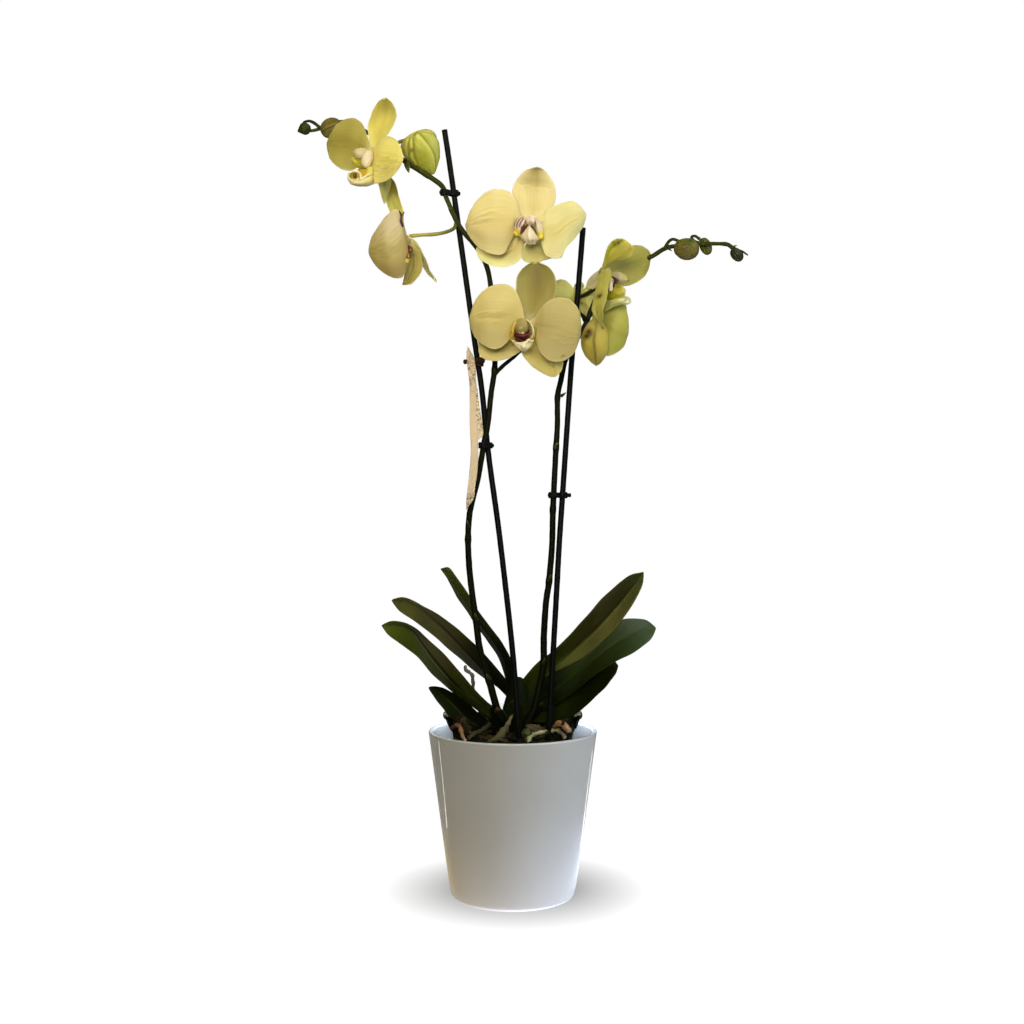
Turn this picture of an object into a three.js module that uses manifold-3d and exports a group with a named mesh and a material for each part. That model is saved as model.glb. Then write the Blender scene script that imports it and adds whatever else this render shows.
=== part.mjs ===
// Potted moth orchid with two supported flower spikes, in a glazed cover pot.
// Millimetres, +Z up, front towards -Y. Origin: centre of the cover pot's foot.
import * as THREE from 'three';
import { mergeVertices } from 'three/addons/utils/BufferGeometryUtils.js';
import { ParametricGeometry } from 'three/addons/geometries/ParametricGeometry.js';
import Module from 'manifold-3d';

const wasm = await Module();
wasm.setup();

// ---------------------------------------------------------------- driving dimensions
const GAP = 0.3;               // clearance kept between neighbouring pieces
const COVER_HEIGHT = 140;      // cover pot, foot to rim
const COVER_RIM_R = 70;        // outside radius at the rim
const COVER_FOOT_R = 44;       // flat foot
const COVER_WALL = 4.5;
const LEDGE_Z = 34;            // step inside the cover pot that carries the nursery pot
const LEDGE_R = 38;
const NURSERY_TOP = 154;
const NURSERY_LIP_R = 58;
const NURSERY_WALL = 1.0;
const DRAIN_HOLES = 6;
const DRAIN_HOLE_R = 4;
const DRAIN_RING_R = 27;
const BARK_TOP = 138;
const LEAF_THICKNESS = 2.2;
const LEAF_CREASE = 0.3;
const PETAL_THICKNESS = 1.1;
const POT_SEGMENTS = 36;
const CLIP_THICKNESS = 1.5;
const CLIP_HEIGHT = 5.5;

// Leaves: rows from base to tip, each row = [one edge, midrib, other edge], mm.
const LEAVES = {
  leaf_1: [[[-2.3,10,163.3],[3.2,7,163.7],[8.6,6,163.9]],
    [[-6.8,14.1,183.3],[-1.9,7,185.2],[3,3.5,186.6]],
    [[-14.6,19.2,202.4],[-10.5,7.5,205.4],[-6.5,0.6,207.8]],
    [[-26.7,23.9,219.3],[-23.2,9.6,223.1],[-19.9,1,226.4]],
    [[-39,25.2,236.6],[-35.7,13.1,241.1],[-32.5,4.6,245.3]],
    [[-50.6,24.8,254.4],[-47.7,15.5,259.5],[-45,10.3,264.3]],
    [[-60.7,18,273.1],[-60.7,18,273.1],[-60.7,18,273.1]]],
  leaf_2: [[[1.1,8,161.9],[1.9,8,161.1],[4.4,12,156.3]],
    [[-7.7,5.3,183.9],[-13.8,8.8,177.8],[-11.4,18.7,172.5]],
    [[-22.9,4.1,202],[-29.8,10.9,194.1],[-31.1,25.6,184.8]],
    [[-39.7,4.3,218.4],[-46.1,13.4,210.1],[-49.6,31.3,199]],
    [[-58.3,5.8,232.6],[-62.6,16.3,226],[-67.5,33.5,214.6]],
    [[-79,10.1,243.8],[-80.2,19.5,240.9],[-86.8,33.8,228.5]],
    [[-102.3,22,246.2],[-102.3,22,246.2],[-102.3,22,246.2]]],
  leaf_3: [[[-0.6,-2,151.7],[-2.3,0,148.9],[-3.9,0,146.4]],
    [[-20.8,-13.7,164.4],[-22.1,-8.4,161.6],[-25.1,-0.8,153.3]],
    [[-35.6,-25.7,183.3],[-40.5,-16,175.9],[-43.2,-3.3,166.7]],
    [[-50.2,-35.7,201.7],[-56.1,-23.7,192.9],[-60.3,-7.7,181.5]],
    [[-66.1,-42.2,218],[-69.4,-31.4,211.8],[-75.3,-13.6,198.4]],
    [[-84,-44.6,231.5],[-83.9,-35.3,228.6],[-91.4,-22,213.6]],
    [[-105.9,-36,229.9],[-105.9,-36,229.9],[-105.9,-36,229.9]]],
  leaf_4: [[[-6.4,-4,147],[-8.5,-7,143.8],[-10.5,-10,140.5]],
    [[-18.5,-2.4,147.5],[-20.6,-8.9,142],[-22.7,-13.3,136.3]],
    [[-28.2,-1.9,154.5],[-31.9,-11.2,146.4],[-35.6,-16.6,137.7]],
    [[-37.7,-2,162.1],[-41.8,-14,154.4],[-46,-20,146]],
    [[-47,-4.4,170.2],[-50.4,-17.7,164],[-53.9,-25.7,157.1]],
    [[-57.5,-12.5,176.7],[-59.5,-23.1,172.6],[-61.7,-29.5,168.1]],
    [[-68.3,-31,179.4],[-68.3,-31,179.4],[-68.3,-31,179.4]]],
  leaf_5: [[[2.7,6,170.6],[5.3,8,166.1],[9.4,9,163.4]],
    [[16.6,-1,191.9],[22.1,8.8,183.9],[26,10.9,181.7]],
    [[35.2,-5.5,208.4],[41.6,10.9,198.9],[49,10.3,192.8]],
    [[52.5,-6.2,226],[60.3,13.5,215],[69.9,9.9,207.4]],
    [[69.2,-5.4,244],[77.9,16.3,232.3],[87.9,10.5,225.6]],
    [[87.2,1.6,260.7],[94.4,18.1,251],[102.7,13.6,246.3]],
    [[110,18,270.3],[110,18,270.3],[110,18,270.3]]],
  leaf_6: [[[4.4,8,158.5],[6.1,3,152.6],[7.7,0,146.4]],
    [[19.4,16.5,176.5],[24.3,2.2,166],[28.4,-11.8,157.5]],
    [[38.8,23.3,190.7],[42.8,0.9,179.1],[46.7,-22.2,172.2]],
    [[58.9,27,204.4],[61,-2.4,192.5],[64.3,-31.9,186.9]],
    [[77.7,27,220.2],[78.3,-7.9,207],[82.1,-37.8,200.8]],
    [[98.6,15,231.1],[96.5,-13.4,219.8],[101.2,-39.6,212.1]],
    [[116.9,-22,226.9],[116.9,-22,226.9],[116.9,-22,226.9]]],
  leaf_7: [[[6,-2,151.7],[7.7,-5,148.9],[9.3,-8,147.7]],
    [[18.4,-3.7,162.5],[22.1,-8.2,154.9],[25.5,-14.4,147.8]],
    [[33.6,-5.2,169],[36,-13.5,162.1],[41.2,-25.1,152.4]],
    [[47.7,-7.7,177.5],[49.1,-19.4,170.5],[55.1,-37.6,161.2]],
    [[61,-12,187.3],[61,-25.6,180.6],[65.9,-45.3,173.7]],
    [[73.5,-20.1,198],[72.4,-32.4,191.1],[76.7,-47.7,185.6]],
    [[85.1,-40,198],[85.1,-40,198],[85.1,-40,198]]],
};

// Flowers: centre, then dorsal sepal, two petals and two lower sepals as the same kind of rows.
const FLOWERS = {
  flower_1: { centre: [12.2,-34,552.3],
    dorsal: [[[10.5,-34,553.2],[12.5,-34,553],[14.5,-34,552.9]],
    [[7,-32,557.8],[13.7,-34,557.1],[20.3,-32,557]],
    [[2.9,-30.6,565.9],[15.5,-32,564],[28,-30.6,562.5]],
    [[0,-29.6,574.4],[16.8,-29.7,572.2],[33.6,-29.6,570]],
    [[-0.1,-29,583.3],[17.4,-28,581.4],[34.9,-29,579.2]],
    [[4.2,-28.2,591.2],[18.3,-28.5,589.7],[32.4,-28.2,588.2]],
    [[10.6,-28.7,597.2],[18.9,-30.1,596.2],[27.2,-28.7,595.7]],
    [[18.9,-36,598.4],[18.9,-36,598.4],[18.9,-36,598.4]]],
    petal_a: [[[11.6,-34,554.5],[11.3,-34,552.6],[10.9,-34,550.6]],
    [[6.6,-35,558.5],[5.8,-34,553.9],[5,-35,549]],
    [[2.9,-36.6,570.1],[0.9,-38.6,554.6],[-1.2,-38.7,539.4]],
    [[-4.8,-37.1,579.3],[-5.5,-41,554],[-6.1,-40.9,529.3]],
    [[-17.1,-37,580],[-16.8,-42,553.5],[-16.5,-42,527.9]],
    [[-27.4,-36.5,573.4],[-26.9,-40.4,552.7],[-26.5,-39.2,532.8]],
    [[-34,-35.1,563.1],[-34,-37.2,551.9],[-34.1,-35.3,541.3]],
    [[-38.2,-32,551.9],[-38.2,-32,551.9],[-38.2,-32,551.9]]],
    petal_b: [[[13,-34,554.4],[13.2,-34,552.4],[13.3,-34,550.4]],
    [[17.9,-35,557.7],[18.3,-34,552.7],[18.7,-35,547.4]],
    [[24.7,-36.6,561.8],[23.9,-37.7,548.4],[23.1,-39.6,534.9]],
    [[31.3,-37.1,566.3],[30.6,-39.9,545.5],[29.9,-41.9,524.9]],
    [[38.9,-37,569.4],[39.6,-41,548.5],[40.4,-43,528.1]],
    [[46.9,-36.5,571],[47.2,-39.4,554.5],[47.7,-39.7,538.5]],
    [[53.9,-35,567.6],[54.7,-36.2,558.1],[55.7,-35,549.1]],
    [[59,-31,561.8],[59,-31,561.8],[59,-31,561.8]]],
    sepal_a: [[[10.6,-33.6,553.1],[11.8,-33.6,551.5],[13,-33.6,550]],
    [[6.6,-31,550.4],[9.1,-31,547.2],[11.5,-31,544]],
    [[0.9,-30,547.2],[4.9,-31.1,540.2],[8.9,-32.3,533.3]],
    [[-4.8,-29,543.9],[0,-31,533.7],[4.7,-33,523.5]],
    [[-10.7,-28,541.1],[-7.9,-30.3,530.1],[-5.1,-32.7,519.2]],
    [[-17,-27,539.1],[-16.5,-29,529.4],[-15.9,-32,519.6]],
    [[-23.5,-26,537.4],[-24.4,-27.2,531.3],[-25.4,-29.9,525]],
    [[-29.7,-25,535.3],[-29.7,-25,535.3],[-29.7,-25,535.3]]],
    sepal_b: [[[10.9,-33.6,550.3],[12.5,-33.6,551.5],[14.1,-33.6,552.6]],
    [[9.9,-31,544],[13.9,-31,546.8],[17.9,-31,549.6]],
    [[7.2,-32.3,535.5],[14.5,-31.1,540.6],[21.9,-30,545.6]],
    [[6.9,-33,526.7],[16.4,-31,534.2],[26,-29,541.8]],
    [[13.6,-32.7,521.9],[22.1,-30.3,530.2],[30.6,-28,538.4]],
    [[22,-32,523.5],[28.8,-29,529.5],[35.5,-27,535.5]],
    [[30.6,-29.9,525.8],[35.6,-27.2,529.5],[40.5,-26,532.9]],
    [[39.5,-25,527.6],[39.5,-25,527.6],[39.5,-25,527.6]]],
  },
  flower_2: { centre: [10.6,-40,471.6],
    dorsal: [[[9.1,-40,472.5],[11.1,-40,472.5],[13.1,-40,472.6]],
    [[9,-38,477.8],[13.8,-40,477.8],[18.6,-38,478.2]],
    [[5.8,-37.2,486.5],[16.3,-37.3,485.4],[26.8,-37.2,484.3]],
    [[2.8,-36.9,495.2],[17.9,-34.4,494.1],[33,-36.9,492.3]],
    [[2,-37,504.3],[18.9,-32,503.8],[35.7,-37,502]],
    [[3.7,-37.1,513.2],[19,-31.2,513.3],[34.1,-37.1,511.9]],
    [[9.7,-36.3,520.2],[19,-30.9,520.8],[28.1,-36.3,520]],
    [[18.5,-31,523.4],[18.5,-31,523.4],[18.5,-31,523.4]]],
    petal_a: [[[10.7,-40,473.8],[10.1,-40,471.9],[9.6,-40,469.9]],
    [[9,-41,478.7],[7.4,-40,473.2],[5.8,-41,467.5]],
    [[6.1,-42.6,491.1],[2.1,-43.7,476.1],[-1.8,-45,461.1]],
    [[-0.7,-43.1,501.7],[-4.6,-45.9,477.5],[-8.4,-46.5,453.6]],
    [[-13.2,-43,503.5],[-15.5,-47,477.6],[-17.8,-47,452.2]],
    [[-24.5,-41.9,497.9],[-25.4,-45.4,477.4],[-26.3,-44.4,457.4]],
    [[-32.1,-39.9,487.7],[-32,-42.2,476.5],[-32.1,-40.3,465.7]],
    [[-35.1,-37,475.4],[-35.1,-37,475.4],[-35.1,-37,475.4]]],
    petal_b: [[[11.6,-40,473.6],[11.5,-40,471.6],[11.4,-40,469.7]],
    [[17,-41,477.5],[16.6,-40,471.8],[16.2,-41,465.9]],
    [[23.4,-42.4,485.9],[21.3,-43.7,470.3],[19.2,-44.7,454.8]],
    [[31.9,-43.5,492.1],[28.5,-45.9,468.6],[25.2,-46.9,445.3]],
    [[42.3,-44,492.9],[38.8,-47,467.1],[35.4,-48,441.5]],
    [[50.6,-43,486.6],[48.1,-45.4,466],[45.7,-45.9,445.6]],
    [[54.2,-40.6,476.8],[53.1,-42,465.9],[52.1,-41.8,455.1]],
    [[54.8,-36,466.6],[54.8,-36,466.6],[54.8,-36,466.6]]],
    sepal_a: [[[8.9,-39.6,472.3],[10.2,-39.6,470.8],[11.5,-39.6,469.2]],
    [[5.8,-37,468.7],[8.2,-37,465.9],[10.6,-37,463.1]],
    [[0.5,-36,466.2],[4.2,-37.1,459.8],[7.8,-38.3,453.3]],
    [[-4.8,-35,463.8],[-2.3,-37,455.3],[0.2,-39,446.9]],
    [[-10.4,-34,461.8],[-9.8,-36.3,452.6],[-9.3,-38.7,443.6]],
    [[-16.2,-33,460.8],[-17.8,-35,452.1],[-19.3,-38,443.3]],
    [[-22.1,-32,460.4],[-24.6,-33.2,454.8],[-27,-35.9,449.2]],
    [[-28,-31,459.6],[-28,-31,459.6],[-28,-31,459.6]]],
    sepal_b: [[[9.3,-39.6,469.6],[11,-39.6,470.8],[12.6,-39.6,471.9]],
    [[9,-37,463.1],[13,-37,465.9],[17.1,-37,468.7]],
    [[6.8,-38.3,455.3],[14.2,-37,458.4],[21.6,-36,461.6]],
    [[7.9,-39,447.4],[17.2,-37,451.1],[26.5,-35,454.7]],
    [[12.8,-38.7,441.1],[23.2,-36.6,445.8],[33.7,-33.8,450.5]],
    [[19,-38,436.1],[29.4,-36,440.5],[39.9,-33,444.9]],
    [[26,-36.2,432.2],[32.8,-34.7,434.4],[39.6,-32.9,436.6]],
    [[33.9,-33,430.5],[33.9,-33,430.5],[33.9,-33,430.5]]],
  },
  flower_3: { centre: [-115.5,-14,614.9],
    dorsal: [[[-117.2,-13,616],[-115.4,-13.7,615.6],[-113.5,-14.4,615.1]],
    [[-117,-11,620.4],[-114.3,-12,619.7],[-111.5,-13,619.1]],
    [[-118.1,-7.9,628.5],[-112,-6.8,627.3],[-105.3,-12.9,624.5]],
    [[-118.8,-6.5,636.4],[-110.1,-3.6,635.1],[-100.3,-13.2,631]],
    [[-117.6,-6,643.9],[-107.6,-2,642.9],[-96.4,-14,638.2]],
    [[-114.5,-7.1,650.6],[-105.2,-3.6,650],[-94.7,-14.8,645.9]],
    [[-110.3,-9.1,656.4],[-104.1,-6.8,656.3],[-97.2,-14.5,653.8]],
    [[-103.6,-12,659.7],[-103.6,-12,659.7],[-103.6,-12,659.7]]],
    petal_a: [[[-116.4,-13,619.9],[-116.8,-14,614.9],[-117.2,-14,610]],
    [[-119.7,-8.4,630.7],[-121.9,-10.8,617.8],[-124.3,-11.3,605.4]],
    [[-124.2,-3.4,641.1],[-127.8,-6.9,620.9],[-131.6,-8.8,601.1]],
    [[-133.9,2,646.2],[-137.1,-2,624.4],[-140.3,-6,602.6]],
    [[-144.1,7.5,643.9],[-146.1,3.9,626.3],[-148,0,608.7]],
    [[-151,12.1,637],[-152,10,627.4],[-153,7.8,617.8]],
    [[-155.2,16,628.2],[-155.2,16,628.2],[-155.2,16,628.2]]],
    petal_b: [[[-113,-15,617.9],[-113,-15,614.6],[-112.9,-16,611.2]],
    [[-109.2,-19.5,622.6],[-111.9,-20.9,611.5],[-114.7,-20.2,600.9]],
    [[-103.1,-24.9,624.7],[-109.3,-27.3,607.1],[-116.1,-23.3,590.7]],
    [[-96.2,-31,622.8],[-101.6,-34,603.9],[-108,-26,587.3]],
    [[-91.2,-36.7,617],[-94.4,-40.4,602.2],[-98.5,-34.1,589.5]],
    [[-88.5,-40.8,610.1],[-89.8,-42.8,602.1],[-91.4,-40.3,595.1]],
    [[-87.1,-44,603],[-87.1,-44,603],[-87.1,-44,603]]],
    sepal_a: [[[-117.1,-12.7,614.8],[-115.4,-13.6,614.3],[-113.6,-14.4,613.8]],
    [[-116.7,-10,611.6],[-114.6,-11,611],[-112.5,-12,610.4]],
    [[-119.4,-7.4,609.2],[-116,-10.1,607],[-112.7,-12.1,604.9]],
    [[-122,-5,606.8],[-117.7,-9,603.1],[-113.6,-12,599.6]],
    [[-124.6,-2.2,604.4],[-120.2,-7.1,599.5],[-116,-11.1,594.8]],
    [[-127,-1,601.6],[-123.4,-5,596.3],[-119.8,-9,591.1]],
    [[-128.8,-1.4,598.2],[-127,-3.4,594.3],[-125.1,-6,590.4]],
    [[-129.9,-2,594.5],[-129.9,-2,594.5],[-129.9,-2,594.5]]],
    sepal_b: [[[-116.9,-13.6,613.9],[-115,-13.6,614.6],[-113.1,-13.6,615.2]],
    [[-114.2,-11,612.2],[-111.7,-11,613],[-109.3,-11,613.9]],
    [[-113.8,-12.1,605.3],[-109.2,-11.6,606.7],[-104.8,-9.3,608.5]],
    [[-112.8,-13,598.5],[-107.2,-12,600],[-101.9,-8,602.2]],
    [[-110.8,-13.7,591.9],[-105.6,-12,593.2],[-100.7,-7.3,595.1]],
    [[-109,-14,585.4],[-105,-12,586.4],[-101.3,-7,587.9]],
    [[-107.4,-13.6,579],[-105.1,-12.4,579.5],[-103.1,-8.6,580.5]],
    [[-105.1,-13,572.8],[-105.1,-13,572.8],[-105.1,-13,572.8]]],
  },
  flower_4: { centre: [-88.4,-8,544.3],
    dorsal: [[[-90.4,-7.8,544.8],[-88.4,-7.8,544.8],[-86.4,-7.8,544.8]],
    [[-91,-6,547.9],[-88.8,-7,547.7],[-86.8,-6,547.9]],
    [[-95.4,-3.9,556.1],[-92.2,-3.5,556.5],[-88.9,-3.7,556.8]],
    [[-99.6,-2.1,564.4],[-94.8,-0.7,565.3],[-89.7,-2.5,565.7]],
    [[-103.3,-1,572.9],[-97.6,1,574.1],[-91.5,-2,574.3]],
    [[-105.7,-1.1,581.6],[-100.1,1.7,582.7],[-94,-2.1,582.7]],
    [[-106.6,-0.4,590.6],[-101.7,2.6,591.6],[-96.2,-1.3,591.3]],
    [[-102.3,4,598.9],[-102.3,4,598.9],[-102.3,4,598.9]]],
    petal_a: [[[-89,-10,548.9],[-87.8,-10,544.4],[-86.6,-10,539.9]],
    [[-90.4,-14.6,559.4],[-87.3,-17.8,543.6],[-84.7,-14.6,528.8]],
    [[-94.8,-16.9,568.9],[-90.6,-21.4,542.8],[-87,-16.9,518.2]],
    [[-103.6,-18,561.7],[-98.4,-23,535.9],[-94,-18,511.6]],
    [[-110.7,-15.9,553],[-107.1,-19.3,533.8],[-104,-15.9,515.5]],
    [[-116.3,-11.8,543.6],[-114.2,-13,533.2],[-112.3,-11.8,523.1]],
    [[-118.1,-6,533.2],[-118.1,-6,533.2],[-118.1,-6,533.2]]],
    petal_b: [[[-85.8,-10,547.3],[-86.6,-9,545.8],[-87.5,-8,544.3]],
    [[-79.5,-7.4,543.7],[-81.4,-4.4,541.8],[-83.3,-1.5,539.9]],
    [[-75.5,-4.1,537.9],[-77.6,0.8,536.5],[-79.7,6.6,535.1]],
    [[-71.8,0,531.9],[-74.1,6,530.8],[-76.6,14,529.9]],
    [[-69.1,2.9,525.2],[-71.1,9.3,524.6],[-73.1,17.3,524.1]],
    [[-66.4,4.8,518.4],[-67.3,9.3,518.2],[-68.3,16.5,518.5]],
    [[-62.8,6,511.8],[-62.8,6,511.8],[-62.8,6,511.8]]],
    sepal_a: [[[-89.3,-6,542.2],[-87.2,-7,542.4],[-85.2,-6,543]],
    [[-88,-4.4,536.7],[-83.4,-4.3,537.4],[-78.8,-3.8,538.2]],
    [[-87.1,-3,531.2],[-81.1,-2,531.3],[-75.1,-2,531.3]],
    [[-87.6,-2,525.5],[-81.2,-0.2,524.5],[-74.5,-0.9,523.1]],
    [[-88.7,-1,519.9],[-83.3,1,517.9],[-77.6,0,515.6]],
    [[-90.1,0.4,514.3],[-86.8,1.6,512.1],[-83.4,1,509.7]],
    [[-91.6,2,508.8],[-91.6,2,508.8],[-91.6,2,508.8]]],
    sepal_b: [[[-89.4,-6.6,545.4],[-88.5,-7.6,544],[-87.6,-8.6,542.6]],
    [[-90.3,-4,543.3],[-89.4,-5,541.9],[-88.5,-6,540.5]],
    [[-93.5,0.2,540.4],[-91.6,-1.4,538.1],[-89.8,-3,535.8]],
    [[-96.7,4,537.3],[-94,2,534.2],[-91.3,0,531.1]],
    [[-99.7,7.3,534.1],[-96.3,5.1,530.2],[-92.9,2.9,526.4]],
    [[-102.7,10,530.7],[-99.1,8,526.4],[-95.5,6,522.1]],
    [[-104.9,12.1,526.9],[-102.9,11,524.3],[-100.9,9.8,521.6]],
    [[-106.6,14,522.8],[-106.6,14,522.8],[-106.6,14,522.8]]],
  },
  flower_5: { centre: [75,-6,518.4],
    dorsal: [[[73.3,-5.4,519.1],[74.9,-6.4,518.6],[76.5,-7.4,518]],
    [[72.4,-8,519.8],[74,-9,519.3],[75.6,-10,518.7]],
    [[71.2,-11.4,527.7],[75.2,-13.6,524.3],[79.1,-16.2,520.9]],
    [[74.7,-14.4,534.7],[78.8,-18.7,528.6],[83,-21.6,522.7]],
    [[79.7,-17,541],[83.3,-24,532.1],[87.2,-26,524]],
    [[86.8,-20.4,543.9],[88.8,-29,534.2],[91.3,-29.3,525.8]],
    [[93.7,-23.4,539.3],[94.3,-29.2,533.5],[95.3,-29.3,528.6]],
    [[98.9,-26,532.7],[98.9,-26,532.7],[98.9,-26,532.7]]],
    petal_a: [[[75.2,-3,522.9],[75.9,-4,518.7],[76.8,-4,514.6]],
    [[80.5,0.3,530.5],[82,0,520],[83.3,-2.8,509.1]],
    [[87.1,3.9,537.1],[89.6,4,522.7],[91.9,-0.8,507.5]],
    [[95.2,8,541.7],[98.1,8,526.2],[100.5,3,510]],
    [[104.3,12,543.4],[106.5,12,529.6],[108.3,8.1,515.3]],
    [[112.6,16,540.4],[113.2,16,532],[113.5,13.9,523.3]],
    [[115.6,20,532.8],[115.6,20,532.8],[115.6,20,532.8]]],
    petal_b: [[[73.2,-6.9,518],[75.1,-6.9,518.6],[77,-6.9,519.3]],
    [[72.3,-10,518.7],[75.9,-12,519.7],[79.7,-10,521.2]],
    [[69.2,-16.7,510.5],[74.7,-20.2,511.1],[80.5,-17.9,512.5]],
    [[66.8,-23.6,502],[72,-28,502.7],[77.6,-26.8,504.1]],
    [[64.9,-30,493.6],[70.4,-34,494.4],[76,-36,495.4]],
    [[63.4,-35.4,485.4],[68.3,-37.4,486.6],[72.9,-42.7,487.5]],
    [[66.3,-36.1,478.3],[69.1,-37.6,479.4],[71.6,-42.5,480.1]],
    [[72.1,-36,473.1],[72.1,-36,473.1],[72.1,-36,473.1]]],
    sepal_a: [[[73.6,-5.4,517.7],[75.3,-5.4,518.1],[76.9,-5.4,518.5]],
    [[75.3,-1,515.8],[76.9,-2,516.1],[78.6,-1,516.6]],
    [[74.7,1.2,511.1],[78.8,0.1,511.5],[83,-0.5,511.9]],
    [[74.1,3,506.3],[80.1,2,506.4],[86.1,0,506.4]],
    [[73.5,4.2,501.5],[80.6,3.8,501],[87.5,0.8,500.2]],
    [[73.1,5,496.5],[79.6,5,495.6],[85.8,2,494.3]],
    [[74.1,5.5,491.7],[77.5,5.6,491.1],[80.9,3.8,490.4]],
    [[75.8,6,486.9],[75.8,6,486.9],[75.8,6,486.9]]],
    sepal_b: [[[74.5,-5,520.4],[74.7,-5.2,518.4],[75,-5.5,516.4]],
    [[72.9,0,521.7],[73.2,-1,518.3],[73.7,-1,515]],
    [[70.1,3,520.3],[71.5,2.6,516.4],[72.8,2.8,512.4]],
    [[67.5,6,518.8],[69.5,6,514.4],[71.5,6,510]],
    [[65.1,9.2,517],[67.3,9.2,512.6],[69.4,8,507.9]],
    [[63,12,514.8],[64.9,12,510.8],[66.7,10,506.5]],
    [[61.8,14.1,511.9],[62.8,14.1,509.7],[63.7,12.8,507.3]],
    [[60.9,16,508.9],[60.9,16,508.9],[60.9,16,508.9]]],
  },
  flower_6: { centre: [71.9,-4,481.8],
    dorsal: [[[69.9,-3,482.5],[71.9,-3,482.5],[73.9,-3,482.5]],
    [[69.8,4,486.7],[72.3,3,486.6],[74.8,4,486.7]],
    [[69,7.2,490.4],[72.9,6.7,490.7],[76.9,7.3,491.1]],
    [[68.2,10,494.1],[73.3,10,494.8],[78.5,10,495.6]],
    [[67.1,12.3,497.7],[72.9,13.3,499.1],[78.5,11.6,500.2]],
    [[66.2,14,501.2],[71.6,15,503],[76.9,13,504.4]],
    [[67.3,15.1,504.7],[70.2,15.6,505.7],[73,14.5,506.6]],
    [[68.8,16,508],[68.8,16,508],[68.8,16,508]]],
    petal_a: [[[70.3,-2,485.2],[70.8,-2,480.3],[71.2,-2,475.4]],
    [[77.1,-6.6,489.6],[74.5,-6.2,477.8],[71.9,-4.9,466.1]],
    [[84.6,-9,493.1],[79,-9.8,474.9],[73.6,-6.9,457]],
    [[92.6,-10,492.5],[84.9,-12,470.6],[77.6,-8,449.3]],
    [[94.3,-9,484.3],[90,-11,468.2],[86,-7.5,452.5]],
    [[95.1,-6.6,476.1],[93.6,-8.4,467.3],[92.5,-6,458.9]],
    [[95.3,-2,468],[95.3,-2,468],[95.3,-2,468]]],
    petal_b: [[[71.5,-2.2,484.4],[71.7,-2.2,482.4],[71.9,-2.2,480.4]],
    [[70.1,8,490.5],[70.5,8,486.3],[70.9,8,482.2]],
    [[68.1,12.2,493.9],[67.7,12,488.4],[67.4,12.2,482.9]],
    [[66.1,16,497.3],[64.9,16,490.4],[63.8,16,483.5]],
    [[63.1,19.1,499.4],[61.8,20.4,492.2],[60.3,19.1,484.8]],
    [[59.6,22,499.4],[58.9,24,493.9],[58,22,488]],
    [[56.8,25,497.5],[56.5,26.1,494.7],[56.2,25,491.6]],
    [[54.3,28,495.2],[54.3,28,495.2],[54.3,28,495.2]]],
    sepal_a: [[[69.5,-5.2,482],[71.4,-5.2,481.7],[73.4,-5.2,481.4]],
    [[66.6,-10,481.9],[69,-12,481.3],[71.5,-10,481.1]],
    [[61.4,-13.1,475.3],[68,-17.5,474.4],[75.2,-13.1,474.3]],
    [[57.2,-14.5,468.2],[67,-20,467.1],[77.3,-14.5,467]],
    [[55.4,-15,460.4],[66.1,-21,459.4],[77.5,-15,459.5]],
    [[57.5,-13.4,452.8],[67,-18.9,452],[77.2,-13.4,452.1]],
    [[62,-10.8,446.2],[67.9,-14.6,445.6],[74.3,-10.8,445.5]],
    [[68.4,-8,441.3],[68.4,-8,441.3],[68.4,-8,441.3]]],
    sepal_b: [[[70.8,-2.8,481.3],[72.4,-2.8,482.6],[74,-2.8,483.8]],
    [[74,4,485.9],[75.6,4,487.1],[77.3,4,488.4]],
    [[77.9,7.6,483.6],[80.8,9.1,485.7],[83.5,7.6,487.4]],
    [[80.4,10,480.1],[84.7,12,482.5],[88.6,10,484.5]],
    [[81.7,11,475.8],[86.4,13.1,477.6],[90.8,11,478.9]],
    [[82.7,12,471.5],[86.9,14,472.4],[90.9,12,473]],
    [[83.8,13.8,467.2],[86,15,467.6],[88.1,13.8,467.8]],
    [[84.8,16,463],[84.8,16,463],[84.8,16,463]]],
  },
  flower_7: { centre: [53.9,20,501],
    dorsal: [[[52,20.6,501.7],[54,20.6,501.7],[56,20.6,501.7]],
    [[52.4,24,505.6],[54.5,24,505.6],[56.6,24,505.6]],
    [[51.9,24.7,507.7],[55.1,25.9,507.7],[58.2,24.7,507.4]],
    [[51.5,25.3,509.8],[55.7,27.4,509.7],[59.7,25.3,509.1]],
    [[52.1,26,511.9],[56.4,28,511.8],[60.5,26,511.2]],
    [[53.4,26.7,513.6],[56.5,28.1,513.6],[59.4,26.7,513.2]],
    [[54.9,27.3,515.1],[56.4,28,515.1],[57.9,27.3,514.9]],
    [[56.4,28,516.6],[56.4,28,516.6],[56.4,28,516.6]]],
    petal_a: [[[52.3,20,506.8],[51.8,20,501.8],[51.4,20,496.8]],
    [[48.8,18.8,511.1],[48.3,17.2,501.1],[47.9,18.8,491.5]],
    [[44.5,18,514.6],[43.8,16,500.9],[43.2,18,487.7]],
    [[39,17.8,515.4],[38,15.8,501.4],[37.1,17.8,487.9]],
    [[34.1,18,512.8],[33.2,16,502],[32.4,18,491.7]],
    [[30.7,19.5,508.7],[30.2,17.6,502.8],[29.7,19.5,497.3]],
    [[28.9,26,504.2],[28.9,26,504.2],[28.9,26,504.2]]],
    petal_b: [[[54.2,20,503.1],[54.4,20,501.1],[54.6,20,499.1]],
    [[56.4,20,506],[56.9,20,501.8],[57.3,20,497.6]],
    [[59.8,18.7,508.2],[60.4,18,501],[61,18.7,494.1]],
    [[63.3,18,510],[64.4,17,501.1],[65.7,18,492.3]],
    [[67.2,18.3,511.2],[68.8,16.8,502.3],[70.5,18.3,493.8]],
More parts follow.
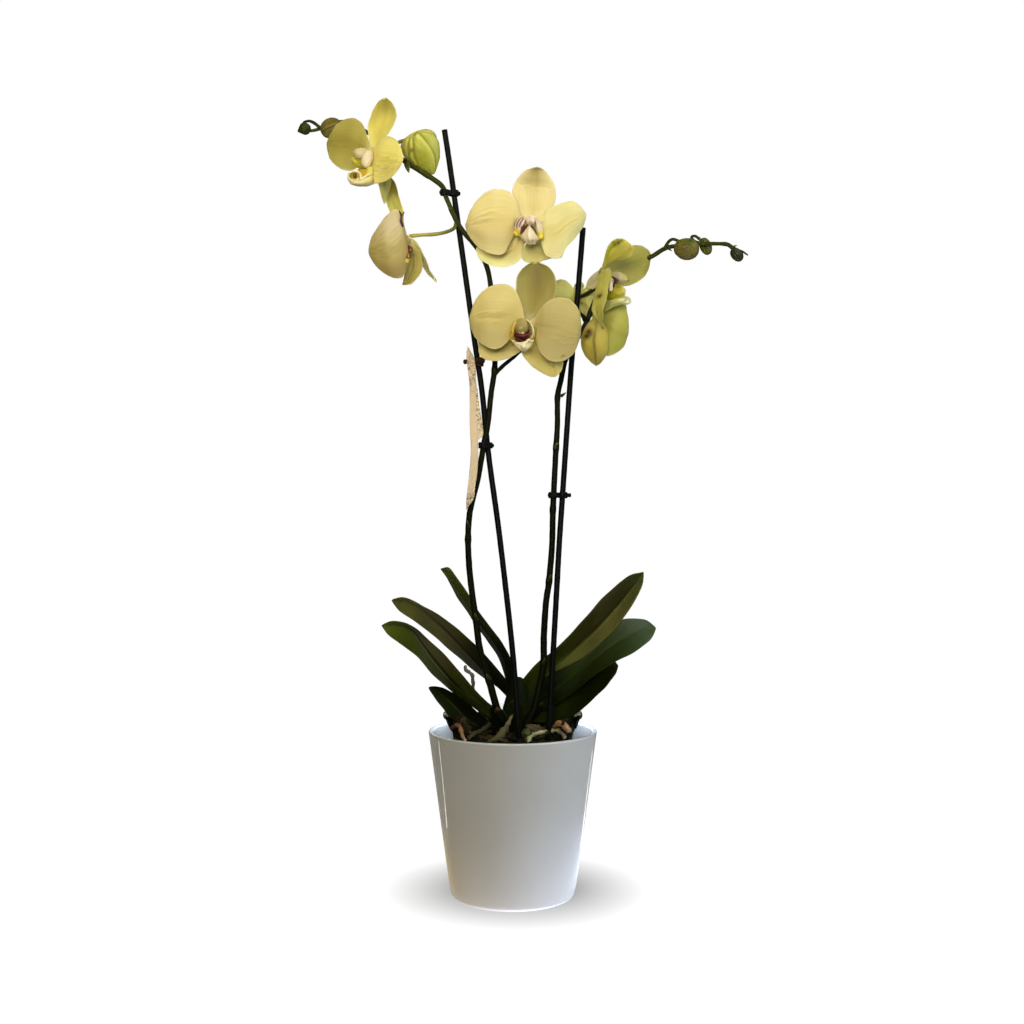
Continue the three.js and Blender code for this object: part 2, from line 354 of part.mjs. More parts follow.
    [[71.3,19,511.1],[72.6,17,504],[74.2,19,497.3]],
    [[75,21.1,509.4],[75.5,18.6,505.5],[76.4,21.1,502.3]],
    [[78.6,26,507.6],[78.6,26,507.6],[78.6,26,507.6]]],
    sepal_a: [[[52,20.6,501.3],[53.9,20.6,500.6],[55.8,20.6,499.8]],
    [[51.6,24,498.9],[53.7,24,498.1],[55.8,24,497.3]],
    [[47.8,25.6,495],[51.9,25,493.6],[56,24.5,492.3]],
    [[44.2,27,490.8],[50.1,26,489.1],[56,25,487.4]],
    [[42,28,485.7],[48.7,26.9,484.1],[55.5,25.8,482.5]],
    [[41.5,29,480.2],[47.9,28,479],[54.4,27,477.7]],
    [[44,30.4,475.3],[47.8,29.8,474.6],[51.6,29.1,473.9]],
    [[47.7,32,471.1],[47.7,32,471.1],[47.7,32,471.1]]],
    sepal_b: [[[52.5,20.6,499.8],[54.2,20.6,500.6],[55.9,20.6,501.4]],
    [[54.1,24,497.3],[55.8,24,498.1],[57.5,24,498.9]],
    [[54,24.5,494.6],[56.8,25,495.7],[59.5,25.6,496.7]],
    [[54.1,25,492],[57.7,26,493.2],[61.4,27,494.3]],
    [[54.6,25.8,489.5],[58.6,26.9,490.5],[62.5,28,491.5]],
    [[55.7,27,487.2],[59.3,28,487.8],[62.9,29,488.5]],
    [[57.4,29.1,485.3],[59.5,29.8,485.6],[61.6,30.4,485.9]],
    [[59.5,32,483.8],[59.5,32,483.8],[59.5,32,483.8]]],
  },
};

// Stems and sticks: points with their radius, mm.
const SPIKE_LEFT = [[-8,-20,149.6,3],[-12.1,-20,157.8,3.1],[-19.5,-17,183.7,2.9],[-26.9,-14,208,2.8],[-30.2,-11,232.4,2.7],[-32.7,-10,248.8,2.6],[-35.6,-9,273.4,2.6],[-36.8,-8,298.1,2.5],[-35.6,-9,318.7,2.5],[-32.7,-10,332.7,2.5],[-28.5,-10,349.2,2.4],[-25.2,-11,368.1,2.4],[-23.2,-11,379.5,2.4],[-20.3,-10,394.3,2.3],[-17.8,-9,418.2,2.3],[-15,-7,438,2.3],[-14.6,-5,458.7,2.2],[-16.3,-3,487.6,2.1],[-19.6,-2,516.5,2.1],[-25.3,-2,532.1,2],[-32.7,-2,542.8,2],[-38.5,-2,549.3,2],[-45.9,-2,560,2],[-50.1,-1,569.2,1.9],[-55.1,2,581.2,2],[-58.5,3,590.5,2.1],[-70.8,3,599.5,2.2],[-88.2,3,610.2,2.1],[-105.3,10,624,1.7],[-123.4,18,639.1,1.6],[-140.8,24,647.9,1.6],[-151.9,26,646.7,1.6],[-160.6,28,643.8,1.5],[-168.3,29,642,1.35],[-175.5,29,641.5,1.1]];
const SPIKE_RIGHT = [[9.2,-28,139.5,3.2],[10.8,-28,147.6,3.1],[17.3,-26,161.2,3],[21.9,-22,179.4,2.9],[25.2,-19,197.1,2.8],[25.5,-16,219.7,2.7],[27.3,-13,246.5,2.6],[29.9,-10,264.4,2.6],[32.4,-7,293.9,2.5],[33.2,-5,322.8,2.5],[34.9,-3,357.4,2.4],[35.8,-2,374,2.4],[37,0,394.7,2.3],[37.2,4,416.4,2.3],[40.1,7,430.6,2.3],[43.6,10,446.6,2.3],[49.5,12,460.1,2.3],[58.6,11,472.5,2.3],[66.1,11,490.8,2.2],[73.7,14,507.8,2.1],[84,18,523.3,2],[100,19,530.1,1.9],[115.3,16,533.9,1.9],[127.6,11,540.6,1.9],[142.4,9,542.8,1.5],[155.1,4,543,1.6],[175.3,1,542.4,1.5],[181,0,539.4,1.4],[186.8,0,536.9,1.2],[189.9,-1,535.7,1],[193.8,-1.5,533,0.6]];
const STAKE_LEFT = [[5.4,-43,130.7,2.35],[5,-42,137,2.35],[0.2,-30,204.9,2.35],[-10.4,-16,298.4,2.35],[-19.9,-7,368.1,2.35],[-25.4,-2,421,2.35],[-31.6,1,463.3,2.35],[-49.9,6,592.7,2.35],[-56.5,7,637.4,2.35]];
const STAKE_RIGHT = [[28.4,-38,133.9,2.35],[29.3,-36,148.1,2.35],[35.3,-20,247.1,2.35],[38.4,-12,298.3,2.35],[41.4,-6,340.1,2.35],[49.1,3,449.4,2.35],[53.3,4,494.2,2.35],[58.3,6,556.4,2.35]];
const STALKS_LEFT = [
  [[-95.9,7,616.8,1.6],[-97.6,7,623.4,1.5],[-94.2,7,627.3,1.5],[-87.6,7,629.3,1.5],[-80.6,7,631.4,1.6]],
  [[-24.5,-2,530.5,1.6],[-12.9,-4,540,1.5],[-0.6,-12,547,1.4],[9.1,-27,551,1.5]],
  [[-15,-7,434.7,1.7],[-8,-7,441.3,1.6],[6,-10,453.3,1.5],[10.8,-20,463,1.4],[11.1,-33,469.1,1.5]],
  [[-88.9,2,610.8,1.4],[-96.1,-1,612.7,1.3],[-103.3,-4,613.7,1.3],[-109.5,-8,614.5,1.5]],
  [[-45.9,-1,560.2,1.6],[-49.2,-3,554.1,1.5],[-59.8,-5,550.1,1.5],[-74.5,-7,548.6,1.5],[-84.2,-8,547.6,1.5]],
  [[-162.3,28,643.8,1.4],[-166.5,28,647.6,1.3],[-171.1,28,649.7,1.2],[-175.3,28,648.7,1.1],[-177.4,28,645.5,1.1]],
];
const STALKS_RIGHT = [
  [[89.8,18,526.6,1.6],[81,10,523.9,1.4],[74.6,1,520.2,1.5]],
  [[66.1,11,490.8,1.5],[68.4,7,487,1.4],[70.6,2,484,1.5]],
  [[73.7,14,507.8,1.6],[67.8,13,506.8,1.5],[61.2,14,502.8,1.5],[56.4,18,500.8,1.5]],
  [[126.4,11,539.4,1.4],[128.7,9,544.4,1.3],[132.6,7,547.2,1.25],[137.7,4,545.3,1.25]],
  [[154.2,4,543.3,1.3],[149.3,4,546.2,1.2],[148.1,4,549,1.1],[151.4,4.5,549.4,1.2],[156.1,6,546.1,1.2]],
];
const ROOTS = {
  root_1: [[-49.8,-27,145.8,1.1],[-46.9,-30,148.8,1.4],[-43,-35,148.8,1.7],[-41.5,-39,145.4,1.8],[-40.4,-43,142,1.7],[-37.9,-46,138.9,1.4]],
  root_2: [[-18.6,-20,148,1.6],[-23.4,-28,145.2,1.8],[-29.7,-34,142.9,1.9],[-35.2,-40,139.9,1.8]],
  root_3: [[-0.6,-14,153.6,1.6],[-3,-24,148.6,2],[-7.9,-34,143.7,2.3],[-11.8,-44,139,2.2],[-18.2,-46,137.3,1.8]],
  root_4: [[42,-31,138.7,1.5],[39.5,-33,143.2,1.7],[35,-35,145.5,1.75],[28.5,-37,145,1.75],[22,-39,143.9,1.7],[17.1,-41,142.9,1.65],[13.8,-44,141,1.65],[12.2,-46,137.3,1.5]],
  root_5: [[32.9,-22,147.5,1.7],[37.8,-22,148.9,2.2],[43.1,-23,146.8,2.5],[47.5,-24,142.5,1.9]],
  aerial_root: [[-17.3,4,141.6,1.3],[-24,9,149.2,1.3],[-29.9,11,158.1,1.3],[-32.8,9,167.6,1.25],[-33.2,6,177.3,1.2],[-33.1,4,183.8,1.2],[-35.6,3,187,1.15],[-39.2,3,189.4,1.1],[-39.3,4,192.7,1]],
};

// Which way each flower faces and which way is up in it.
const FACING = {
  flower_1: { n: [0.05, -1, -0.12], up: [0.06, 0, 1] },
  flower_2: { n: [-0.05, -1, -0.16], up: [0.06, 0, 1] },
  flower_3: { n: [-0.66, -0.72, -0.2], up: [0.2, 0.1, 1] },
  flower_4: { n: [-0.45, 0.75, -0.45], up: [-0.2, 0.2, 1] },
  flower_5: { n: [0.86, -0.5, -0.12], up: [0.1, -0.1, 1] },
  flower_6: { n: [0.55, 0.8, -0.1], up: [-0.1, 0.1, 1] },
  flower_7: { n: [0.05, 1, -0.1], up: [0, 0, 1] },
};

// Buds: point nearest the stalk, far end, largest radius.
const BUDS = {
  bud_opening: { from: [-81.7, 10.0, 635.3], to: [-65.8, 9.0, 601.4], r: 15.2 },
  bud_left_large: { from: [-144.4, 26.0, 648.8], to: [-160.7, 25.0, 638.5], r: 8.0 },
  bud_left_tip: { from: [-169.4, 28.0, 644.2], to: [-181.7, 28.0, 641.7], r: 4.6 },
  bud_right_large: { from: [133.3, -2.0, 539.9], to: [153.3, -3.0, 536.9], r: 8.6 },
  bud_right_medium: { from: [158.1, 12.0, 548.6], to: [163.1, 11.0, 535.4], r: 4.6 },
  bud_right_small: { from: [180.8, -3.0, 537.7], to: [188.0, -4.0, 528.4], r: 4.5 },
};

// ---------------------------------------------------------------- helpers
const V = (p) => new THREE.Vector3(p[0], p[1], p[2]);

function clean(geometry) {
  const g = geometry.clone();
  g.deleteAttribute('normal');
  g.deleteAttribute('uv');
  const m = mergeVertices(g, 1e-3);
  const a = m.index.array;
  const keep = [];
  for (let i = 0; i < a.length; i += 3) {
    if (a[i] !== a[i + 1] && a[i + 1] !== a[i + 2] && a[i] !== a[i + 2]) keep.push(a[i], a[i + 1], a[i + 2]);
  }
  const p = m.attributes.position;
  let volume = 0;
  const va = new THREE.Vector3(), vb = new THREE.Vector3(), vc = new THREE.Vector3();
  for (let i = 0; i < keep.length; i += 3) {
    va.fromBufferAttribute(p, keep[i]);
    vb.fromBufferAttribute(p, keep[i + 1]);
    vc.fromBufferAttribute(p, keep[i + 2]);
    volume += va.dot(vb.cross(vc)) / 6;
  }
  if (volume < 0) for (let i = 0; i < keep.length; i += 3) [keep[i], keep[i + 1]] = [keep[i + 1], keep[i]];
  m.setIndex(keep);
  return m;
}

function solid(geometry) {
  const g = clean(geometry);
  const mesh = new wasm.Mesh({
    numProp: 3,
    vertProperties: new Float32Array(g.attributes.position.array),
    triVerts: new Uint32Array(g.index.array),
  });
  mesh.merge();
  return new wasm.Manifold(mesh);
}

function union(list) {
  let out = list[0];
  for (let i = 1; i < list.length; i += 1) out = out.add(list[i]);
  return out;
}

function largest(m) {
  const parts = m.decompose();
  let best = parts[0];
  for (const q of parts) if (q.volume() > best.volume()) best = q;
  return best;
}

function toGeometry(m) {
  const mesh = m.getMesh();
  const g = new THREE.BufferGeometry();
  const pos = new Float32Array(mesh.numVert * 3);
  for (let i = 0; i < mesh.numVert; i += 1) {
    for (let k = 0; k < 3; k += 1) pos[3 * i + k] = mesh.vertProperties[i * mesh.numProp + k];
  }
  g.setAttribute('position', new THREE.BufferAttribute(pos, 3));
  g.setIndex(Array.from(mesh.triVerts));
  g.computeVertexNormals();
  return g;
}

// Point and derivative on a Catmull-Rom spline through rows of points.
function spline(points) {
  return new THREE.CatmullRomCurve3(points, false, 'catmullrom', 0.5);
}

// A thin closed blade (leaf, petal or sepal) through edge, midrib and edge curves.
// crease: small = folded along the midrib, large = evenly bowed.
function blade(rows, thickness, around, along, grow = 0, crease = 0.8) {
  const bowed = (t) => (Math.sqrt(t * t + crease * crease) - crease) / (Math.sqrt(1 + crease * crease) - crease);
  const edgeA = spline(rows.map((r) => V(r[0])));
  const mid = spline(rows.map((r) => V(r[1])));
  const edgeB = spline(rows.map((r) => V(r[2])));
  const at = (s, t) => {
    const m = mid.getPoint(s);
    const a = edgeA.getPoint(s), b = edgeB.getPoint(s);
    if (grow > 0) {
      const d = b.clone().sub(a);
      if (d.length() > 1e-6) {
        d.normalize().multiplyScalar(grow);
        a.sub(d);
        b.add(d);
      }
    }
    const half = b.clone().sub(a).multiplyScalar(0.5);
    const bow = a.clone().add(b).multiplyScalar(0.5).sub(m);
    return m.clone().add(half.multiplyScalar(t)).add(bow.multiplyScalar(bowed(t)));
  };
  const g = new ParametricGeometry((u, v, target) => {
    const s = v;
    const t = -Math.cos(2 * Math.PI * u);
    const e = 1e-3;
    const p = at(s, t);
    const s1 = Math.min(1, s + e), s0 = Math.max(0, s - e);
    const ds = at(s1, t * 0.98).sub(at(s0, t * 0.98));
    const dt = at(Math.min(0.97, s), 0.3).sub(at(Math.min(0.97, s), -0.3));
    const n = ds.cross(dt).normalize();
    const ends = Math.min(1, s / 0.08, (1 - s) / 0.08);
    const h = ((thickness / 2) * ends + grow) * Math.sin(2 * Math.PI * u);
    const end = grow * 3;
    if (v === 1) target.copy(mid.getPoint(1)).addScaledVector(mid.getTangent(1), end);
    else if (v === 0) target.copy(p).addScaledVector(mid.getTangent(0), -end);
    else if (Math.abs(Math.abs(t) - 1) < 1e-6) target.copy(p);
    else target.copy(p.add(n.multiplyScalar(h)));
  }, around, along);
  return solid(g);
}

// A round stem along points with their own radii, with closed rounded ends.
function stem(points, around, along, grow = 0) {
  const curve = spline(points.map((p) => V(p)));
  const radius = (s) => {
    const x = s * (points.length - 1);
    const i = Math.min(points.length - 2, Math.floor(x));
    return points[i][3] + (points[i + 1][3] - points[i][3]) * (x - i);
  };
  const frames = [];
  let normal = new THREE.Vector3(0, -1, 0);
  for (let i = 0; i <= along; i += 1) {
    const tangent = curve.getTangent(Math.min(0.9999, Math.max(0.0001, i / along)));
    normal = normal.clone().sub(tangent.clone().multiplyScalar(normal.dot(tangent))).normalize();
    frames.push({ o: curve.getPoint(i / along), n: normal, b: tangent.clone().cross(normal), r: radius(i / along) });
  }
  const g = new ParametricGeometry((u, v, target) => {
    const x = Math.round(v * (along + 2));
    const i = Math.min(along, Math.max(0, x - 1));
    const f = frames[i];
    const r = x === 0 || x === along + 2 ? 0 : f.r + grow;
    const a = 2 * Math.PI * u;
    target.copy(f.o).addScaledVector(f.n, r * Math.cos(a)).addScaledVector(f.b, r * Math.sin(a));
    if (grow > 0 && (x === 0 || x === along + 2)) {
      const tangent = f.b.clone().cross(f.n);
      target.addScaledVector(tangent, x === 0 ? grow : -grow);
    }
  }, around, along + 2);
  return solid(g);
}

// An egg-shaped body between two points.
function egg(from, to, r, around, along, grow = 0) {
  const a = V(from), b = V(to);
  const axis = b.clone().sub(a);
  const length = axis.length();
  axis.normalize();
  const n = new THREE.Vector3(0, 1, 0).cross(axis).normalize();
  const k = axis.clone().cross(n);
  const g = new ParametricGeometry((u, v, target) => {
    const th = Math.PI * v;
    const along01 = (1 - Math.cos(th)) / 2;
    const rr = (r + grow) * Math.sin(th) ** 0.9 * (1 - 0.12 * (along01 - 0.5));
    const d = -grow + along01 * (length + 2 * grow);
    target.copy(a).addScaledVector(axis, d)
      .addScaledVector(n, rr * Math.cos(2 * Math.PI * u))
      .addScaledVector(k, rr * Math.sin(2 * Math.PI * u));
    if (v === 0) target.copy(a).addScaledVector(axis, -grow);
    if (v === 1) target.copy(a).addScaledVector(axis, length + grow);
  }, around, along);
  return solid(g);
}

function lathe(profile, segments = POT_SEGMENTS) {
  const g = new THREE.LatheGeometry(profile.map((p) => new THREE.Vector2(p[0], p[1])), segments);
  g.rotateX(Math.PI / 2);
  return g;
}

const group = new THREE.Group();
const placed = [];             // grown copies of what is already placed

// Keep a new body clear of everything placed before it.
function fit(body) {
  let out = body;
  const b = body.boundingBox();
  for (const q of placed) {
    const c = q.box;
    const apart = [0, 1, 2].some((k) => b.min[k] > c.max[k] || b.max[k] < c.min[k]);
    if (!apart) out = out.subtract(q.body);
  }
  return largest(out);
}

function place(name, body, material, grown) {
  const mesh = new THREE.Mesh(toGeometry(body), material);
  mesh.name = name;
  group.add(mesh);
  if (grown) for (const q of [].concat(grown)) placed.push({ body: q, box: q.boundingBox() });
}

const material = (color, roughness, metalness = 0) => new THREE.MeshStandardMaterial({ color, roughness, metalness });
const MAT = {
  glaze: material(0xd6d5cf, 0.15),
  nursery: material(0x5c6650, 0.35),
  bark: material(0x4a3524, 0.9),
  leaf: material(0x1d2b10, 0.4),
  stem: material(0x2b3716, 0.5),
  stake: material(0x101012, 0.5),
  clip: material(0x141416, 0.4),
  labelClip: material(0x3a2a1c, 0.4),
  label: material(0xdcc59c, 0.8),
  petal: material(0xe6dc8c, 0.6),
  lip: material(0xe8cf6a, 0.5),
  bud: material(0x6c7a24, 0.5),
  root: material(0xb49a74, 0.7),
};

// ---------------------------------------------------------------- cover pot
const coverOuter = (z) => 53 + (COVER_RIM_R - 53) * (z - 12) / (COVER_HEIGHT - 12);
{
  const profile = [
    [0, 0], [COVER_FOOT_R, 0], [47.5, 1.0], [50.3, 3.6], [52.0, 7.6], [coverOuter(14), 14],
    [coverOuter(75), 75], [coverOuter(COVER_HEIGHT - 3), COVER_HEIGHT - 3],
    [COVER_RIM_R - 0.8, COVER_HEIGHT - 0.8], [COVER_RIM_R - 2.2, COVER_HEIGHT],
    [COVER_RIM_R - COVER_WALL + 0.8, COVER_HEIGHT - 0.7],
    [COVER_RIM_R - COVER_WALL - 0.4, COVER_HEIGHT - 3],
    [coverOuter(75) - COVER_WALL, 75], [coverOuter(LEDGE_Z) - COVER_WALL - 0.6, LEDGE_Z + 1.5],
    [coverOuter(LEDGE_Z) - COVER_WALL - 2.4, LEDGE_Z],
    [LEDGE_R, LEDGE_Z], [LEDGE_R - 2, 8], [0, 6],
  ];
  place('cover_pot', solid(lathe(profile)), MAT.glaze);
}

// ---------------------------------------------------------------- nursery pot
const nurseryR = (z) => 44 + (53.6 - 44) * (z - LEDGE_Z) / (NURSERY_TOP - 3 - LEDGE_Z);
{
  const z0 = LEDGE_Z + GAP;
  const profile = [
    [0, z0], [nurseryR(z0) - 1.5, z0], [nurseryR(z0), z0 + 1.5],
    [nurseryR(NURSERY_TOP - 5), NURSERY_TOP - 5], [NURSERY_LIP_R, NURSERY_TOP - 2.6], [NURSERY_LIP_R, NURSERY_TOP],
    [NURSERY_LIP_R - NURSERY_WALL, NURSERY_TOP], [NURSERY_LIP_R - NURSERY_WALL - 0.2, NURSERY_TOP - 1.4],
    [nurseryR(NURSERY_TOP - 4) - NURSERY_WALL, NURSERY_TOP - 4],
    [nurseryR(z0) - NURSERY_WALL, z0 + 2.6], [nurseryR(z0) - 2.4, z0 + NURSERY_WALL], [0, z0 + NURSERY_WALL],
  ];
  let pot = solid(lathe(profile));
  const grown = [
    [nurseryR(60) - NURSERY_WALL - GAP, 60], [nurseryR(60) + GAP, 60], [nurseryR(NURSERY_TOP - 5) + GAP, NURSERY_TOP - 5.3],
    [NURSERY_LIP_R + GAP, NURSERY_TOP - 3], [NURSERY_LIP_R + GAP, NURSERY_TOP + GAP],
    [NURSERY_LIP_R - NURSERY_WALL - GAP, NURSERY_TOP + GAP], [NURSERY_LIP_R - NURSERY_WALL - 0.5, NURSERY_TOP - 1.2],
    [nurseryR(NURSERY_TOP - 4) - NURSERY_WALL - GAP, NURSERY_TOP - 3.7],
  ];
  grown.push(grown[0]);
  for (let i = 0; i < DRAIN_HOLES; i += 1) {
    const a = (2 * Math.PI * i) / DRAIN_HOLES;
    const hole = new THREE.CylinderGeometry(DRAIN_HOLE_R, DRAIN_HOLE_R, 6, 12);
    hole.rotateX(Math.PI / 2);
    hole.translate(DRAIN_RING_R * Math.cos(a), DRAIN_RING_R * Math.sin(a), z0 + 0.5);
    pot = pot.subtract(solid(hole));
  }
  place('nursery_pot', pot, MAT.nursery, solid(lathe(grown)));
}

// ---------------------------------------------------------------- stakes
const stick = (points, radius, sides, steps) => {
  const curve = spline(points.map((p) => V(p)));
  const ring = new THREE.Shape();
  for (let i = 0; i < sides; i += 1) {
    const a = (2 * Math.PI * i) / sides;
    if (i === 0) ring.moveTo(radius, 0);
    else ring.lineTo(radius * Math.cos(a), radius * Math.sin(a));
  }
  return solid(new THREE.ExtrudeGeometry(ring, { steps, extrudePath: curve, curveSegments: 1, bevelEnabled: false }));
};
const deeper = (points, z) => {
  const p = points[0], q = points[1];
  const k = (z - p[2]) / (q[2] - p[2]);
  return [[p[0] + (q[0] - p[0]) * k * 0.6, p[1] * 0.8, z, p[3]], ...points];
};
const stakeLeft = deeper(STAKE_LEFT, 60);
const stakeRight = deeper(STAKE_RIGHT, 60);
place('support_stake_left', stick(stakeLeft, 2.35, 8, 14), MAT.stake, stick(stakeLeft, 2.35 + GAP, 8, 14));
place('support_stake_right', stick(stakeRight, 2.35, 8, 12), MAT.stake, stick(stakeRight, 2.35 + GAP, 8, 12));

// ---------------------------------------------------------------- flower spikes
const spikeParts = (points, stalks, grow) => union([
  stem(points, 6, points.length, grow),
  ...stalks.map((s) => stem(s, 6, s.length + 1, grow)),
]);
const nodeRings = {
  left: [[1, 4.0], [4, 3.2], [7, 3.2], [27, 2.2]],
  right: [[7, 3.2], [11, 2.9], [17, 3.6]],
};
const rings = (points, list, grow) => list.map(([i, r]) => {
  const p = V(points[i]), q = V(points[Math.min(points.length - 1, i + 1)]);
  const d = q.sub(p).normalize().multiplyScalar(2.4);
  const a = p.clone().sub(d), b = p.clone().add(d);
  return egg([a.x, a.y, a.z], [b.x, b.y, b.z], r, 7, 4, grow);
});
const leftSpike = (grow) => union([spikeParts(SPIKE_LEFT, STALKS_LEFT, grow), ...rings(SPIKE_LEFT, nodeRings.left, grow)]);
const rightSpike = (grow) => union([spikeParts(SPIKE_RIGHT, STALKS_RIGHT, grow), ...rings(SPIKE_RIGHT, nodeRings.right, grow)]);
place('flower_spike_left', fit(leftSpike(0)), MAT.stem, leftSpike(GAP));
place('flower_spike_right', fit(rightSpike(0)), MAT.stem, rightSpike(GAP));

// ---------------------------------------------------------------- stem clips
// A flat band bent round the stick and the stem beside it, with a short finger tab.
function band(a, b, ra, rb, tab) {
  const A = V(a), B = V(b);
  const x = B.clone().sub(A).setZ(0);
  const d = x.length();
  x.normalize();
  const angle = Math.atan2(x.y, x.x);
  const outline = (grow) => {
    const s = new THREE.Shape();
    const pts = [];
    for (let i = 0; i <= 8; i += 1) {
      const t = Math.PI / 2 + (Math.PI * i) / 8;
      pts.push([(ra + grow) * Math.cos(t), (ra + grow) * Math.sin(t)]);
    }
    for (let i = 0; i <= 8; i += 1) {
      const t = -Math.PI / 2 + (Math.PI * i) / 8;
      pts.push([d + (rb + grow) * Math.cos(t), (rb + grow) * Math.sin(t)]);
    }
    pts.forEach(([px, py], i) => (i === 0 ? s.moveTo(px, py) : s.lineTo(px, py)));
    s.closePath();
    return s;
  };
  const outer = outline(0.6 + CLIP_THICKNESS);
  const ext = (shape, h, z) => {
    const g = new THREE.ExtrudeGeometry(shape, { depth: h, steps: 1, bevelEnabled: false, curveSegments: 1 });
    g.translate(0, 0, z);
    return g;
  };
  let body = solid(ext(outer, CLIP_HEIGHT, -CLIP_HEIGHT / 2));
  if (tab) {
    const t = new THREE.BoxGeometry(tab, 2.4, 3.4);
    t.translate(d + rb + 0.6 + CLIP_THICKNESS + tab / 2 - 0.6, 0, 0);
    body = body.add(solid(t));
  }
  body = body.subtract(solid(ext(outline(0.6), CLIP_HEIGHT + 2, -CLIP_HEIGHT / 2 - 1)));
  return body.rotate([0, 0, (angle * 180) / Math.PI]).translate([A.x, A.y, A.z]);
}
const onPath = (points, z) => {
  const pts = spline(points.map((p) => V(p))).getPoints(400);
  let best = pts[0];
  for (const p of pts) if (Math.abs(p.z - z) < Math.abs(best.z - z)) best = p;
  return [best.x, best.y, z];
};
for (const [name, stake, spikePts, z, flip, tab] of [
  ['stem_clip_left_low', stakeLeft, SPIKE_LEFT, 376, true, 5],
  ['stem_clip_left_high', stakeLeft, SPIKE_LEFT, 585, true, 2.5],
  ['stem_clip_right', stakeRight, SPIKE_RIGHT, 335, false, 3],
]) {
  const a = onPath(spikePts, z), b = onPath(stake, z);
  const body = band(a, b, 2.5, 2.5, tab);
  place(name, fit(body), MAT.clip, band(a, b, 2.5 + GAP, 2.5 + GAP, tab + GAP));
}

// ---------------------------------------------------------------- plant label on its clip
const LABEL = [
  [[-37.5, -9, 457.5], [-37.3, -9, 457.7], [-37.0, -9, 457.5]],
  [[-38.6, -10, 448], [-35.2, -9, 448.3], [-31.6, -10, 448]],
  [[-36.2, -12, 426], [-32.6, -11.2, 426], [-29.2, -12, 426]],
  [[-34.8, -18, 383], [-29.6, -17.4, 383], [-25.0, -18, 383]],
  [[-37.4, -19, 348], [-33, -18.4, 348], [-29.0, -19, 348]],
  [[-38.8, -20, 325], [-35.5, -19.6, 324], [-32.4, -20, 325]],
];
const label = (grow) => blade(LABEL, 1.4, 8, 12, grow);
place('plant_label', fit(label(0)), MAT.label, label(GAP));
{
  const z = 444;
  const s = onPath(stakeLeft, z);
  const body = (grow) => {
    const g = new THREE.CylinderGeometry(4.3 + grow, 4.3 + grow, 5 + 2 * grow, 14);
    g.rotateX(Math.PI / 2);
    const arm = new THREE.BoxGeometry(15 + grow, 2.6 + 2 * grow, 4 + 2 * grow);
    arm.translate(-9.5, -2.5, 0);
    return solid(g).add(solid(arm)).translate(s);
  };
  const bore = new THREE.CylinderGeometry(2.35 + GAP, 2.35 + GAP, 9, 12);
  bore.rotateX(Math.PI / 2);
  place('label_clip', fit(body(0).subtract(solid(bore).translate(s))), MAT.labelClip, body(GAP));
}

// ---------------------------------------------------------------- crown
const crown = (grow) => union([
  stem([[1, 2, 122, 8], [1, 2, 134, 11], [2, 2, 146, 12], [3, 4, 158, 11], [4, 6, 170, 8.5], [4, 7, 180, 5.5]], 10, 8, grow),
]);
place('crown', fit(crown(0)), MAT.leaf, crown(GAP));

// ---------------------------------------------------------------- leaves
for (const name of ['leaf_3', 'leaf_7', 'leaf_4', 'leaf_6', 'leaf_2', 'leaf_5', 'leaf_1']) {
  const rows = LEAVES[name];
  place(name, fit(blade(rows, LEAF_THICKNESS, 8, 10, 0, LEAF_CREASE)), MAT.leaf, blade(rows, LEAF_THICKNESS, 8, 10, 3 * GAP, LEAF_CREASE));
}

// ---------------------------------------------------------------- roots
for (const [name, points] of Object.entries(ROOTS)) {
  const n = points.length + 3;
  place(name, fit(stem(points, 6, n, 0)), MAT.root, stem(points, 6, n, GAP));
}

// ---------------------------------------------------------------- loose bark chips
const CHIPS = [
  { name: 'bark_chip_1', at: [19, -33, 146.2], size: [15, 8, 4], turn: [0.2, 0.15, 0.3] },
  { name: 'bark_chip_2', at: [11, -41, 144.6], size: [6, 8, 4], turn: [0.1, -0.3, 0.8] },
  { name: 'bark_chip_3', at: [26, 26, 146], size: [14, 9, 5], turn: [0.1, 0.2, -0.5] },
  { name: 'bark_chip_4', at: [-24, 30, 146], size: [13, 8, 5], turn: [-0.2, 0.1, 0.9] },
  { name: 'bark_chip_5', at: [-38, -8, 145.5], size: [12, 7, 5], turn: [0.2, -0.1, 0.4] },
];
for (const c of CHIPS) {
  const chip = (grow) => {
    const g = new THREE.SphereGeometry(0.5, 8, 5);
    const p = g.attributes.position;
    for (let i = 0; i < p.count; i += 1) {
      const q = new THREE.Vector3().fromBufferAttribute(p, i);
      const w = Math.max(Math.abs(q.x), Math.abs(q.y), Math.abs(q.z)) * 2;
      q.multiplyScalar(0.45 + 0.55 / Math.max(w, 1e-6) * 0.62);
      p.setXYZ(i, q.x * (c.size[0] + 2 * grow), q.y * (c.size[1] + 2 * grow), q.z * (c.size[2] + 2 * grow));
    }
    const e = new THREE.Euler(...c.turn);
    g.applyMatrix4(new THREE.Matrix4().makeRotationFromEuler(e));
    g.translate(...c.at);
    return solid(g);
  };
  place(c.name, fit(chip(0)), MAT.bark, chip(GAP));
}

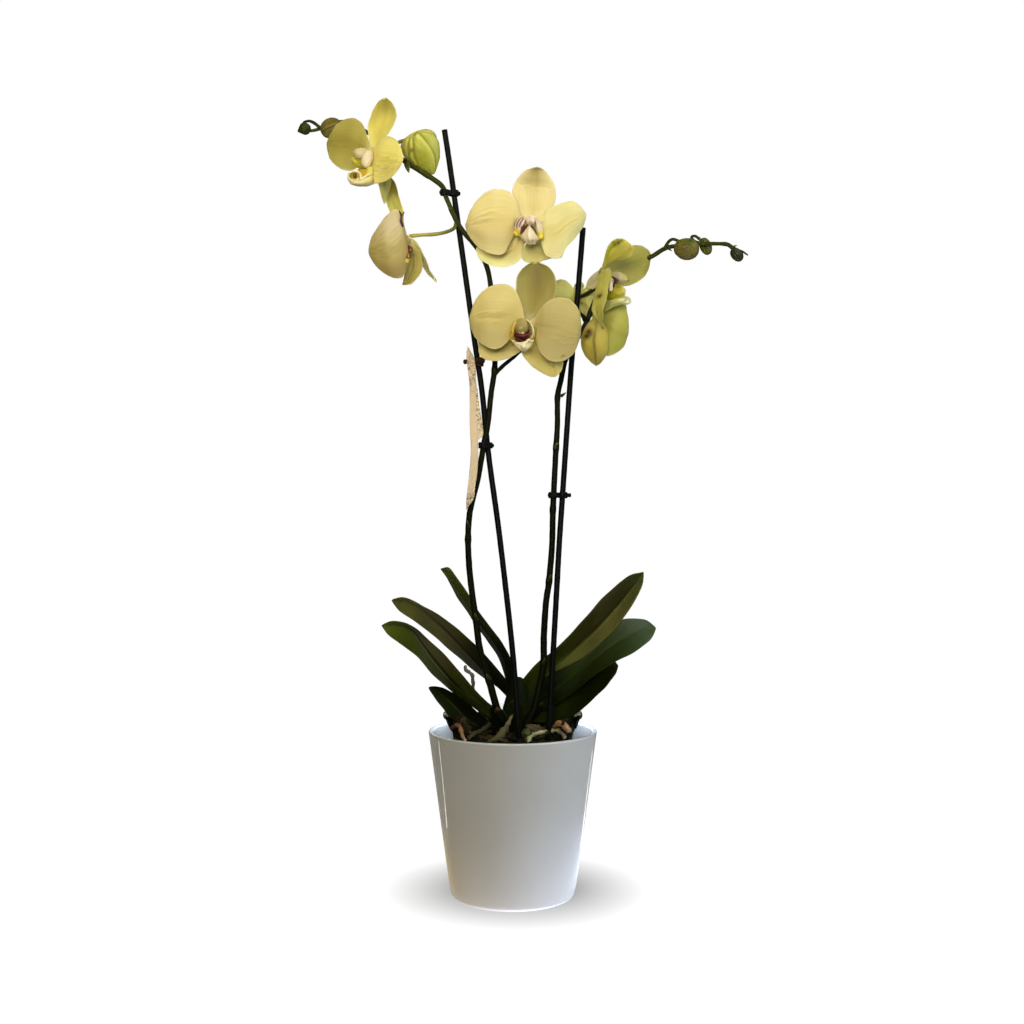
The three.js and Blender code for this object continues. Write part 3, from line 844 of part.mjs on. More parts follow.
// ---------------------------------------------------------------- bark mix
{
  const z0 = LEDGE_Z + 2 * GAP + NURSERY_WALL + 0.4;
  const inner = (z) => nurseryR(z) - NURSERY_WALL - 2 * GAP;
  const profile = [[0, z0], [inner(z0) - 3, z0], [inner(z0) - 0.5, z0 + 3], [inner(88), 88], [inner(BARK_TOP - 4), BARK_TOP - 4],
    [inner(BARK_TOP) - 3, BARK_TOP - 1], [34, BARK_TOP], [16, BARK_TOP + 1], [0, BARK_TOP + 1]];
  const g = lathe(profile, 22);
  const p = g.attributes.position;
  for (let i = 0; i < p.count; i += 1) {
    const x = p.getX(i), y = p.getY(i), z = p.getZ(i);
    if (z > BARK_TOP - 2) p.setZ(i, z + 1.3 * Math.sin(x * 0.31 + 1) * Math.cos(y * 0.27) + 0.9 * Math.sin(x * 0.7 + y * 0.5));
  }
  place('bark_mix', fit(solid(g)), MAT.bark);
}

// ---------------------------------------------------------------- buds
for (const [name, b] of Object.entries(BUDS)) {
  place(name, fit(egg(b.from, b.to, b.r, 10, 7, 0)), MAT.bud, egg(b.from, b.to, b.r, 10, 7, GAP));
}

// ---------------------------------------------------------------- flowers
function axes(f) {
  const n = V(f.n).normalize();
  const up = V(f.up);
  up.addScaledVector(n, -up.dot(n)).normalize();
  const right = up.clone().cross(n).normalize();
  return { n, up, right };
}
function flowerBody(name, grow) {
  const f = FLOWERS[name];
  const { n, up } = axes(FACING[name]);
  const c = V(f.centre);
  const at = (a, b) => c.clone().addScaledVector(n, a).addScaledVector(up, b).toArray();
  const heart = egg(at(-4.5, 0), at(3.5, 0), 5.0, 8, 5, grow);
  const column = egg(at(0, 1.5), at(9, 1), 2.9, 7, 4, grow);
  return union([heart, column, ...['dorsal', 'petal_a', 'petal_b', 'sepal_a', 'sepal_b']
    .map((k) => blade(f[k], PETAL_THICKNESS, 6, 7, grow))]);
}
function lipBody(name) {
  const f = FLOWERS[name];
  const { n, up, right } = axes(FACING[name]);
  const c = V(f.centre);
  const at = (r, u, o) => c.clone().addScaledVector(right, r).addScaledVector(up, u).addScaledVector(n, o).toArray();
  const row = (w, u, o, bowl) => [at(-w, u, o + bowl), at(0, u, o), at(w, u, o + bowl)];
  const middle = [row(1.5, -5, 5, 0), row(3.5, -7.5, 8, 1), row(6, -10.5, 12, 1), row(6.5, -13.5, 13.5, -1), row(3.5, -16, 13, -1.5), row(0, -18.5, 12, 0)];
  const side = (k) => [
    [at(k * 1.2, -7.5, 6), at(k * 2.0, -5.5, 6.5), at(k * 2.5, -4.0, 5.5)],
    [at(k * 5.5, -7.5, 10), at(k * 6.5, -3.5, 9), at(k * 6.0, 0.5, 7)],
    [at(k * 9.0, -4.5, 12), at(k * 9.5, -0.5, 10.5), at(k * 8.0, 4.0, 8)],
    [at(k * 9.0, 0.5, 12.5), at(k * 8.8, 2.2, 12), at(k * 8.2, 4.6, 10.5)],
    [at(k * 7.6, 3.4, 13.4), at(k * 7.6, 3.4, 13.4), at(k * 7.6, 3.4, 13.4)],
  ];
  const throat = egg(at(0, -3.5, 5.2), at(0, -9, 8.5), 3.0, 6, 4);
  return union([throat, blade(middle, 1.8, 6, 6), blade(side(1), 1.3, 6, 5), blade(side(-1), 1.3, 6, 5)]);
}
const flowerNames = Object.keys(FLOWERS);
for (const name of flowerNames) {
  place(name, fit(flowerBody(name, 0)), MAT.petal, flowerBody(name, 2.5 * GAP));
}
for (const name of flowerNames) {
  const body = lipBody(name);
  const fitted = fit(body);
  place(`${name}_lip`, fitted, MAT.lip, fitted);
}

export default group;
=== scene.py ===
"""Looks of the potted moth orchid. The tables are in millimetres, the scene in metres, +Z up, front towards -Y."""

import math

import bpy
import numpy as np
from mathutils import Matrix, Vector


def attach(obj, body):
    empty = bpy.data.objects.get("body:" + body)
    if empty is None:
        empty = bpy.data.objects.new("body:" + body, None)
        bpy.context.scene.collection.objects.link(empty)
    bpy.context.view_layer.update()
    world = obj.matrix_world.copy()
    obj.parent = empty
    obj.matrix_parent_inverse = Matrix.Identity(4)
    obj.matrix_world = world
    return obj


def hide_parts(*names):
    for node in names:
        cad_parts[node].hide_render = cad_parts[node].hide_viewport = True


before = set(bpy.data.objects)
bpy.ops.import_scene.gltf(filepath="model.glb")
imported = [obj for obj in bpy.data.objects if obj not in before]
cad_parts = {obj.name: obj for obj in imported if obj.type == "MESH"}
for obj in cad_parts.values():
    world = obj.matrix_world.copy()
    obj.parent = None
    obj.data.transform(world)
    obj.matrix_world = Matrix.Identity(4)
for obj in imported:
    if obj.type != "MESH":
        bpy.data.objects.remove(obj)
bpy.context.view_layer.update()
MM = 0.001

# ---------------------------------------------------------------- measured geometry
LEAVES = {'leaf_1': [[[-2.3, 10, 163.3], [3.2, 7, 163.7], [8.6, 6, 163.9]], [[-4.1, 11.8, 171.9], [1.1, 7, 173],
    [6.3, 4.9, 173.7]], [[-6, 13.5, 180.5], [-1, 6.9, 182.2], [4, 3.9, 183.4]], [[-8.7, 15.4, 188.9], [-4.1, 7, 191.1],
    [0.5, 2.8, 192.8]], [[-12, 17.6, 197.1], [-7.5, 7.3, 199.9], [-3, 1.4, 202.2]], [[-16.1, 19.9, 205], [-12.2, 7.7, 208],
    [-8.4, 0.2, 210.5]], [[-21.1, 21.8, 212.3], [-17.5, 8.3, 215.7], [-14.2, 0.1, 218.5]], [[-26.7, 23.9, 219.3], [-23.2, 9.6, 223.1],
    [-19.9, 1, 226.4]], [[-32, 24.8, 226.6], [-28.8, 11.4, 230.7], [-25.7, 2.4, 234.3]], [[-37.2, 25.1, 234.1], [-34, 12.7, 238.5],
    [-30.9, 4, 242.5]], [[-42.4, 25.2, 241.6], [-39, 13.8, 246.4], [-35.8, 6, 250.9]], [[-47.7, 25.1, 249], [-44.3, 14.8, 254.2],
    [-41.2, 8.5, 259.1]], [[-51.8, 24.5, 257.1], [-49.4, 15.9, 262.2], [-47, 11.3, 266.9]], [[-55.6, 22.2, 265.5], [-54.6, 16.9, 270],
    [-53.6, 14.6, 274.2]], [[-60.7, 18, 273.1], [-60.7, 18, 273.1], [-60.7, 18, 273.1]]], 'leaf_2': [[[1.1, 8, 161.9],
    [1.9, 8, 161.1], [4.4, 12, 156.3]], [[-1.6, 6.8, 171.8], [-4.7, 8.3, 168.3], [-1.7, 14.9, 163.8]], [[-5.7, 5.6, 181.2],
    [-11.5, 8.6, 175.4], [-8.6, 17.7, 170.7]], [[-12, 4.9, 189.1], [-18.3, 9.1, 182.5], [-17.1, 20.6, 175.9]], [[-18.4, 4.4, 196.9],
    [-25.2, 10, 189.5], [-25.6, 23.7, 181]], [[-25.1, 4.1, 204.5], [-32.1, 11.3, 196.4], [-33.8, 26.6, 186.7]], [[-32.2, 4, 211.7],
    [-39.1, 12.4, 203.3], [-41.7, 29, 192.8]], [[-39.7, 4.3, 218.4], [-46.1, 13.4, 210.1], [-49.6, 31.3, 199]], [[-47.5, 4.8, 224.7],
    [-53.1, 14.5, 217], [-57.3, 32.7, 205.7]], [[-55.5, 5.5, 230.7], [-60.2, 15.8, 223.8], [-64.9, 33.4, 212.4]], [[-64, 6.7, 236.1],
    [-67.5, 17.3, 230.4], [-72.8, 33.8, 218.8]], [[-72.8, 8.6, 240.9], [-75.1, 18.7, 236.8], [-81.2, 34, 224.6]], [[-82.1, 11.2, 245.1],
    [-82.9, 19.9, 242.8], [-89.4, 33.5, 230.6]], [[-91.9, 15.4, 248.1], [-92.3, 21, 245.7], [-97, 30.3, 237.4]], [[-102.3, 22, 246.2],
    [-102.3, 22, 246.2], [-102.3, 22, 246.2]]], 'leaf_3': [[[-0.6, -2, 151.7], [-2.3, 0, 148.9], [-3.9, 0, 146.4]], [[-9.7, -7, 156.5],
    [-10.8, -3.6, 154.3], [-13.4, -0.3, 148.1]], [[-18.3, -12, 162], [-19.3, -7.2, 159.7], [-22.3, -0.6, 151.6]], [[-25.3, -17, 169.6],
    [-27.5, -10.7, 165.5], [-30.3, -1.1, 157]], [[-31.5, -22.3, 177.9], [-35.4, -13.9, 171.7], [-38.1, -2.2, 162.8]],
    [[-37.7, -27.3, 186], [-43, -17.1, 178.1], [-45.8, -3.9, 168.7]], [[-43.9, -31.7, 193.9], [-49.9, -20.3, 185.2],
    [-53.2, -5.7, 174.9]], [[-50.2, -35.7, 201.7], [-56.1, -23.7, 192.9], [-60.3, -7.7, 181.5]], [[-56.8, -39, 209],
    [-62, -26.8, 200.9], [-67.2, -10, 188.3]], [[-63.8, -41.5, 215.8], [-67.5, -30.1, 209], [-73.3, -12.6, 195.8]], [[-71, -43.6, 222.3],
    [-73.1, -33.4, 217.1], [-79.4, -15.7, 203.3]], [[-78.4, -44.9, 228.4], [-78.7, -34.8, 224.9], [-86.5, -19.2, 209.7]],
    [[-87.1, -43.9, 232.5], [-86.9, -35.4, 229.7], [-93.9, -23.5, 215.6]], [[-96.9, -40.1, 233.6], [-96.4, -35.7, 230.8],
    [-101, -28.7, 221.9]], [[-105.9, -36, 229.9], [-105.9, -36, 229.9], [-105.9, -36, 229.9]]], 'leaf_4': [[[-6.4, -4, 147],
    [-8.5, -7, 143.8], [-10.5, -10, 140.5]], [[-11.6, -3.3, 146.9], [-13.6, -7.8, 142.8], [-15.7, -11.4, 138.6]], [[-16.8, -2.6, 147.1],
    [-18.8, -8.7, 142], [-20.9, -12.9, 136.7]], [[-21.6, -2.1, 149], [-24, -9.5, 142.7], [-26.4, -14.3, 136.1]], [[-25.6, -1.9, 152.3],
    [-28.8, -10.5, 144.7], [-32, -15.7, 136.6]], [[-29.6, -1.9, 155.6], [-33.4, -11.6, 147.4], [-37.4, -17, 138.5]],
    [[-33.7, -1.9, 158.9], [-37.8, -12.7, 150.7], [-42, -18.4, 141.8]], [[-37.7, -2, 162.1], [-41.8, -14, 154.4], [-46, -20, 146]],
    [[-41.7, -2.4, 165.5], [-45.5, -15.4, 158.5], [-49.4, -22.2, 150.7]], [[-45.7, -3.6, 169], [-49.2, -17.1, 162.6],
    [-52.8, -24.8, 155.5]], [[-49.9, -6.5, 172.3], [-53, -18.9, 166.5], [-56.2, -27.1, 160.2]], [[-54.4, -9.6, 175.1],
    [-56.9, -21.2, 170.2], [-59.6, -28.7, 164.9]], [[-59, -14.5, 177.4], [-60.8, -24.2, 173.8], [-62.7, -29.9, 169.7]],
    [[-63.7, -22.3, 179.1], [-64.6, -27.6, 177], [-65.5, -30.9, 174.6]], [[-68.3, -31, 179.4], [-68.3, -31, 179.4], [-68.3, -31, 179.4]]],
    'leaf_5': [[[2.7, 6, 170.6], [5.3, 8, 166.1], [9.4, 9, 163.4]], [[7.8, 2.9, 180.4], [11.5, 8.3, 174.6], [14.4, 9.9, 173.1]],
    [[14.3, -0.2, 189.2], [19.3, 8.6, 181.8], [22.8, 10.7, 179.9]], [[21.4, -2.4, 197.2], [27.8, 9.1, 188.1], [32.5, 11, 185]],
    [[29.7, -4.6, 204], [36.1, 10, 194.6], [42.4, 10.6, 189.7]], [[37.8, -5.7, 210.8], [44.3, 11.3, 201.1], [52.2, 10.2, 194.6]],
    [[45.2, -6.1, 218.3], [52.4, 12.4, 208], [61.5, 9.9, 200.5]], [[52.5, -6.2, 226], [60.3, 13.5, 215], [69.9, 9.9, 207.4]],
    [[59.6, -6.1, 233.8], [68.1, 14.6, 222.2], [77.8, 9.9, 215.1]], [[66.7, -5.7, 241.5], [75.5, 15.8, 229.8], [85.5, 10.3, 222.9]],
    [[74.1, -4.3, 249], [82.7, 17.2, 237.6], [92.6, 11.2, 231.2]], [[81.9, -0.7, 256.1], [89.8, 17.9, 245.5], [98.9, 12.7, 240.1]],
    [[90, 3, 262.9], [96.6, 18.1, 253.7], [104.4, 14.1, 249.5]], [[98.9, 8.3, 268.9], [103.3, 18, 262], [108.6, 15.5, 259.6]],
    [[110, 18, 270.3], [110, 18, 270.3], [110, 18, 270.3]]], 'leaf_6': [[[4.4, 8, 158.5], [6.1, 3, 152.6], [7.7, 0, 146.4]],
    [[10.6, 11.7, 166.4], [13.9, 2.7, 158.3], [16.9, -5.1, 150.5]], [[17, 15.4, 174.1], [21.7, 2.3, 164.1], [25.7, -10.2, 155.6]],
    [[24.7, 18.6, 180.8], [29.6, 1.9, 169.7], [33.7, -14.9, 161.7]], [[33.1, 21.6, 186.8], [37.5, 1.3, 175.3], [41.5, -19.4, 167.9]],
    [[41.7, 24, 192.6], [45.4, 0.6, 180.9], [49.2, -23.6, 174.3]], [[50.4, 25.6, 198.3], [53.3, -0.5, 186.6], [56.8, -27.6, 180.6]],
    [[58.9, 27, 204.4], [61, -2.4, 192.5], [64.3, -31.9, 186.9]], [[67.2, 27.9, 210.8], [68.4, -5.1, 198.7], [71.8, -35.1, 193.1]],
    [[75.2, 27.6, 217.7], [75.8, -7.2, 205], [79.5, -37.2, 198.9]], [[82.9, 24.7, 224.9], [83.3, -9.2, 210.9], [87.5, -38.9, 204.1]],
    [[92, 19.1, 229.7], [91.2, -11.5, 216.4], [95.8, -40, 208.7]], [[101.8, 12.2, 231.4], [99.3, -14.4, 221.4], [103.9, -38.8, 213.8]],
    [[111, -0.1, 230.9], [107.8, -18.2, 225.1], [111.6, -33.1, 219.5]], [[116.9, -22, 226.9], [116.9, -22, 226.9], [116.9, -22, 226.9]]],
    'leaf_7': [[[6, -2, 151.7], [7.7, -5, 148.9], [9.3, -8, 147.7]], [[10.8, -2.7, 157.1], [13.9, -6.3, 151.4], [16.3, -10.7, 147.6]],
    [[16.3, -3.4, 161.5], [20.1, -7.7, 154], [23.2, -13.4, 147.6]], [[22.7, -4.1, 164.4], [26.1, -9.4, 156.8], [30.1, -16.8, 148.6]],
    [[29.3, -4.8, 167], [32.1, -11.7, 159.9], [36.8, -21.4, 150.6]], [[35.6, -5.5, 170], [37.9, -14.4, 163.2], [43.3, -26.9, 153.4]],
    [[41.7, -6.4, 173.6], [43.6, -17, 166.7], [49.5, -32.1, 156.8]], [[47.7, -7.7, 177.5], [49.1, -19.4, 170.5], [55.1, -37.6, 161.2]],
    [[53.5, -9.3, 181.5], [54.3, -22, 174.7], [59.9, -41.8, 166.5]], [[59.1, -11.2, 185.8], [59.3, -24.6, 179.1], [64.4, -44.5, 171.9]],
    [[64.7, -13.8, 190.2], [64.2, -27.4, 183.7], [69, -46.7, 177.2]], [[70.1, -17.2, 194.8], [69.1, -30.4, 188.2], [73.6, -48, 182.3]],
    [[75.4, -21.9, 199.5], [74, -33.5, 192.6], [78.2, -47.2, 187.2]], [[81.5, -28.8, 201.7], [79.1, -36.7, 196.8], [82.6, -44.7, 192.2]],
    [[85.1, -40, 198], [85.1, -40, 198], [85.1, -40, 198]]]}
LEAF_FRONT = {'leaf_1': (0.7, -0.5, 0.6)}
FLOWERS = {'flower_1': {'centre': [12.2, -34, 552.3], 'dorsal': [[[10.5, -34, 553.2], [12.5, -34, 553], [14.5, -34, 552.9]],
    [[7, -32, 557.8], [13.7, -34, 557.1], [20.3, -32, 557]], [[5.2, -31.4, 561.3], [14.4, -33.1, 560], [23.7, -31.4, 559.2]],
    [[3.5, -30.8, 564.8], [15.2, -32.3, 562.9], [27, -30.8, 561.6]], [[1.9, -30.2, 568.3], [15.9, -31.4, 566.1], [29.9, -30.2, 564.4]],
    [[0.6, -29.8, 571.9], [16.5, -30.5, 569.6], [32.4, -29.8, 567.5]], [[-0.2, -29.5, 575.7], [16.9, -29.3, 573.5], [34, -29.5, 571.2]],
    [[-0.5, -29.3, 579.5], [17.2, -28.4, 577.5], [34.8, -29.3, 575.2]], [[-0.1, -29, 583.3], [17.4, -28, 581.4], [34.9, -29, 579.2]],
    [[1.4, -28.7, 586.9], [17.8, -28.1, 585.1], [34.2, -28.7, 583.1]], [[3.4, -28.3, 590.2], [18.2, -28.3, 588.6], [32.9, -28.3, 587]],
    [[5.8, -28, 593.2], [18.5, -28.7, 591.7], [31.1, -28, 590.6]], [[8.6, -28.1, 595.8], [18.7, -29.4, 594.6], [28.9, -28.1, 593.8]],
    [[11.7, -29.2, 597.7], [19, -30.6, 596.9], [26.2, -29.2, 596.6]], [[15.3, -32.4, 598.3], [19.1, -33.2, 598], [22.8, -32.4, 598.1]],
    [[18.9, -36, 598.4], [18.9, -36, 598.4], [18.9, -36, 598.4]]], 'petal_a': [[[11.6, -34, 554.5], [11.3, -34, 552.6],
    [10.9, -34, 550.6]], [[6.6, -35, 558.5], [5.8, -34, 553.9], [5, -35, 549]], [[5.1, -35.7, 563.5], [3.5, -36, 554.4],
    [1.9, -36.6, 545.1]], [[3.5, -36.4, 568.5], [1.5, -38, 554.6], [-0.5, -38.3, 540.9]], [[1.5, -36.9, 573.3], [-0.5, -39.5, 554.7],
    [-2.5, -39.5, 536.4]], [[-1.9, -37.1, 577.4], [-3.1, -40.4, 554.4], [-4.3, -40.4, 531.9]], [[-6.5, -37.1, 579.9],
    [-6.9, -41.2, 553.7], [-7.3, -41.2, 528.3]], [[-11.8, -37.1, 580.4], [-11.8, -41.8, 553.3], [-11.8, -41.7, 527.2]],
    [[-17.1, -37, 580], [-16.8, -42, 553.5], [-16.5, -42, 527.9]], [[-22, -36.8, 578], [-21.4, -41.7, 553.3], [-20.9, -41.5, 529.5]],
    [[-26.2, -36.6, 574.7], [-25.6, -40.8, 552.8], [-25.2, -39.9, 531.8]], [[-29.6, -36.2, 570.7], [-29.2, -39.6, 552.4],
    [-28.9, -37.8, 535]], [[-32.4, -35.7, 566.2], [-32.2, -38.3, 552.1], [-32.1, -36.3, 538.7]], [[-34.8, -34.8, 561.6],
    [-34.9, -36.5, 551.9], [-35, -34.9, 542.7]], [[-36.6, -33.4, 556.8], [-36.9, -34.2, 551.8], [-37.3, -33.4, 547.1]],
    [[-38.2, -32, 551.9], [-38.2, -32, 551.9], [-38.2, -32, 551.9]]], 'petal_b': [[[13, -34, 554.4], [13.2, -34, 552.4],
    [13.3, -34, 550.4]], [[17.9, -35, 557.7], [18.3, -34, 552.7], [18.7, -35, 547.4]], [[20.9, -35.7, 559.3], [20.7, -35.6, 550.8],
    [20.6, -37, 542]], [[23.8, -36.4, 561.1], [23.1, -37.3, 549], [22.5, -39, 536.7]], [[26.4, -36.9, 563.3], [25.3, -38.5, 547.4],
    [24.2, -40.5, 531.4]], [[29.3, -37.1, 565.2], [28.1, -39.4, 545.9], [26.8, -41.4, 526.7]], [[32.4, -37.1, 566.8],
    [32, -40.2, 545.6], [31.7, -42.2, 524.5]], [[35.6, -37.1, 568.2], [36.3, -40.8, 546.2], [37, -42.8, 524.5]], [[38.9, -37, 569.4],
    [39.6, -41, 548.5], [40.4, -43, 528.1]], [[42.3, -36.8, 570.3], [42.4, -40.7, 551.4], [42.6, -42.4, 533]], [[45.7, -36.6, 571],
    [46, -39.8, 553.8], [46.4, -40.5, 537.1]], [[49.1, -36.2, 570.7], [49.6, -38.6, 555.8], [50.2, -38, 541.4]], [[52.1, -35.7, 569],
    [52.8, -37.3, 557.2], [53.6, -36.1, 545.9]], [[54.8, -34.6, 566.8], [55.6, -35.5, 558.6], [56.6, -34.4, 550.7]],
    [[57.1, -32.8, 564.5], [57.6, -33.2, 560.2], [58.1, -32.7, 556.2]], [[59, -31, 561.8], [59, -31, 561.8], [59, -31, 561.8]]],
    'sepal_a': [[[10.6, -33.6, 553.1], [11.8, -33.6, 551.5], [13, -33.6, 550]], [[6.6, -31, 550.4], [9.1, -31, 547.2],
    [11.5, -31, 544]], [[4.2, -30.6, 549], [7.3, -31, 544.2], [10.4, -31.5, 539.4]], [[1.8, -30.1, 547.6], [5.5, -31.1, 541.2],
    [9.3, -32.1, 534.8]], [[-0.7, -29.7, 546.2], [3.7, -31.1, 538.3], [8.1, -32.6, 530.3]], [[-3.1, -29.3, 544.8], [1.7, -31.1, 535.3],
    [6.6, -32.9, 525.9]], [[-5.6, -28.9, 543.5], [-1.1, -30.9, 533], [3.5, -33, 522.5]], [[-8.1, -28.4, 542.2], [-4.4, -30.7, 531.3],
    [-0.6, -32.9, 520.4]], [[-10.7, -28, 541.1], [-7.9, -30.3, 530.1], [-5.1, -32.7, 519.2]], [[-13.4, -27.6, 540.1],
    [-11.6, -29.8, 529.5], [-9.7, -32.5, 518.8]], [[-16.1, -27.1, 539.4], [-15.2, -29.2, 529.3], [-14.4, -32.1, 519.2]],
    [[-18.9, -26.7, 538.7], [-18.8, -28.6, 529.8], [-18.7, -31.6, 520.7]], [[-21.6, -26.3, 538], [-22.2, -27.8, 530.6],
    [-22.8, -30.8, 523.1]], [[-24.4, -25.9, 537.1], [-25.5, -26.9, 531.7], [-26.5, -29.3, 526.1]], [[-27, -25.4, 536.2],
    [-28, -25.9, 533.3], [-28.9, -27, 530.4]], [[-29.7, -25, 535.3], [-29.7, -25, 535.3], [-29.7, -25, 535.3]]], 'sepal_b': [[[10.9, -33.6, 550.3],
    [12.5, -33.6, 551.5], [14.1, -33.6, 552.6]], [[9.9, -31, 544], [13.9, -31, 546.8], [17.9, -31, 549.6]], [[8.7, -31.5, 540.3],
    [14.2, -31, 544.1], [19.6, -30.6, 547.9]], [[7.5, -32.1, 536.7], [14.4, -31.1, 541.5], [21.3, -30.1, 546.2]], [[6.7, -32.6, 533],
    [14.9, -31.1, 538.7], [23.1, -29.7, 544.5]], [[6.5, -32.9, 529.2], [15.7, -31.1, 536], [24.8, -29.3, 542.8]], [[7.3, -33, 525.5],
    [16.9, -30.9, 533.4], [26.6, -28.9, 541.3]], [[10, -32.9, 523.1], [19.3, -30.7, 531.4], [28.6, -28.4, 539.8]], [[13.6, -32.7, 521.9],
    [22.1, -30.3, 530.2], [30.6, -28, 538.4]], [[17.3, -32.5, 521.8], [25, -29.8, 529.5], [32.7, -27.6, 537.1]], [[20.9, -32.1, 523],
    [27.8, -29.2, 529.5], [34.7, -27.1, 535.9]], [[24.4, -31.6, 524.5], [30.7, -28.6, 529.7], [37, -26.7, 534.8]], [[28.1, -30.8, 525.4],
    [33.7, -27.8, 529.7], [39.2, -26.3, 533.9]], [[31.8, -29.3, 526.1], [36.3, -26.9, 529.2], [40.8, -25.9, 532.2]],
    [[35.6, -27, 526.9], [38, -25.9, 528.4], [40.3, -25.4, 529.8]], [[39.5, -25, 527.6], [39.5, -25, 527.6], [39.5, -25, 527.6]]]},
    'flower_2': {'centre': [10.6, -40, 471.6], 'dorsal': [[[9.1, -40, 472.5], [11.1, -40, 472.5], [13.1, -40, 472.6]],
    [[9, -38, 477.8], [13.8, -40, 477.8], [18.6, -38, 478.2]], [[7.7, -37.7, 481.5], [14.9, -38.9, 481], [22.2, -37.7, 480.7]],
    [[6.3, -37.3, 485.3], [16, -37.7, 484.3], [25.7, -37.3, 483.3]], [[4.8, -37.1, 489], [16.8, -36.6, 487.8], [28.8, -37.1, 486.4]],
    [[3.5, -37, 492.7], [17.5, -35.4, 491.4], [31.5, -37, 489.9]], [[2.6, -36.9, 496.5], [18.1, -33.9, 495.4], [33.6, -36.9, 493.6]],
    [[2.1, -37, 500.4], [18.6, -32.7, 499.6], [35, -37, 497.7]], [[2, -37, 504.3], [18.9, -32, 503.8], [35.7, -37, 502]],
    [[2.3, -37, 508.2], [19, -31.6, 508], [35.5, -37, 506.3]], [[3.2, -37.1, 512], [19, -31.3, 512], [34.6, -37.1, 510.6]],
    [[5.1, -37.1, 515.5], [19.1, -31.1, 515.8], [32.9, -37.1, 514.5]], [[7.6, -36.8, 518.5], [19.1, -31, 519.1], [30.3, -36.8, 518]],
    [[10.8, -35.9, 520.9], [18.9, -30.9, 521.5], [26.9, -35.9, 520.7]], [[14.5, -33.7, 522.6], [18.7, -31, 522.8], [22.7, -33.7, 522.3]],
    [[18.5, -31, 523.4], [18.5, -31, 523.4], [18.5, -31, 523.4]]], 'petal_a': [[[10.7, -40, 473.8], [10.1, -40, 471.9],
    [9.6, -40, 469.9]], [[9, -41, 478.7], [7.4, -40, 473.2], [5.8, -41, 467.5]], [[8.2, -41.7, 484.1], [5.2, -41.6, 474.7],
    [2.1, -42.8, 465.2]], [[6.7, -42.4, 489.3], [2.8, -43.3, 475.8], [-1, -44.6, 462.3]], [[4.6, -42.9, 494.4], [0.6, -44.5, 476.5],
    [-3.5, -45.7, 458.7]], [[2, -43.1, 499.2], [-2.1, -45.4, 477.3], [-6.2, -46.2, 455.5]], [[-2.3, -43.1, 502.6], [-6, -46.2, 477.6],
    [-9.6, -46.6, 452.9]], [[-7.7, -43.1, 503.9], [-10.6, -46.8, 477.6], [-13.6, -46.9, 451.7]], [[-13.2, -43, 503.5],
    [-15.5, -47, 477.6], [-17.8, -47, 452.2]], [[-18.5, -42.7, 502], [-20.1, -46.7, 477.7], [-21.7, -46.5, 453.9]], [[-23.1, -42.2, 499.1],
    [-24.1, -45.8, 477.5], [-25.2, -45.1, 456.4]], [[-27.1, -41.4, 495.3], [-27.6, -44.6, 477.1], [-28.3, -42.9, 459.5]],
    [[-30.3, -40.6, 490.9], [-30.5, -43.3, 476.7], [-30.8, -41.3, 463.1]], [[-32.8, -39.5, 486], [-32.7, -41.5, 476.3],
    [-32.7, -39.9, 467]], [[-34.1, -38.2, 480.8], [-34.1, -39.2, 475.9], [-34.1, -38.4, 471.2]], [[-35.1, -37, 475.4],
    [-35.1, -37, 475.4], [-35.1, -37, 475.4]]], 'petal_b': [[[11.6, -40, 473.6], [11.5, -40, 471.6], [11.4, -40, 469.7]],
    [[17, -41, 477.5], [16.6, -40, 471.8], [16.2, -41, 465.9]], [[19.6, -41.6, 481.2], [18.5, -41.6, 471.2], [17.4, -42.6, 461.1]],
    [[22.4, -42.2, 484.7], [20.5, -43.3, 470.5], [18.6, -44.3, 456.4]], [[25.6, -42.8, 488], [23, -44.5, 469.9], [20.5, -45.5, 451.8]],
    [[29.2, -43.2, 490.7], [26.1, -45.4, 469.1], [23, -46.4, 447.7]], [[33.3, -43.6, 492.6], [29.8, -46.2, 468.4], [26.4, -47.2, 444.3]],
    [[37.8, -43.9, 493.5], [34.2, -46.8, 467.7], [30.6, -47.8, 442.1]], [[42.3, -44, 492.9], [38.8, -47, 467.1], [35.4, -48, 441.5]],
    [[46.4, -43.8, 490.9], [43.2, -46.7, 466.5], [40.1, -47.6, 442.3]], [[49.7, -43.2, 487.8], [47, -45.8, 466.1], [44.4, -46.4, 444.6]],
    [[52.2, -42.4, 484], [50.1, -44.6, 465.8], [48, -44.8, 447.9]], [[53.6, -41.5, 479.7], [52.1, -43.3, 465.8], [50.7, -43.2, 452.1]],
    [[54.4, -40, 475.4], [53.5, -41.3, 465.9], [52.7, -41, 456.7]], [[54.7, -38, 471], [54.3, -38.6, 466.2], [53.9, -38.5, 461.6]],
    [[54.8, -36, 466.6], [54.8, -36, 466.6], [54.8, -36, 466.6]]], 'sepal_a': [[[8.9, -39.6, 472.3], [10.2, -39.6, 470.8],
    [11.5, -39.6, 469.2]], [[5.8, -37, 468.7], [8.2, -37, 465.9], [10.6, -37, 463.1]], [[3.5, -36.6, 467.7], [6.5, -37, 463.3],
    [9.6, -37.5, 458.9]], [[1.3, -36.1, 466.6], [4.8, -37.1, 460.6], [8.4, -38.1, 454.7]], [[-1, -35.7, 465.5], [2.6, -37.1, 458.2],
    [6.2, -38.6, 451]], [[-3.3, -35.3, 464.4], [-0.3, -37.1, 456.4], [2.7, -38.9, 448.3]], [[-5.6, -34.9, 463.4], [-3.3, -36.9, 454.8],
    [-1.1, -39, 446.2]], [[-7.9, -34.4, 462.5], [-6.5, -36.7, 453.5], [-5.1, -38.9, 444.6]], [[-10.4, -34, 461.8], [-9.8, -36.3, 452.6],
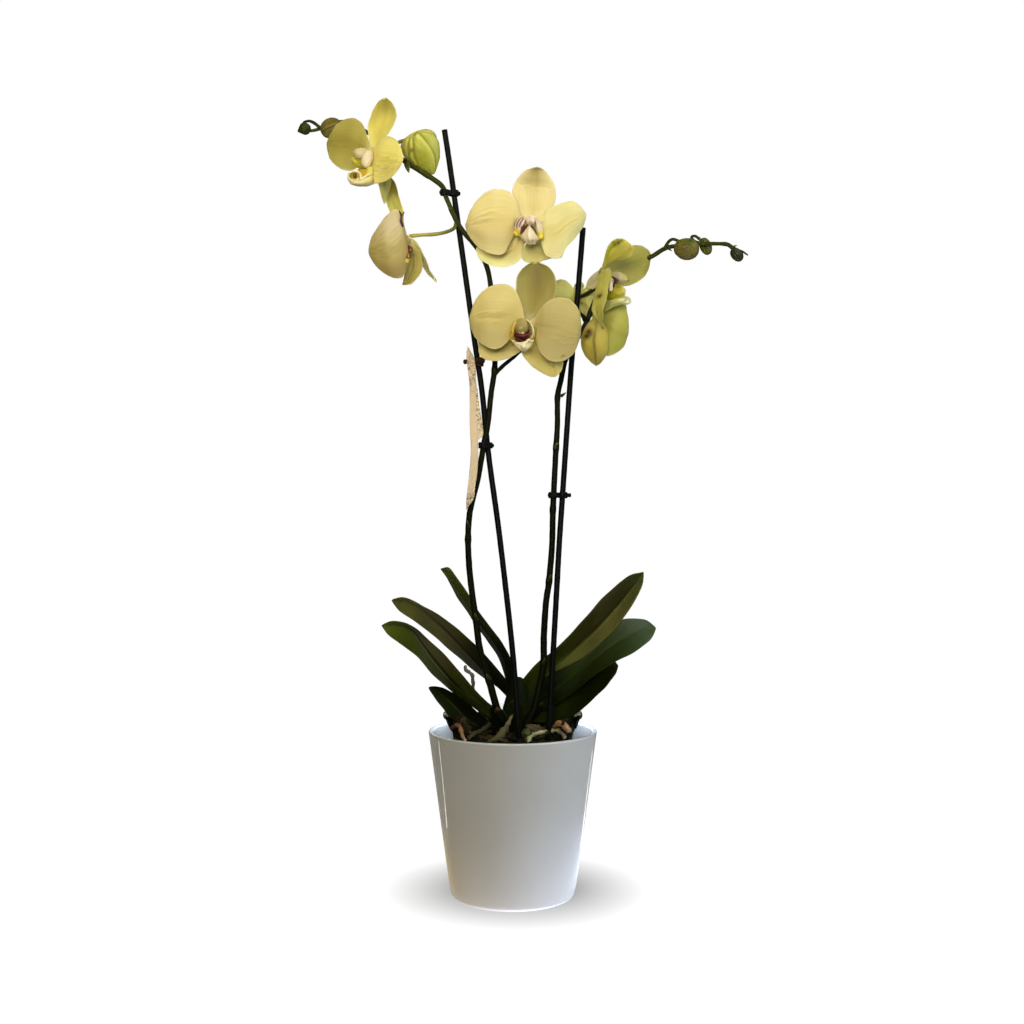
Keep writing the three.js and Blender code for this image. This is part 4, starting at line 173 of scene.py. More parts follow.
    [-9.3, -38.7, 443.6]], [[-12.8, -33.6, 461.2], [-13.2, -35.8, 452.1], [-13.6, -38.5, 443]], [[-15.4, -33.1, 460.9],
    [-16.6, -35.2, 452], [-17.9, -38.1, 443.1]], [[-17.9, -32.7, 460.7], [-20, -34.6, 452.4], [-22.1, -37.6, 444.1]],
    [[-20.4, -32.3, 460.5], [-23.1, -33.8, 453.6], [-25.7, -36.8, 446.6]], [[-23, -31.9, 460.3], [-25.2, -32.9, 455.5],
    [-27.4, -35.3, 450.6]], [[-25.5, -31.4, 460], [-26.6, -31.9, 457.6], [-27.7, -33, 455.1]], [[-28, -31, 459.6], [-28, -31, 459.6],
    [-28, -31, 459.6]]], 'sepal_b': [[[9.3, -39.6, 469.6], [11, -39.6, 470.8], [12.6, -39.6, 471.9]], [[9, -37, 463.1],
    [13, -37, 465.9], [17.1, -37, 468.7]], [[8.1, -37.5, 459.7], [13.6, -37, 462.7], [19, -36.6, 465.7]], [[7.1, -38.1, 456.4],
    [14, -37, 459.5], [20.9, -36.1, 462.6]], [[6.5, -38.6, 453], [14.7, -37.1, 456.3], [22.8, -35.7, 459.6]], [[7, -38.9, 449.6],
    [15.9, -37, 453.1], [24.9, -35.3, 456.6]], [[8.5, -39, 446.5], [17.9, -37, 450.2], [27.3, -34.8, 453.9]], [[10.5, -38.9, 443.7],
    [20.4, -36.8, 447.8], [30.4, -34.3, 451.9]], [[12.8, -38.7, 441.1], [23.2, -36.6, 445.8], [33.7, -33.8, 450.5]],
    [[15.3, -38.5, 438.8], [26, -36.4, 443.6], [36.8, -33.3, 448.6]], [[18, -38.1, 436.7], [28.6, -36.1, 441.3], [39.3, -33.1, 446]],
    [[21, -37.7, 434.9], [30.7, -35.7, 438.7], [40.5, -32.9, 442.6]], [[24, -36.9, 433.2], [32.1, -35.2, 436.1], [40.2, -32.9, 438.9]],
    [[27.1, -35.8, 431.8], [33.1, -34.5, 433.6], [39.2, -32.9, 435.4]], [[30.4, -34.3, 430.7], [33.6, -33.7, 431.7],
    [36.8, -33, 432.7]], [[33.9, -33, 430.5], [33.9, -33, 430.5], [33.9, -33, 430.5]]]}, 'flower_3': {'centre': [-115.5, -14, 614.9],
    'dorsal': [[[-117.2, -13, 616], [-115.4, -13.7, 615.6], [-113.5, -14.4, 615.1]], [[-117, -11, 620.4], [-114.3, -12, 619.7],
    [-111.5, -13, 619.1]], [[-117.5, -9.6, 623.9], [-113.3, -9.8, 623], [-108.8, -13, 621.4]], [[-117.9, -8.2, 627.4],
    [-112.3, -7.5, 626.2], [-106.1, -12.9, 623.7]], [[-118.3, -7.3, 630.8], [-111.4, -5.7, 629.5], [-103.7, -13, 626.3]],
    [[-118.7, -6.8, 634.2], [-110.6, -4.4, 632.9], [-101.6, -13.1, 629.1]], [[-118.8, -6.4, 637.5], [-109.8, -3.2, 636.2],
    [-99.7, -13.3, 632]], [[-118.4, -6.1, 640.7], [-108.8, -2.4, 639.6], [-98, -13.7, 635.1]], [[-117.6, -6, 643.9],
    [-107.6, -2, 642.9], [-96.4, -14, 638.2]], [[-116.4, -6.2, 646.9], [-106.4, -2.4, 646], [-95.2, -14.3, 641.4]], [[-115, -6.8, 649.7],
    [-105.4, -3.2, 649], [-94.7, -14.7, 644.8]], [[-113.5, -7.6, 652.4], [-104.8, -4.4, 651.9], [-95, -15, 648.2]], [[-111.7, -8.4, 654.9],
    [-104.4, -5.7, 654.7], [-96.1, -14.9, 651.6]], [[-109.5, -9.5, 657.1], [-104, -7.5, 657], [-97.9, -14.2, 654.8]],
    [[-106.6, -10.8, 658.5], [-103.8, -9.8, 658.4], [-100.7, -13.1, 657.3]], [[-103.6, -12, 659.7], [-103.6, -12, 659.7],
    [-103.6, -12, 659.7]]], 'petal_a': [[[-116.4, -13, 619.9], [-116.8, -14, 614.9], [-117.2, -14, 610]], [[-117.6, -11, 624.6],
    [-118.9, -12.6, 616.2], [-120.2, -12.9, 608]], [[-119.1, -9.1, 629.2], [-121.1, -11.3, 617.4], [-123.3, -11.7, 606.1]],
    [[-120.8, -7, 633.7], [-123.4, -9.8, 618.6], [-126.2, -10.6, 603.9]], [[-122.4, -4.9, 638.4], [-125.7, -8.1, 619.9],
    [-129.2, -9.5, 601.9]], [[-125.4, -2.6, 642.3], [-129, -6.3, 621.4], [-132.8, -8.4, 600.9]], [[-129.3, -0.3, 645.1],
    [-132.9, -4.2, 623], [-136.6, -7.4, 601.2]], [[-133.9, 2, 646.2], [-137.1, -2, 624.4], [-140.3, -6, 602.6]], [[-138.5, 4.4, 645.9],
    [-141.1, 0.4, 625.3], [-143.7, -4, 604.8]], [[-142.7, 6.7, 644.6], [-144.9, 3, 626.1], [-147, -1.1, 607.6]], [[-146.5, 9, 642.4],
    [-148.2, 5.7, 626.7], [-149.8, 2.4, 611.1]], [[-149.4, 10.9, 639.3], [-150.7, 8.3, 627.1], [-151.9, 5.6, 615]], [[-151.8, 12.7, 635.8],
    [-152.6, 10.9, 627.5], [-153.5, 9, 619.2]], [[-153.6, 14.3, 632], [-154, 13.4, 627.9], [-154.4, 12.5, 623.7]], [[-155.2, 16, 628.2],
    [-155.2, 16, 628.2], [-155.2, 16, 628.2]]], 'petal_b': [[[-113, -15, 617.9], [-113, -15, 614.6], [-112.9, -16, 611.2]],
    [[-111.4, -17, 619.9], [-112.5, -17.5, 613.3], [-113.7, -17.8, 606.8]], [[-109.8, -18.9, 622], [-112.1, -20.1, 612],
    [-114.5, -19.6, 602.3]], [[-107.8, -20.9, 623.7], [-111.3, -22.7, 610.5], [-115.1, -21.3, 597.9]], [[-105.1, -23.2, 624.6],
    [-110.2, -25.4, 608.6], [-115.8, -22.6, 593.6]], [[-102.1, -25.7, 624.7], [-108.7, -28.3, 606.3], [-115.9, -23.6, 589.3]],
    [[-99.1, -28.4, 624.2], [-105.3, -31.3, 604.8], [-112.3, -24.7, 587.3]], [[-96.2, -31, 622.8], [-101.6, -34, 603.9],
    [-108, -26, 587.3]], [[-93.7, -33.5, 620.6], [-98.3, -37, 603.1], [-103.8, -28.5, 587.9]], [[-91.7, -35.9, 618],
    [-95.3, -39.7, 602.4], [-99.8, -32.6, 589]], [[-90.2, -38.1, 615], [-92.8, -41.4, 602], [-96.1, -36.6, 590.7]], [[-89, -39.8, 612.1],
    [-90.8, -42.4, 602], [-93.1, -39.1, 593.2]], [[-88.2, -41.3, 609.1], [-89.3, -43, 602.2], [-90.6, -40.8, 596.2]],
    [[-87.7, -42.6, 606], [-88.1, -43.5, 602.6], [-88.7, -42.4, 599.5]], [[-87.1, -44, 603], [-87.1, -44, 603], [-87.1, -44, 603]]],
    'sepal_a': [[[-117.1, -12.7, 614.8], [-115.4, -13.6, 614.3], [-113.6, -14.4, 613.8]], [[-116.7, -10, 611.6], [-114.6, -11, 611],
    [-112.5, -12, 610.4]], [[-117.8, -8.9, 610.6], [-115.2, -10.6, 609.3], [-112.6, -12, 608.1]], [[-119, -7.8, 609.6],
    [-115.8, -10.2, 607.6], [-112.6, -12.1, 605.7]], [[-120.1, -6.7, 608.5], [-116.4, -9.8, 605.9], [-112.8, -12.1, 603.4]],
    [[-121.2, -5.7, 607.5], [-117.2, -9.4, 604.2], [-113.2, -12.1, 601.1]], [[-122.3, -4.7, 606.4], [-118.1, -8.8, 602.5],
    [-113.9, -11.9, 598.9]], [[-123.5, -3.4, 605.4], [-119.1, -8, 601], [-114.8, -11.6, 596.8]], [[-124.6, -2.2, 604.4],
    [-120.2, -7.1, 599.5], [-116, -11.1, 594.8]], [[-125.7, -1.4, 603.2], [-121.5, -6.1, 598.1], [-117.4, -10.3, 593]],
    [[-126.7, -1, 602], [-122.9, -5.3, 596.8], [-119.1, -9.3, 591.6]], [[-127.6, -1, 600.7], [-124.4, -4.5, 595.5], [-121.1, -8.3, 590.3]],
    [[-128.4, -1.2, 599.2], [-126, -3.9, 594.6], [-123.5, -7, 589.8]], [[-129, -1.5, 597.7], [-127.4, -3.2, 594.3], [-125.8, -5.4, 590.9]],
    [[-129.4, -1.7, 596.1], [-128.6, -2.6, 594.4], [-127.8, -3.6, 592.7]], [[-129.9, -2, 594.5], [-129.9, -2, 594.5],
    [-129.9, -2, 594.5]]], 'sepal_b': [[[-116.9, -13.6, 613.9], [-115, -13.6, 614.6], [-113.1, -13.6, 615.2]], [[-114.2, -11, 612.2],
    [-111.7, -11, 613], [-109.3, -11, 613.9]], [[-114, -11.5, 609.3], [-110.7, -11.2, 610.3], [-107.4, -10.3, 611.6]],
    [[-113.8, -11.9, 606.3], [-109.6, -11.5, 607.6], [-105.4, -9.5, 609.3]], [[-113.6, -12.4, 603.3], [-108.6, -11.7, 604.9],
    [-103.7, -8.8, 606.9]], [[-113.2, -12.8, 600.4], [-107.7, -11.9, 602], [-102.5, -8.3, 604.1]], [[-112.5, -13.1, 597.5],
    [-107, -12, 599.1], [-101.6, -7.9, 601.2]], [[-111.7, -13.4, 594.7], [-106.3, -12, 596.2], [-101, -7.6, 598.2]],
    [[-110.8, -13.7, 591.9], [-105.6, -12, 593.2], [-100.7, -7.3, 595.1]], [[-110, -13.9, 589.2], [-105.2, -12, 590.3],
    [-100.7, -7.1, 592]], [[-109.2, -14, 586.4], [-105, -12, 587.4], [-101.1, -7, 588.9]], [[-108.6, -14, 583.6], [-105.1, -12.1, 584.4],
    [-101.7, -7.1, 585.8]], [[-107.9, -13.8, 580.8], [-105.1, -12.3, 581.5], [-102.5, -7.8, 582.7]], [[-107.1, -13.5, 578.1],
    [-105.2, -12.5, 578.6], [-103.4, -9.2, 579.4]], [[-106.1, -13.3, 575.5], [-105.1, -12.8, 575.7], [-104.2, -11.3, 576.1]],
    [[-105.1, -13, 572.8], [-105.1, -13, 572.8], [-105.1, -13, 572.8]]]}, 'flower_4': {'centre': [-88.4, -8, 544.3],
    'dorsal': [[[-90.4, -7.8, 544.8], [-88.4, -7.8, 544.8], [-86.4, -7.8, 544.8]], [[-91, -6, 547.9], [-88.8, -7, 547.7],
    [-86.8, -6, 547.9]], [[-92.9, -5.1, 551.4], [-90.3, -5.5, 551.5], [-87.7, -5, 551.7]], [[-94.8, -4.2, 554.9], [-91.8, -3.9, 555.2],
    [-88.7, -4, 555.5]], [[-96.7, -3.4, 558.5], [-93.1, -2.6, 559], [-89.4, -3.3, 559.3]], [[-98.5, -2.6, 562], [-94.2, -1.5, 562.8],
    [-89.7, -2.8, 563.2]], [[-100.2, -1.9, 565.6], [-95.1, -0.4, 566.6], [-89.8, -2.4, 567]], [[-101.8, -1.3, 569.2],
    [-96.3, 0.4, 570.3], [-90.5, -2.2, 570.7]], [[-103.3, -1, 572.9], [-97.6, 1, 574.1], [-91.5, -2, 574.3]], [[-104.4, -1, 576.6],
    [-98.7, 1.3, 577.8], [-92.6, -2, 577.9]], [[-105.4, -1, 580.3], [-99.8, 1.6, 581.5], [-93.7, -2.1, 581.5]], [[-106.1, -1.1, 584.1],
    [-100.6, 1.8, 585.3], [-94.6, -2.1, 585.2]], [[-106.5, -0.8, 588], [-101.3, 2.2, 589.1], [-95.4, -1.8, 588.9]], [[-106.5, 0, 592],
    [-101.9, 2.8, 592.9], [-96.8, -0.9, 592.6]], [[-104.9, 1.9, 595.7], [-102.2, 3.4, 596.2], [-99.3, 1.3, 595.9]], [[-102.3, 4, 598.9],
    [-102.3, 4, 598.9], [-102.3, 4, 598.9]]], 'petal_a': [[[-89, -10, 548.9], [-87.8, -10, 544.4], [-86.6, -10, 539.9]],
    [[-89.2, -12, 553.5], [-87.2, -13.4, 544.1], [-85.5, -12, 535.2]], [[-90, -14, 557.9], [-87.1, -16.9, 543.7], [-84.7, -14, 530.4]],
    [[-91.5, -15.5, 562.3], [-88, -19.2, 543.4], [-85.1, -15.5, 525.7]], [[-93.1, -16.4, 566.7], [-89.3, -20.6, 543.3],
    [-86.1, -16.4, 521.1]], [[-96.3, -17.2, 568.2], [-91.5, -21.8, 541.8], [-87.5, -17.2, 516.7]], [[-100.1, -17.8, 565.1],
    [-94.5, -22.6, 538.2], [-89.7, -17.8, 512.7]], [[-103.6, -18, 561.7], [-98.4, -23, 535.9], [-94, -18, 511.6]], [[-106.7, -17.6, 558],
    [-102.2, -22.3, 534.6], [-98.5, -17.6, 512.6]], [[-109.7, -16.4, 554.3], [-105.9, -20.2, 533.9], [-102.7, -16.4, 514.7]],
    [[-112.6, -14.8, 550.5], [-109.4, -17.3, 533.6], [-106.6, -14.8, 517.4]], [[-115.1, -13.2, 546.5], [-112.5, -14.8, 533.3],
    [-110.2, -13.2, 520.6]], [[-116.8, -11, 542.1], [-115, -12, 533.1], [-113.3, -11, 524.4]], [[-117.9, -8.5, 537.7],
    [-116.9, -9, 533.1], [-115.9, -8.5, 528.6]], [[-118.1, -6, 533.2], [-118.1, -6, 533.2], [-118.1, -6, 533.2]]], 'petal_b': [[[-85.8, -10, 547.3],
    [-86.6, -9, 545.8], [-87.5, -8, 544.3]], [[-82.9, -8.9, 546], [-84.3, -7, 544.2], [-85.7, -5.2, 542.5]], [[-80.2, -7.8, 544.4],
    [-82, -5.1, 542.5], [-83.9, -2.4, 540.5]], [[-78.2, -6.7, 542.1], [-80.2, -3, 540.3], [-82.2, 0.5, 538.5]], [[-76.6, -5.3, 539.5],
    [-78.6, -0.9, 538], [-80.7, 3.8, 536.5]], [[-74.9, -3.5, 537.1], [-77, 1.7, 535.7], [-79.3, 8, 534.5]], [[-73.3, -1.6, 534.6],
    [-75.5, 4.1, 533.3], [-77.9, 11.7, 532.3]], [[-71.8, 0, 531.9], [-74.1, 6, 530.8], [-76.6, 14, 529.9]], [[-70.4, 1.4, 529.2],
    [-72.8, 7.6, 528.1], [-75.3, 15.6, 527.3]], [[-69.4, 2.6, 526.2], [-71.5, 9, 525.5], [-73.7, 16.9, 524.9]], [[-68.5, 3.6, 523.2],
    [-70.1, 9.9, 522.8], [-71.8, 17.8, 522.6]], [[-67.4, 4.4, 520.3], [-68.5, 9.8, 520.1], [-69.7, 17.7, 520.2]], [[-65.9, 4.9, 517.4],
    [-66.6, 8.8, 517.3], [-67.5, 15.4, 517.6]], [[-64.4, 5.5, 514.6], [-64.7, 7.4, 514.5], [-65.1, 10.6, 514.6]], [[-62.8, 6, 511.8],
    [-62.8, 6, 511.8], [-62.8, 6, 511.8]]], 'sepal_a': [[[-89.3, -6, 542.2], [-87.2, -7, 542.4], [-85.2, -6, 543]], [[-88.8, -5.3, 539.8],
    [-85.6, -5.9, 540.3], [-82.5, -5.1, 540.9]], [[-88.2, -4.6, 537.5], [-83.9, -4.7, 538.2], [-79.7, -4.1, 538.9]],
    [[-87.6, -4, 535.2], [-82.4, -3.6, 535.9], [-77.2, -3.2, 536.6]], [[-87.2, -3.4, 532.8], [-81.4, -2.6, 533.2], [-75.6, -2.4, 533.5]],
    [[-87.1, -2.8, 530.4], [-81, -1.7, 530.3], [-74.8, -1.8, 530.1]], [[-87.2, -2.4, 527.9], [-80.9, -0.9, 527.4], [-74.5, -1.3, 526.6]],
    [[-87.6, -2, 525.5], [-81.2, -0.2, 524.5], [-74.5, -0.9, 523.1]], [[-88.1, -1.6, 523.1], [-81.7, 0.4, 521.6], [-75.2, -0.5, 519.7]],
    [[-88.6, -1.2, 520.7], [-82.8, 0.9, 518.8], [-76.9, -0.1, 516.6]], [[-89.1, -0.6, 518.3], [-84.2, 1.2, 516.2], [-79.1, 0.3, 513.8]],
    [[-89.6, 0, 515.9], [-85.6, 1.4, 513.7], [-81.5, 0.7, 511.2]], [[-90.3, 0.6, 513.5], [-87.4, 1.6, 511.4], [-84.4, 1.1, 509.1]],
    [[-90.9, 1.3, 511.1], [-89.5, 1.8, 509.9], [-88, 1.6, 508.6]], [[-91.6, 2, 508.8], [-91.6, 2, 508.8], [-91.6, 2, 508.8]]],
    'sepal_b': [[[-89.4, -6.6, 545.4], [-88.5, -7.6, 544], [-87.6, -8.6, 542.6]], [[-90.3, -4, 543.3], [-89.4, -5, 541.9],
    [-88.5, -6, 540.5]], [[-91.6, -2.2, 542], [-90.4, -3.5, 540.3], [-89.1, -4.7, 538.5]], [[-93, -0.4, 540.8], [-91.3, -1.9, 538.6],
    [-89.6, -3.4, 536.5]], [[-94.4, 1.3, 539.5], [-92.3, -0.4, 537], [-90.2, -2.1, 534.4]], [[-95.8, 3, 538.2], [-93.3, 1.1, 535.3],
    [-90.8, -0.9, 532.4]], [[-97.1, 4.5, 536.9], [-94.3, 2.5, 533.6], [-91.6, 0.4, 530.4]], [[-98.4, 5.9, 535.5], [-95.3, 3.8, 531.9],
    [-92.3, 1.7, 528.4]], [[-99.7, 7.3, 534.1], [-96.3, 5.1, 530.2], [-92.9, 2.9, 526.4]], [[-101, 8.5, 532.7], [-97.4, 6.3, 528.5],
    [-93.8, 4.2, 524.4]], [[-102.3, 9.6, 531.2], [-98.6, 7.6, 526.9], [-95, 5.5, 522.6]], [[-103.4, 10.7, 529.7], [-100.2, 8.9, 525.6],
    [-96.9, 7, 521.4]], [[-104.4, 11.5, 528.1], [-101.9, 10.1, 524.7], [-99.3, 8.7, 521.3]], [[-105.2, 12.4, 526.3],
    [-103.5, 11.4, 524.1], [-101.7, 10.4, 521.8]], [[-105.9, 13.2, 524.5], [-105, 12.7, 523.4], [-104.2, 12.2, 522.3]],
    [[-106.6, 14, 522.8], [-106.6, 14, 522.8], [-106.6, 14, 522.8]]]}, 'flower_5': {'centre': [75, -6, 518.4], 'dorsal': [[[73.3, -5.4, 519.1],
    [74.9, -6.4, 518.6], [76.5, -7.4, 518]], [[72.4, -8, 519.8], [74, -9, 519.3], [75.6, -10, 518.7]], [[71.8, -9.5, 523.2],
    [74.5, -11, 521.4], [77.1, -12.6, 519.7]], [[71.2, -10.9, 526.6], [74.9, -12.9, 523.6], [78.6, -15.3, 520.6]], [[71.6, -12.3, 529.9],
    [75.9, -15, 525.7], [80.2, -17.8, 521.5]], [[73.3, -13.6, 532.9], [77.6, -17.1, 527.5], [81.8, -20.1, 522.3]], [[75.5, -14.7, 535.6],
    [79.5, -19.5, 529.1], [83.6, -22.4, 522.9]], [[77.5, -15.8, 538.4], [81.3, -21.9, 530.6], [85.4, -24.4, 523.4]],
    [[79.7, -17, 541], [83.3, -24, 532.1], [87.2, -26, 524]], [[82.4, -18.4, 543], [85.5, -26.3, 533.3], [89, -27.5, 524.7]],
    [[85.6, -19.9, 544], [87.9, -28.5, 534.1], [90.7, -29, 525.5]], [[89, -21.3, 543.1], [90.4, -29.8, 534.1], [92.5, -29.9, 526.5]],
    [[91.9, -22.6, 540.9], [92.8, -29.8, 533.7], [94.2, -29.8, 527.6]], [[94.7, -23.8, 538.5], [95.1, -28.8, 533.4],
    [95.9, -28.8, 529.1]], [[97.3, -24.9, 536], [97.3, -27.4, 533.3], [97.4, -27.4, 530.9]], [[98.9, -26, 532.7], [98.9, -26, 532.7],
    [98.9, -26, 532.7]]], 'petal_a': [[[75.2, -3, 522.9], [75.9, -4, 518.7], [76.8, -4, 514.6]], [[77.5, -1.6, 526.2],
    [78.5, -2.3, 519.1], [79.4, -3.5, 512.1]], [[79.7, -0.2, 529.5], [81, -0.6, 519.7], [82.2, -3, 509.7]], [[82.1, 1.2, 532.6],
    [84, 1.1, 520.6], [85.7, -2.4, 508.2]], [[85, 2.8, 535.5], [87.3, 2.9, 521.8], [89.3, -1.5, 507.6]], [[88.1, 4.5, 537.9],
    [90.8, 4.6, 523.1], [93.1, -0.3, 507.6]], [[91.6, 6.3, 540], [94.4, 6.3, 524.6], [96.9, 1.2, 508.5]], [[95.2, 8, 541.7],
    [98.1, 8, 526.2], [100.5, 3, 510]], [[99.1, 9.7, 542.8], [101.7, 9.7, 527.7], [104, 5, 511.9]], [[103, 11.4, 543.3],
    [105.3, 11.4, 529.1], [107.3, 7.3, 514.4]], [[106.9, 13.1, 543.1], [108.6, 13.1, 530.5], [110.1, 9.8, 517.4]], [[110.5, 14.9, 541.8],
    [111.5, 14.9, 531.5], [112.3, 12.2, 520.8]], [[113.6, 16.6, 539.5], [113.9, 16.6, 532.2], [114, 14.8, 524.6]], [[115.2, 18.3, 536.3],
    [115.1, 18.3, 532.5], [115, 17.4, 528.7]], [[115.6, 20, 532.8], [115.6, 20, 532.8], [115.6, 20, 532.8]]], 'petal_b': [[[73.2, -6.9, 518],
    [75.1, -6.9, 518.6], [77, -6.9, 519.3]], [[72.3, -10, 518.7], [75.9, -12, 519.7], [79.7, -10, 521.2]], [[70.9, -12.9, 515.2],
    [75.5, -15.5, 516], [80.4, -13.4, 517.5]], [[69.6, -15.7, 511.7], [75, -19, 512.4], [80.7, -16.7, 513.8]], [[68.4, -18.6, 508.1],
    [73.9, -22.4, 508.7], [79.8, -20.2, 510.1]], [[67.4, -21.5, 504.5], [72.7, -25.6, 505.1], [78.4, -24, 506.5]], [[66.5, -24.6, 500.8],
    [71.7, -29.1, 501.5], [77.3, -28.3, 502.8]], [[65.6, -27.6, 497.2], [71, -32, 497.9], [76.6, -32.6, 499]], [[64.9, -30, 493.6],
    [70.4, -34, 494.4], [76, -36, 495.4]], [[64.2, -32.9, 490], [69.6, -35.7, 491], [75, -39.1, 491.9]], [[63.5, -35, 486.5],
    [68.6, -37.1, 487.7], [73.4, -41.9, 488.6]], [[63.7, -35.8, 483.1], [68, -37.9, 484.5], [72.1, -43.7, 485.3]], [[65, -36.1, 480.1],
    [68.5, -37.9, 481.3], [71.6, -43.7, 482.1]], [[67.1, -36.1, 477.5], [69.5, -37.4, 478.4], [71.7, -41.7, 479.1]],
    [[69.4, -36, 475.2], [70.7, -36.7, 475.7], [71.9, -38.8, 476.1]], [[72.1, -36, 473.1], [72.1, -36, 473.1], [72.1, -36, 473.1]]],
    'sepal_a': [[[73.6, -5.4, 517.7], [75.3, -5.4, 518.1], [76.9, -5.4, 518.5]], [[75.3, -1, 515.8], [76.9, -2, 516.1],
    [78.6, -1, 516.6]], [[75.1, -0.1, 513.8], [77.7, -1.1, 514.1], [80.5, -0.8, 514.6]], [[74.8, 0.9, 511.8], [78.6, -0.2, 512.1],
    [82.4, -0.6, 512.6]], [[74.5, 1.8, 509.8], [79.3, 0.7, 510.1], [84.1, -0.4, 510.5]], [[74.3, 2.6, 507.7], [79.9, 1.5, 507.9],
    [85.5, -0.2, 508.1]], [[74, 3.2, 505.7], [80.3, 2.3, 505.7], [86.4, 0.1, 505.5]], [[73.8, 3.7, 503.6], [80.5, 3, 503.3],
    [87.1, 0.4, 502.9]], [[73.5, 4.2, 501.5], [80.6, 3.8, 501], [87.5, 0.8, 500.2]], [[73.3, 4.6, 499.4], [80.4, 4.4, 498.6],
    [87.4, 1.3, 497.5]], [[73.1, 4.9, 497.3], [79.8, 4.9, 496.3], [86.4, 1.8, 495]], [[73.2, 5.2, 495.1], [79, 5.2, 494.2],
    [84.5, 2.4, 493.1]], [[73.6, 5.4, 493], [78.1, 5.4, 492.4], [82.4, 3.2, 491.4]], [[74.3, 5.6, 491], [77.3, 5.6, 490.6],
    [80.2, 4.1, 490]], [[75.1, 5.8, 489], [76.5, 5.8, 488.8], [77.9, 5.1, 488.5]], [[75.8, 6, 486.9], [75.8, 6, 486.9],
    [75.8, 6, 486.9]]], 'sepal_b': [[[74.5, -5, 520.4], [74.7, -5.2, 518.4], [75, -5.5, 516.4]], [[72.9, 0, 521.7], [73.2, -1, 518.3],
    [73.7, -1, 515]], [[71.7, 1.3, 521.1], [72.5, 0.5, 517.4], [73.3, 0.6, 513.9]], [[70.5, 2.6, 520.5], [71.7, 2.1, 516.6],
    [72.9, 2.2, 512.8]], [[69.4, 3.9, 519.9], [70.9, 3.6, 515.8], [72.5, 3.8, 511.7]], [[68.2, 5.1, 519.3], [70.1, 5.1, 515],
    [72, 5.2, 510.7]], [[67.1, 6.4, 518.6], [69.2, 6.5, 514.1], [71.2, 6.3, 509.7]], [[66.1, 7.8, 517.8], [68.2, 7.9, 513.3],
    [70.4, 7.2, 508.8]], [[65.1, 9.2, 517], [67.3, 9.2, 512.6], [69.4, 8, 507.9]], [[64.1, 10.5, 516.1], [66.3, 10.5, 511.8],
    [68.3, 8.8, 507.2]], [[63.3, 11.6, 515.1], [65.3, 11.6, 511], [67.2, 9.7, 506.6]], [[62.6, 12.7, 514], [64.3, 12.7, 510.4],
    [65.9, 10.7, 506.5]], [[62.1, 13.5, 512.7], [63.4, 13.5, 509.9], [64.6, 11.9, 506.9]], [[61.7, 14.4, 511.4], [62.5, 14.4, 509.5],
    [63.3, 13.3, 507.5]], [[61.3, 15.2, 510.1], [61.7, 15.2, 509.2], [62.1, 14.7, 508.2]], [[60.9, 16, 508.9], [60.9, 16, 508.9],
    [60.9, 16, 508.9]]]}, 'flower_6': {'centre': [71.9, -4, 481.8], 'dorsal': [[[69.9, -3, 482.5], [71.9, -3, 482.5],
    [73.9, -3, 482.5]], [[69.8, 4, 486.7], [72.3, 3, 486.6], [74.8, 4, 486.7]], [[69.5, 5.3, 488.3], [72.5, 4.5, 488.4],
    [75.7, 5.4, 488.6]], [[69.1, 6.7, 489.9], [72.8, 6.1, 490.1], [76.6, 6.8, 490.5]], [[68.8, 8.1, 491.5], [73.1, 7.7, 491.9],
    [77.5, 8.2, 492.3]], [[68.4, 9.3, 493.1], [73.3, 9.1, 493.6], [78.2, 9.4, 494.3]], [[68, 10.3, 494.6], [73.3, 10.4, 495.4],
    [78.6, 10.3, 496.2]], [[67.6, 11.4, 496.2], [73.2, 11.9, 497.3], [78.6, 11, 498.2]], [[67.1, 12.3, 497.7], [72.9, 13.3, 499.1],
    [78.5, 11.6, 500.2]], [[66.5, 13.1, 499.1], [72.4, 14.2, 500.8], [78.1, 12.2, 502.1]], [[66.2, 13.8, 500.7], [71.8, 14.9, 502.5],
    [77.3, 12.8, 503.9]], [[66.4, 14.4, 502.3], [71.2, 15.2, 503.9], [75.9, 13.4, 505.3]], [[66.9, 14.8, 503.7], [70.6, 15.5, 505.1],
    [74.2, 14.1, 506.2]], [[67.5, 15.2, 505.2], [70, 15.6, 506.1], [72.4, 14.7, 506.8]], [[68.2, 15.6, 506.6], [69.4, 15.8, 507],
    [70.6, 15.4, 507.3]], [[68.8, 16, 508], [68.8, 16, 508], [68.8, 16, 508]]], 'petal_a': [[[70.3, -2, 485.2], [70.8, -2, 480.3],
    [71.2, -2, 475.4]], [[73.2, -4, 487.2], [72.4, -3.8, 479.3], [71.5, -3.2, 471.4]], [[76.1, -6, 489], [73.9, -5.6, 478.2],
    [71.8, -4.5, 467.4]], [[79.2, -7.5, 490.7], [75.7, -7.3, 477], [72.3, -5.6, 463.5]], [[82.3, -8.4, 492.3], [77.6, -8.8, 475.8],
    [73.1, -6.4, 459.6]], [[85.8, -9.2, 493.3], [79.7, -10.4, 474.3], [73.9, -7.2, 455.7]], [[89.3, -9.8, 493.7], [82, -11.6, 472.6],
    [75, -7.8, 452]], [[92.6, -10, 492.5], [84.9, -12, 470.6], [77.6, -8, 449.3]], [[93.6, -9.8, 489], [87.3, -11.8, 469.3],
    [81.4, -7.9, 450.1]], [[94.1, -9.2, 485.5], [89.3, -11.2, 468.4], [84.9, -7.6, 451.8]], [[94.6, -8.4, 481.9], [91.2, -10.4, 467.7],
    [88.2, -7.2, 454]], [[94.9, -7.5, 478.4], [92.8, -9.4, 467.3], [91, -6.7, 456.7]], [[95.2, -6, 474.9], [94, -7.7, 467.3],
    [93, -5.6, 460.1]], [[95.2, -4, 471.4], [94.7, -4.8, 467.6], [94.2, -3.8, 464]], [[95.3, -2, 468], [95.3, -2, 468],
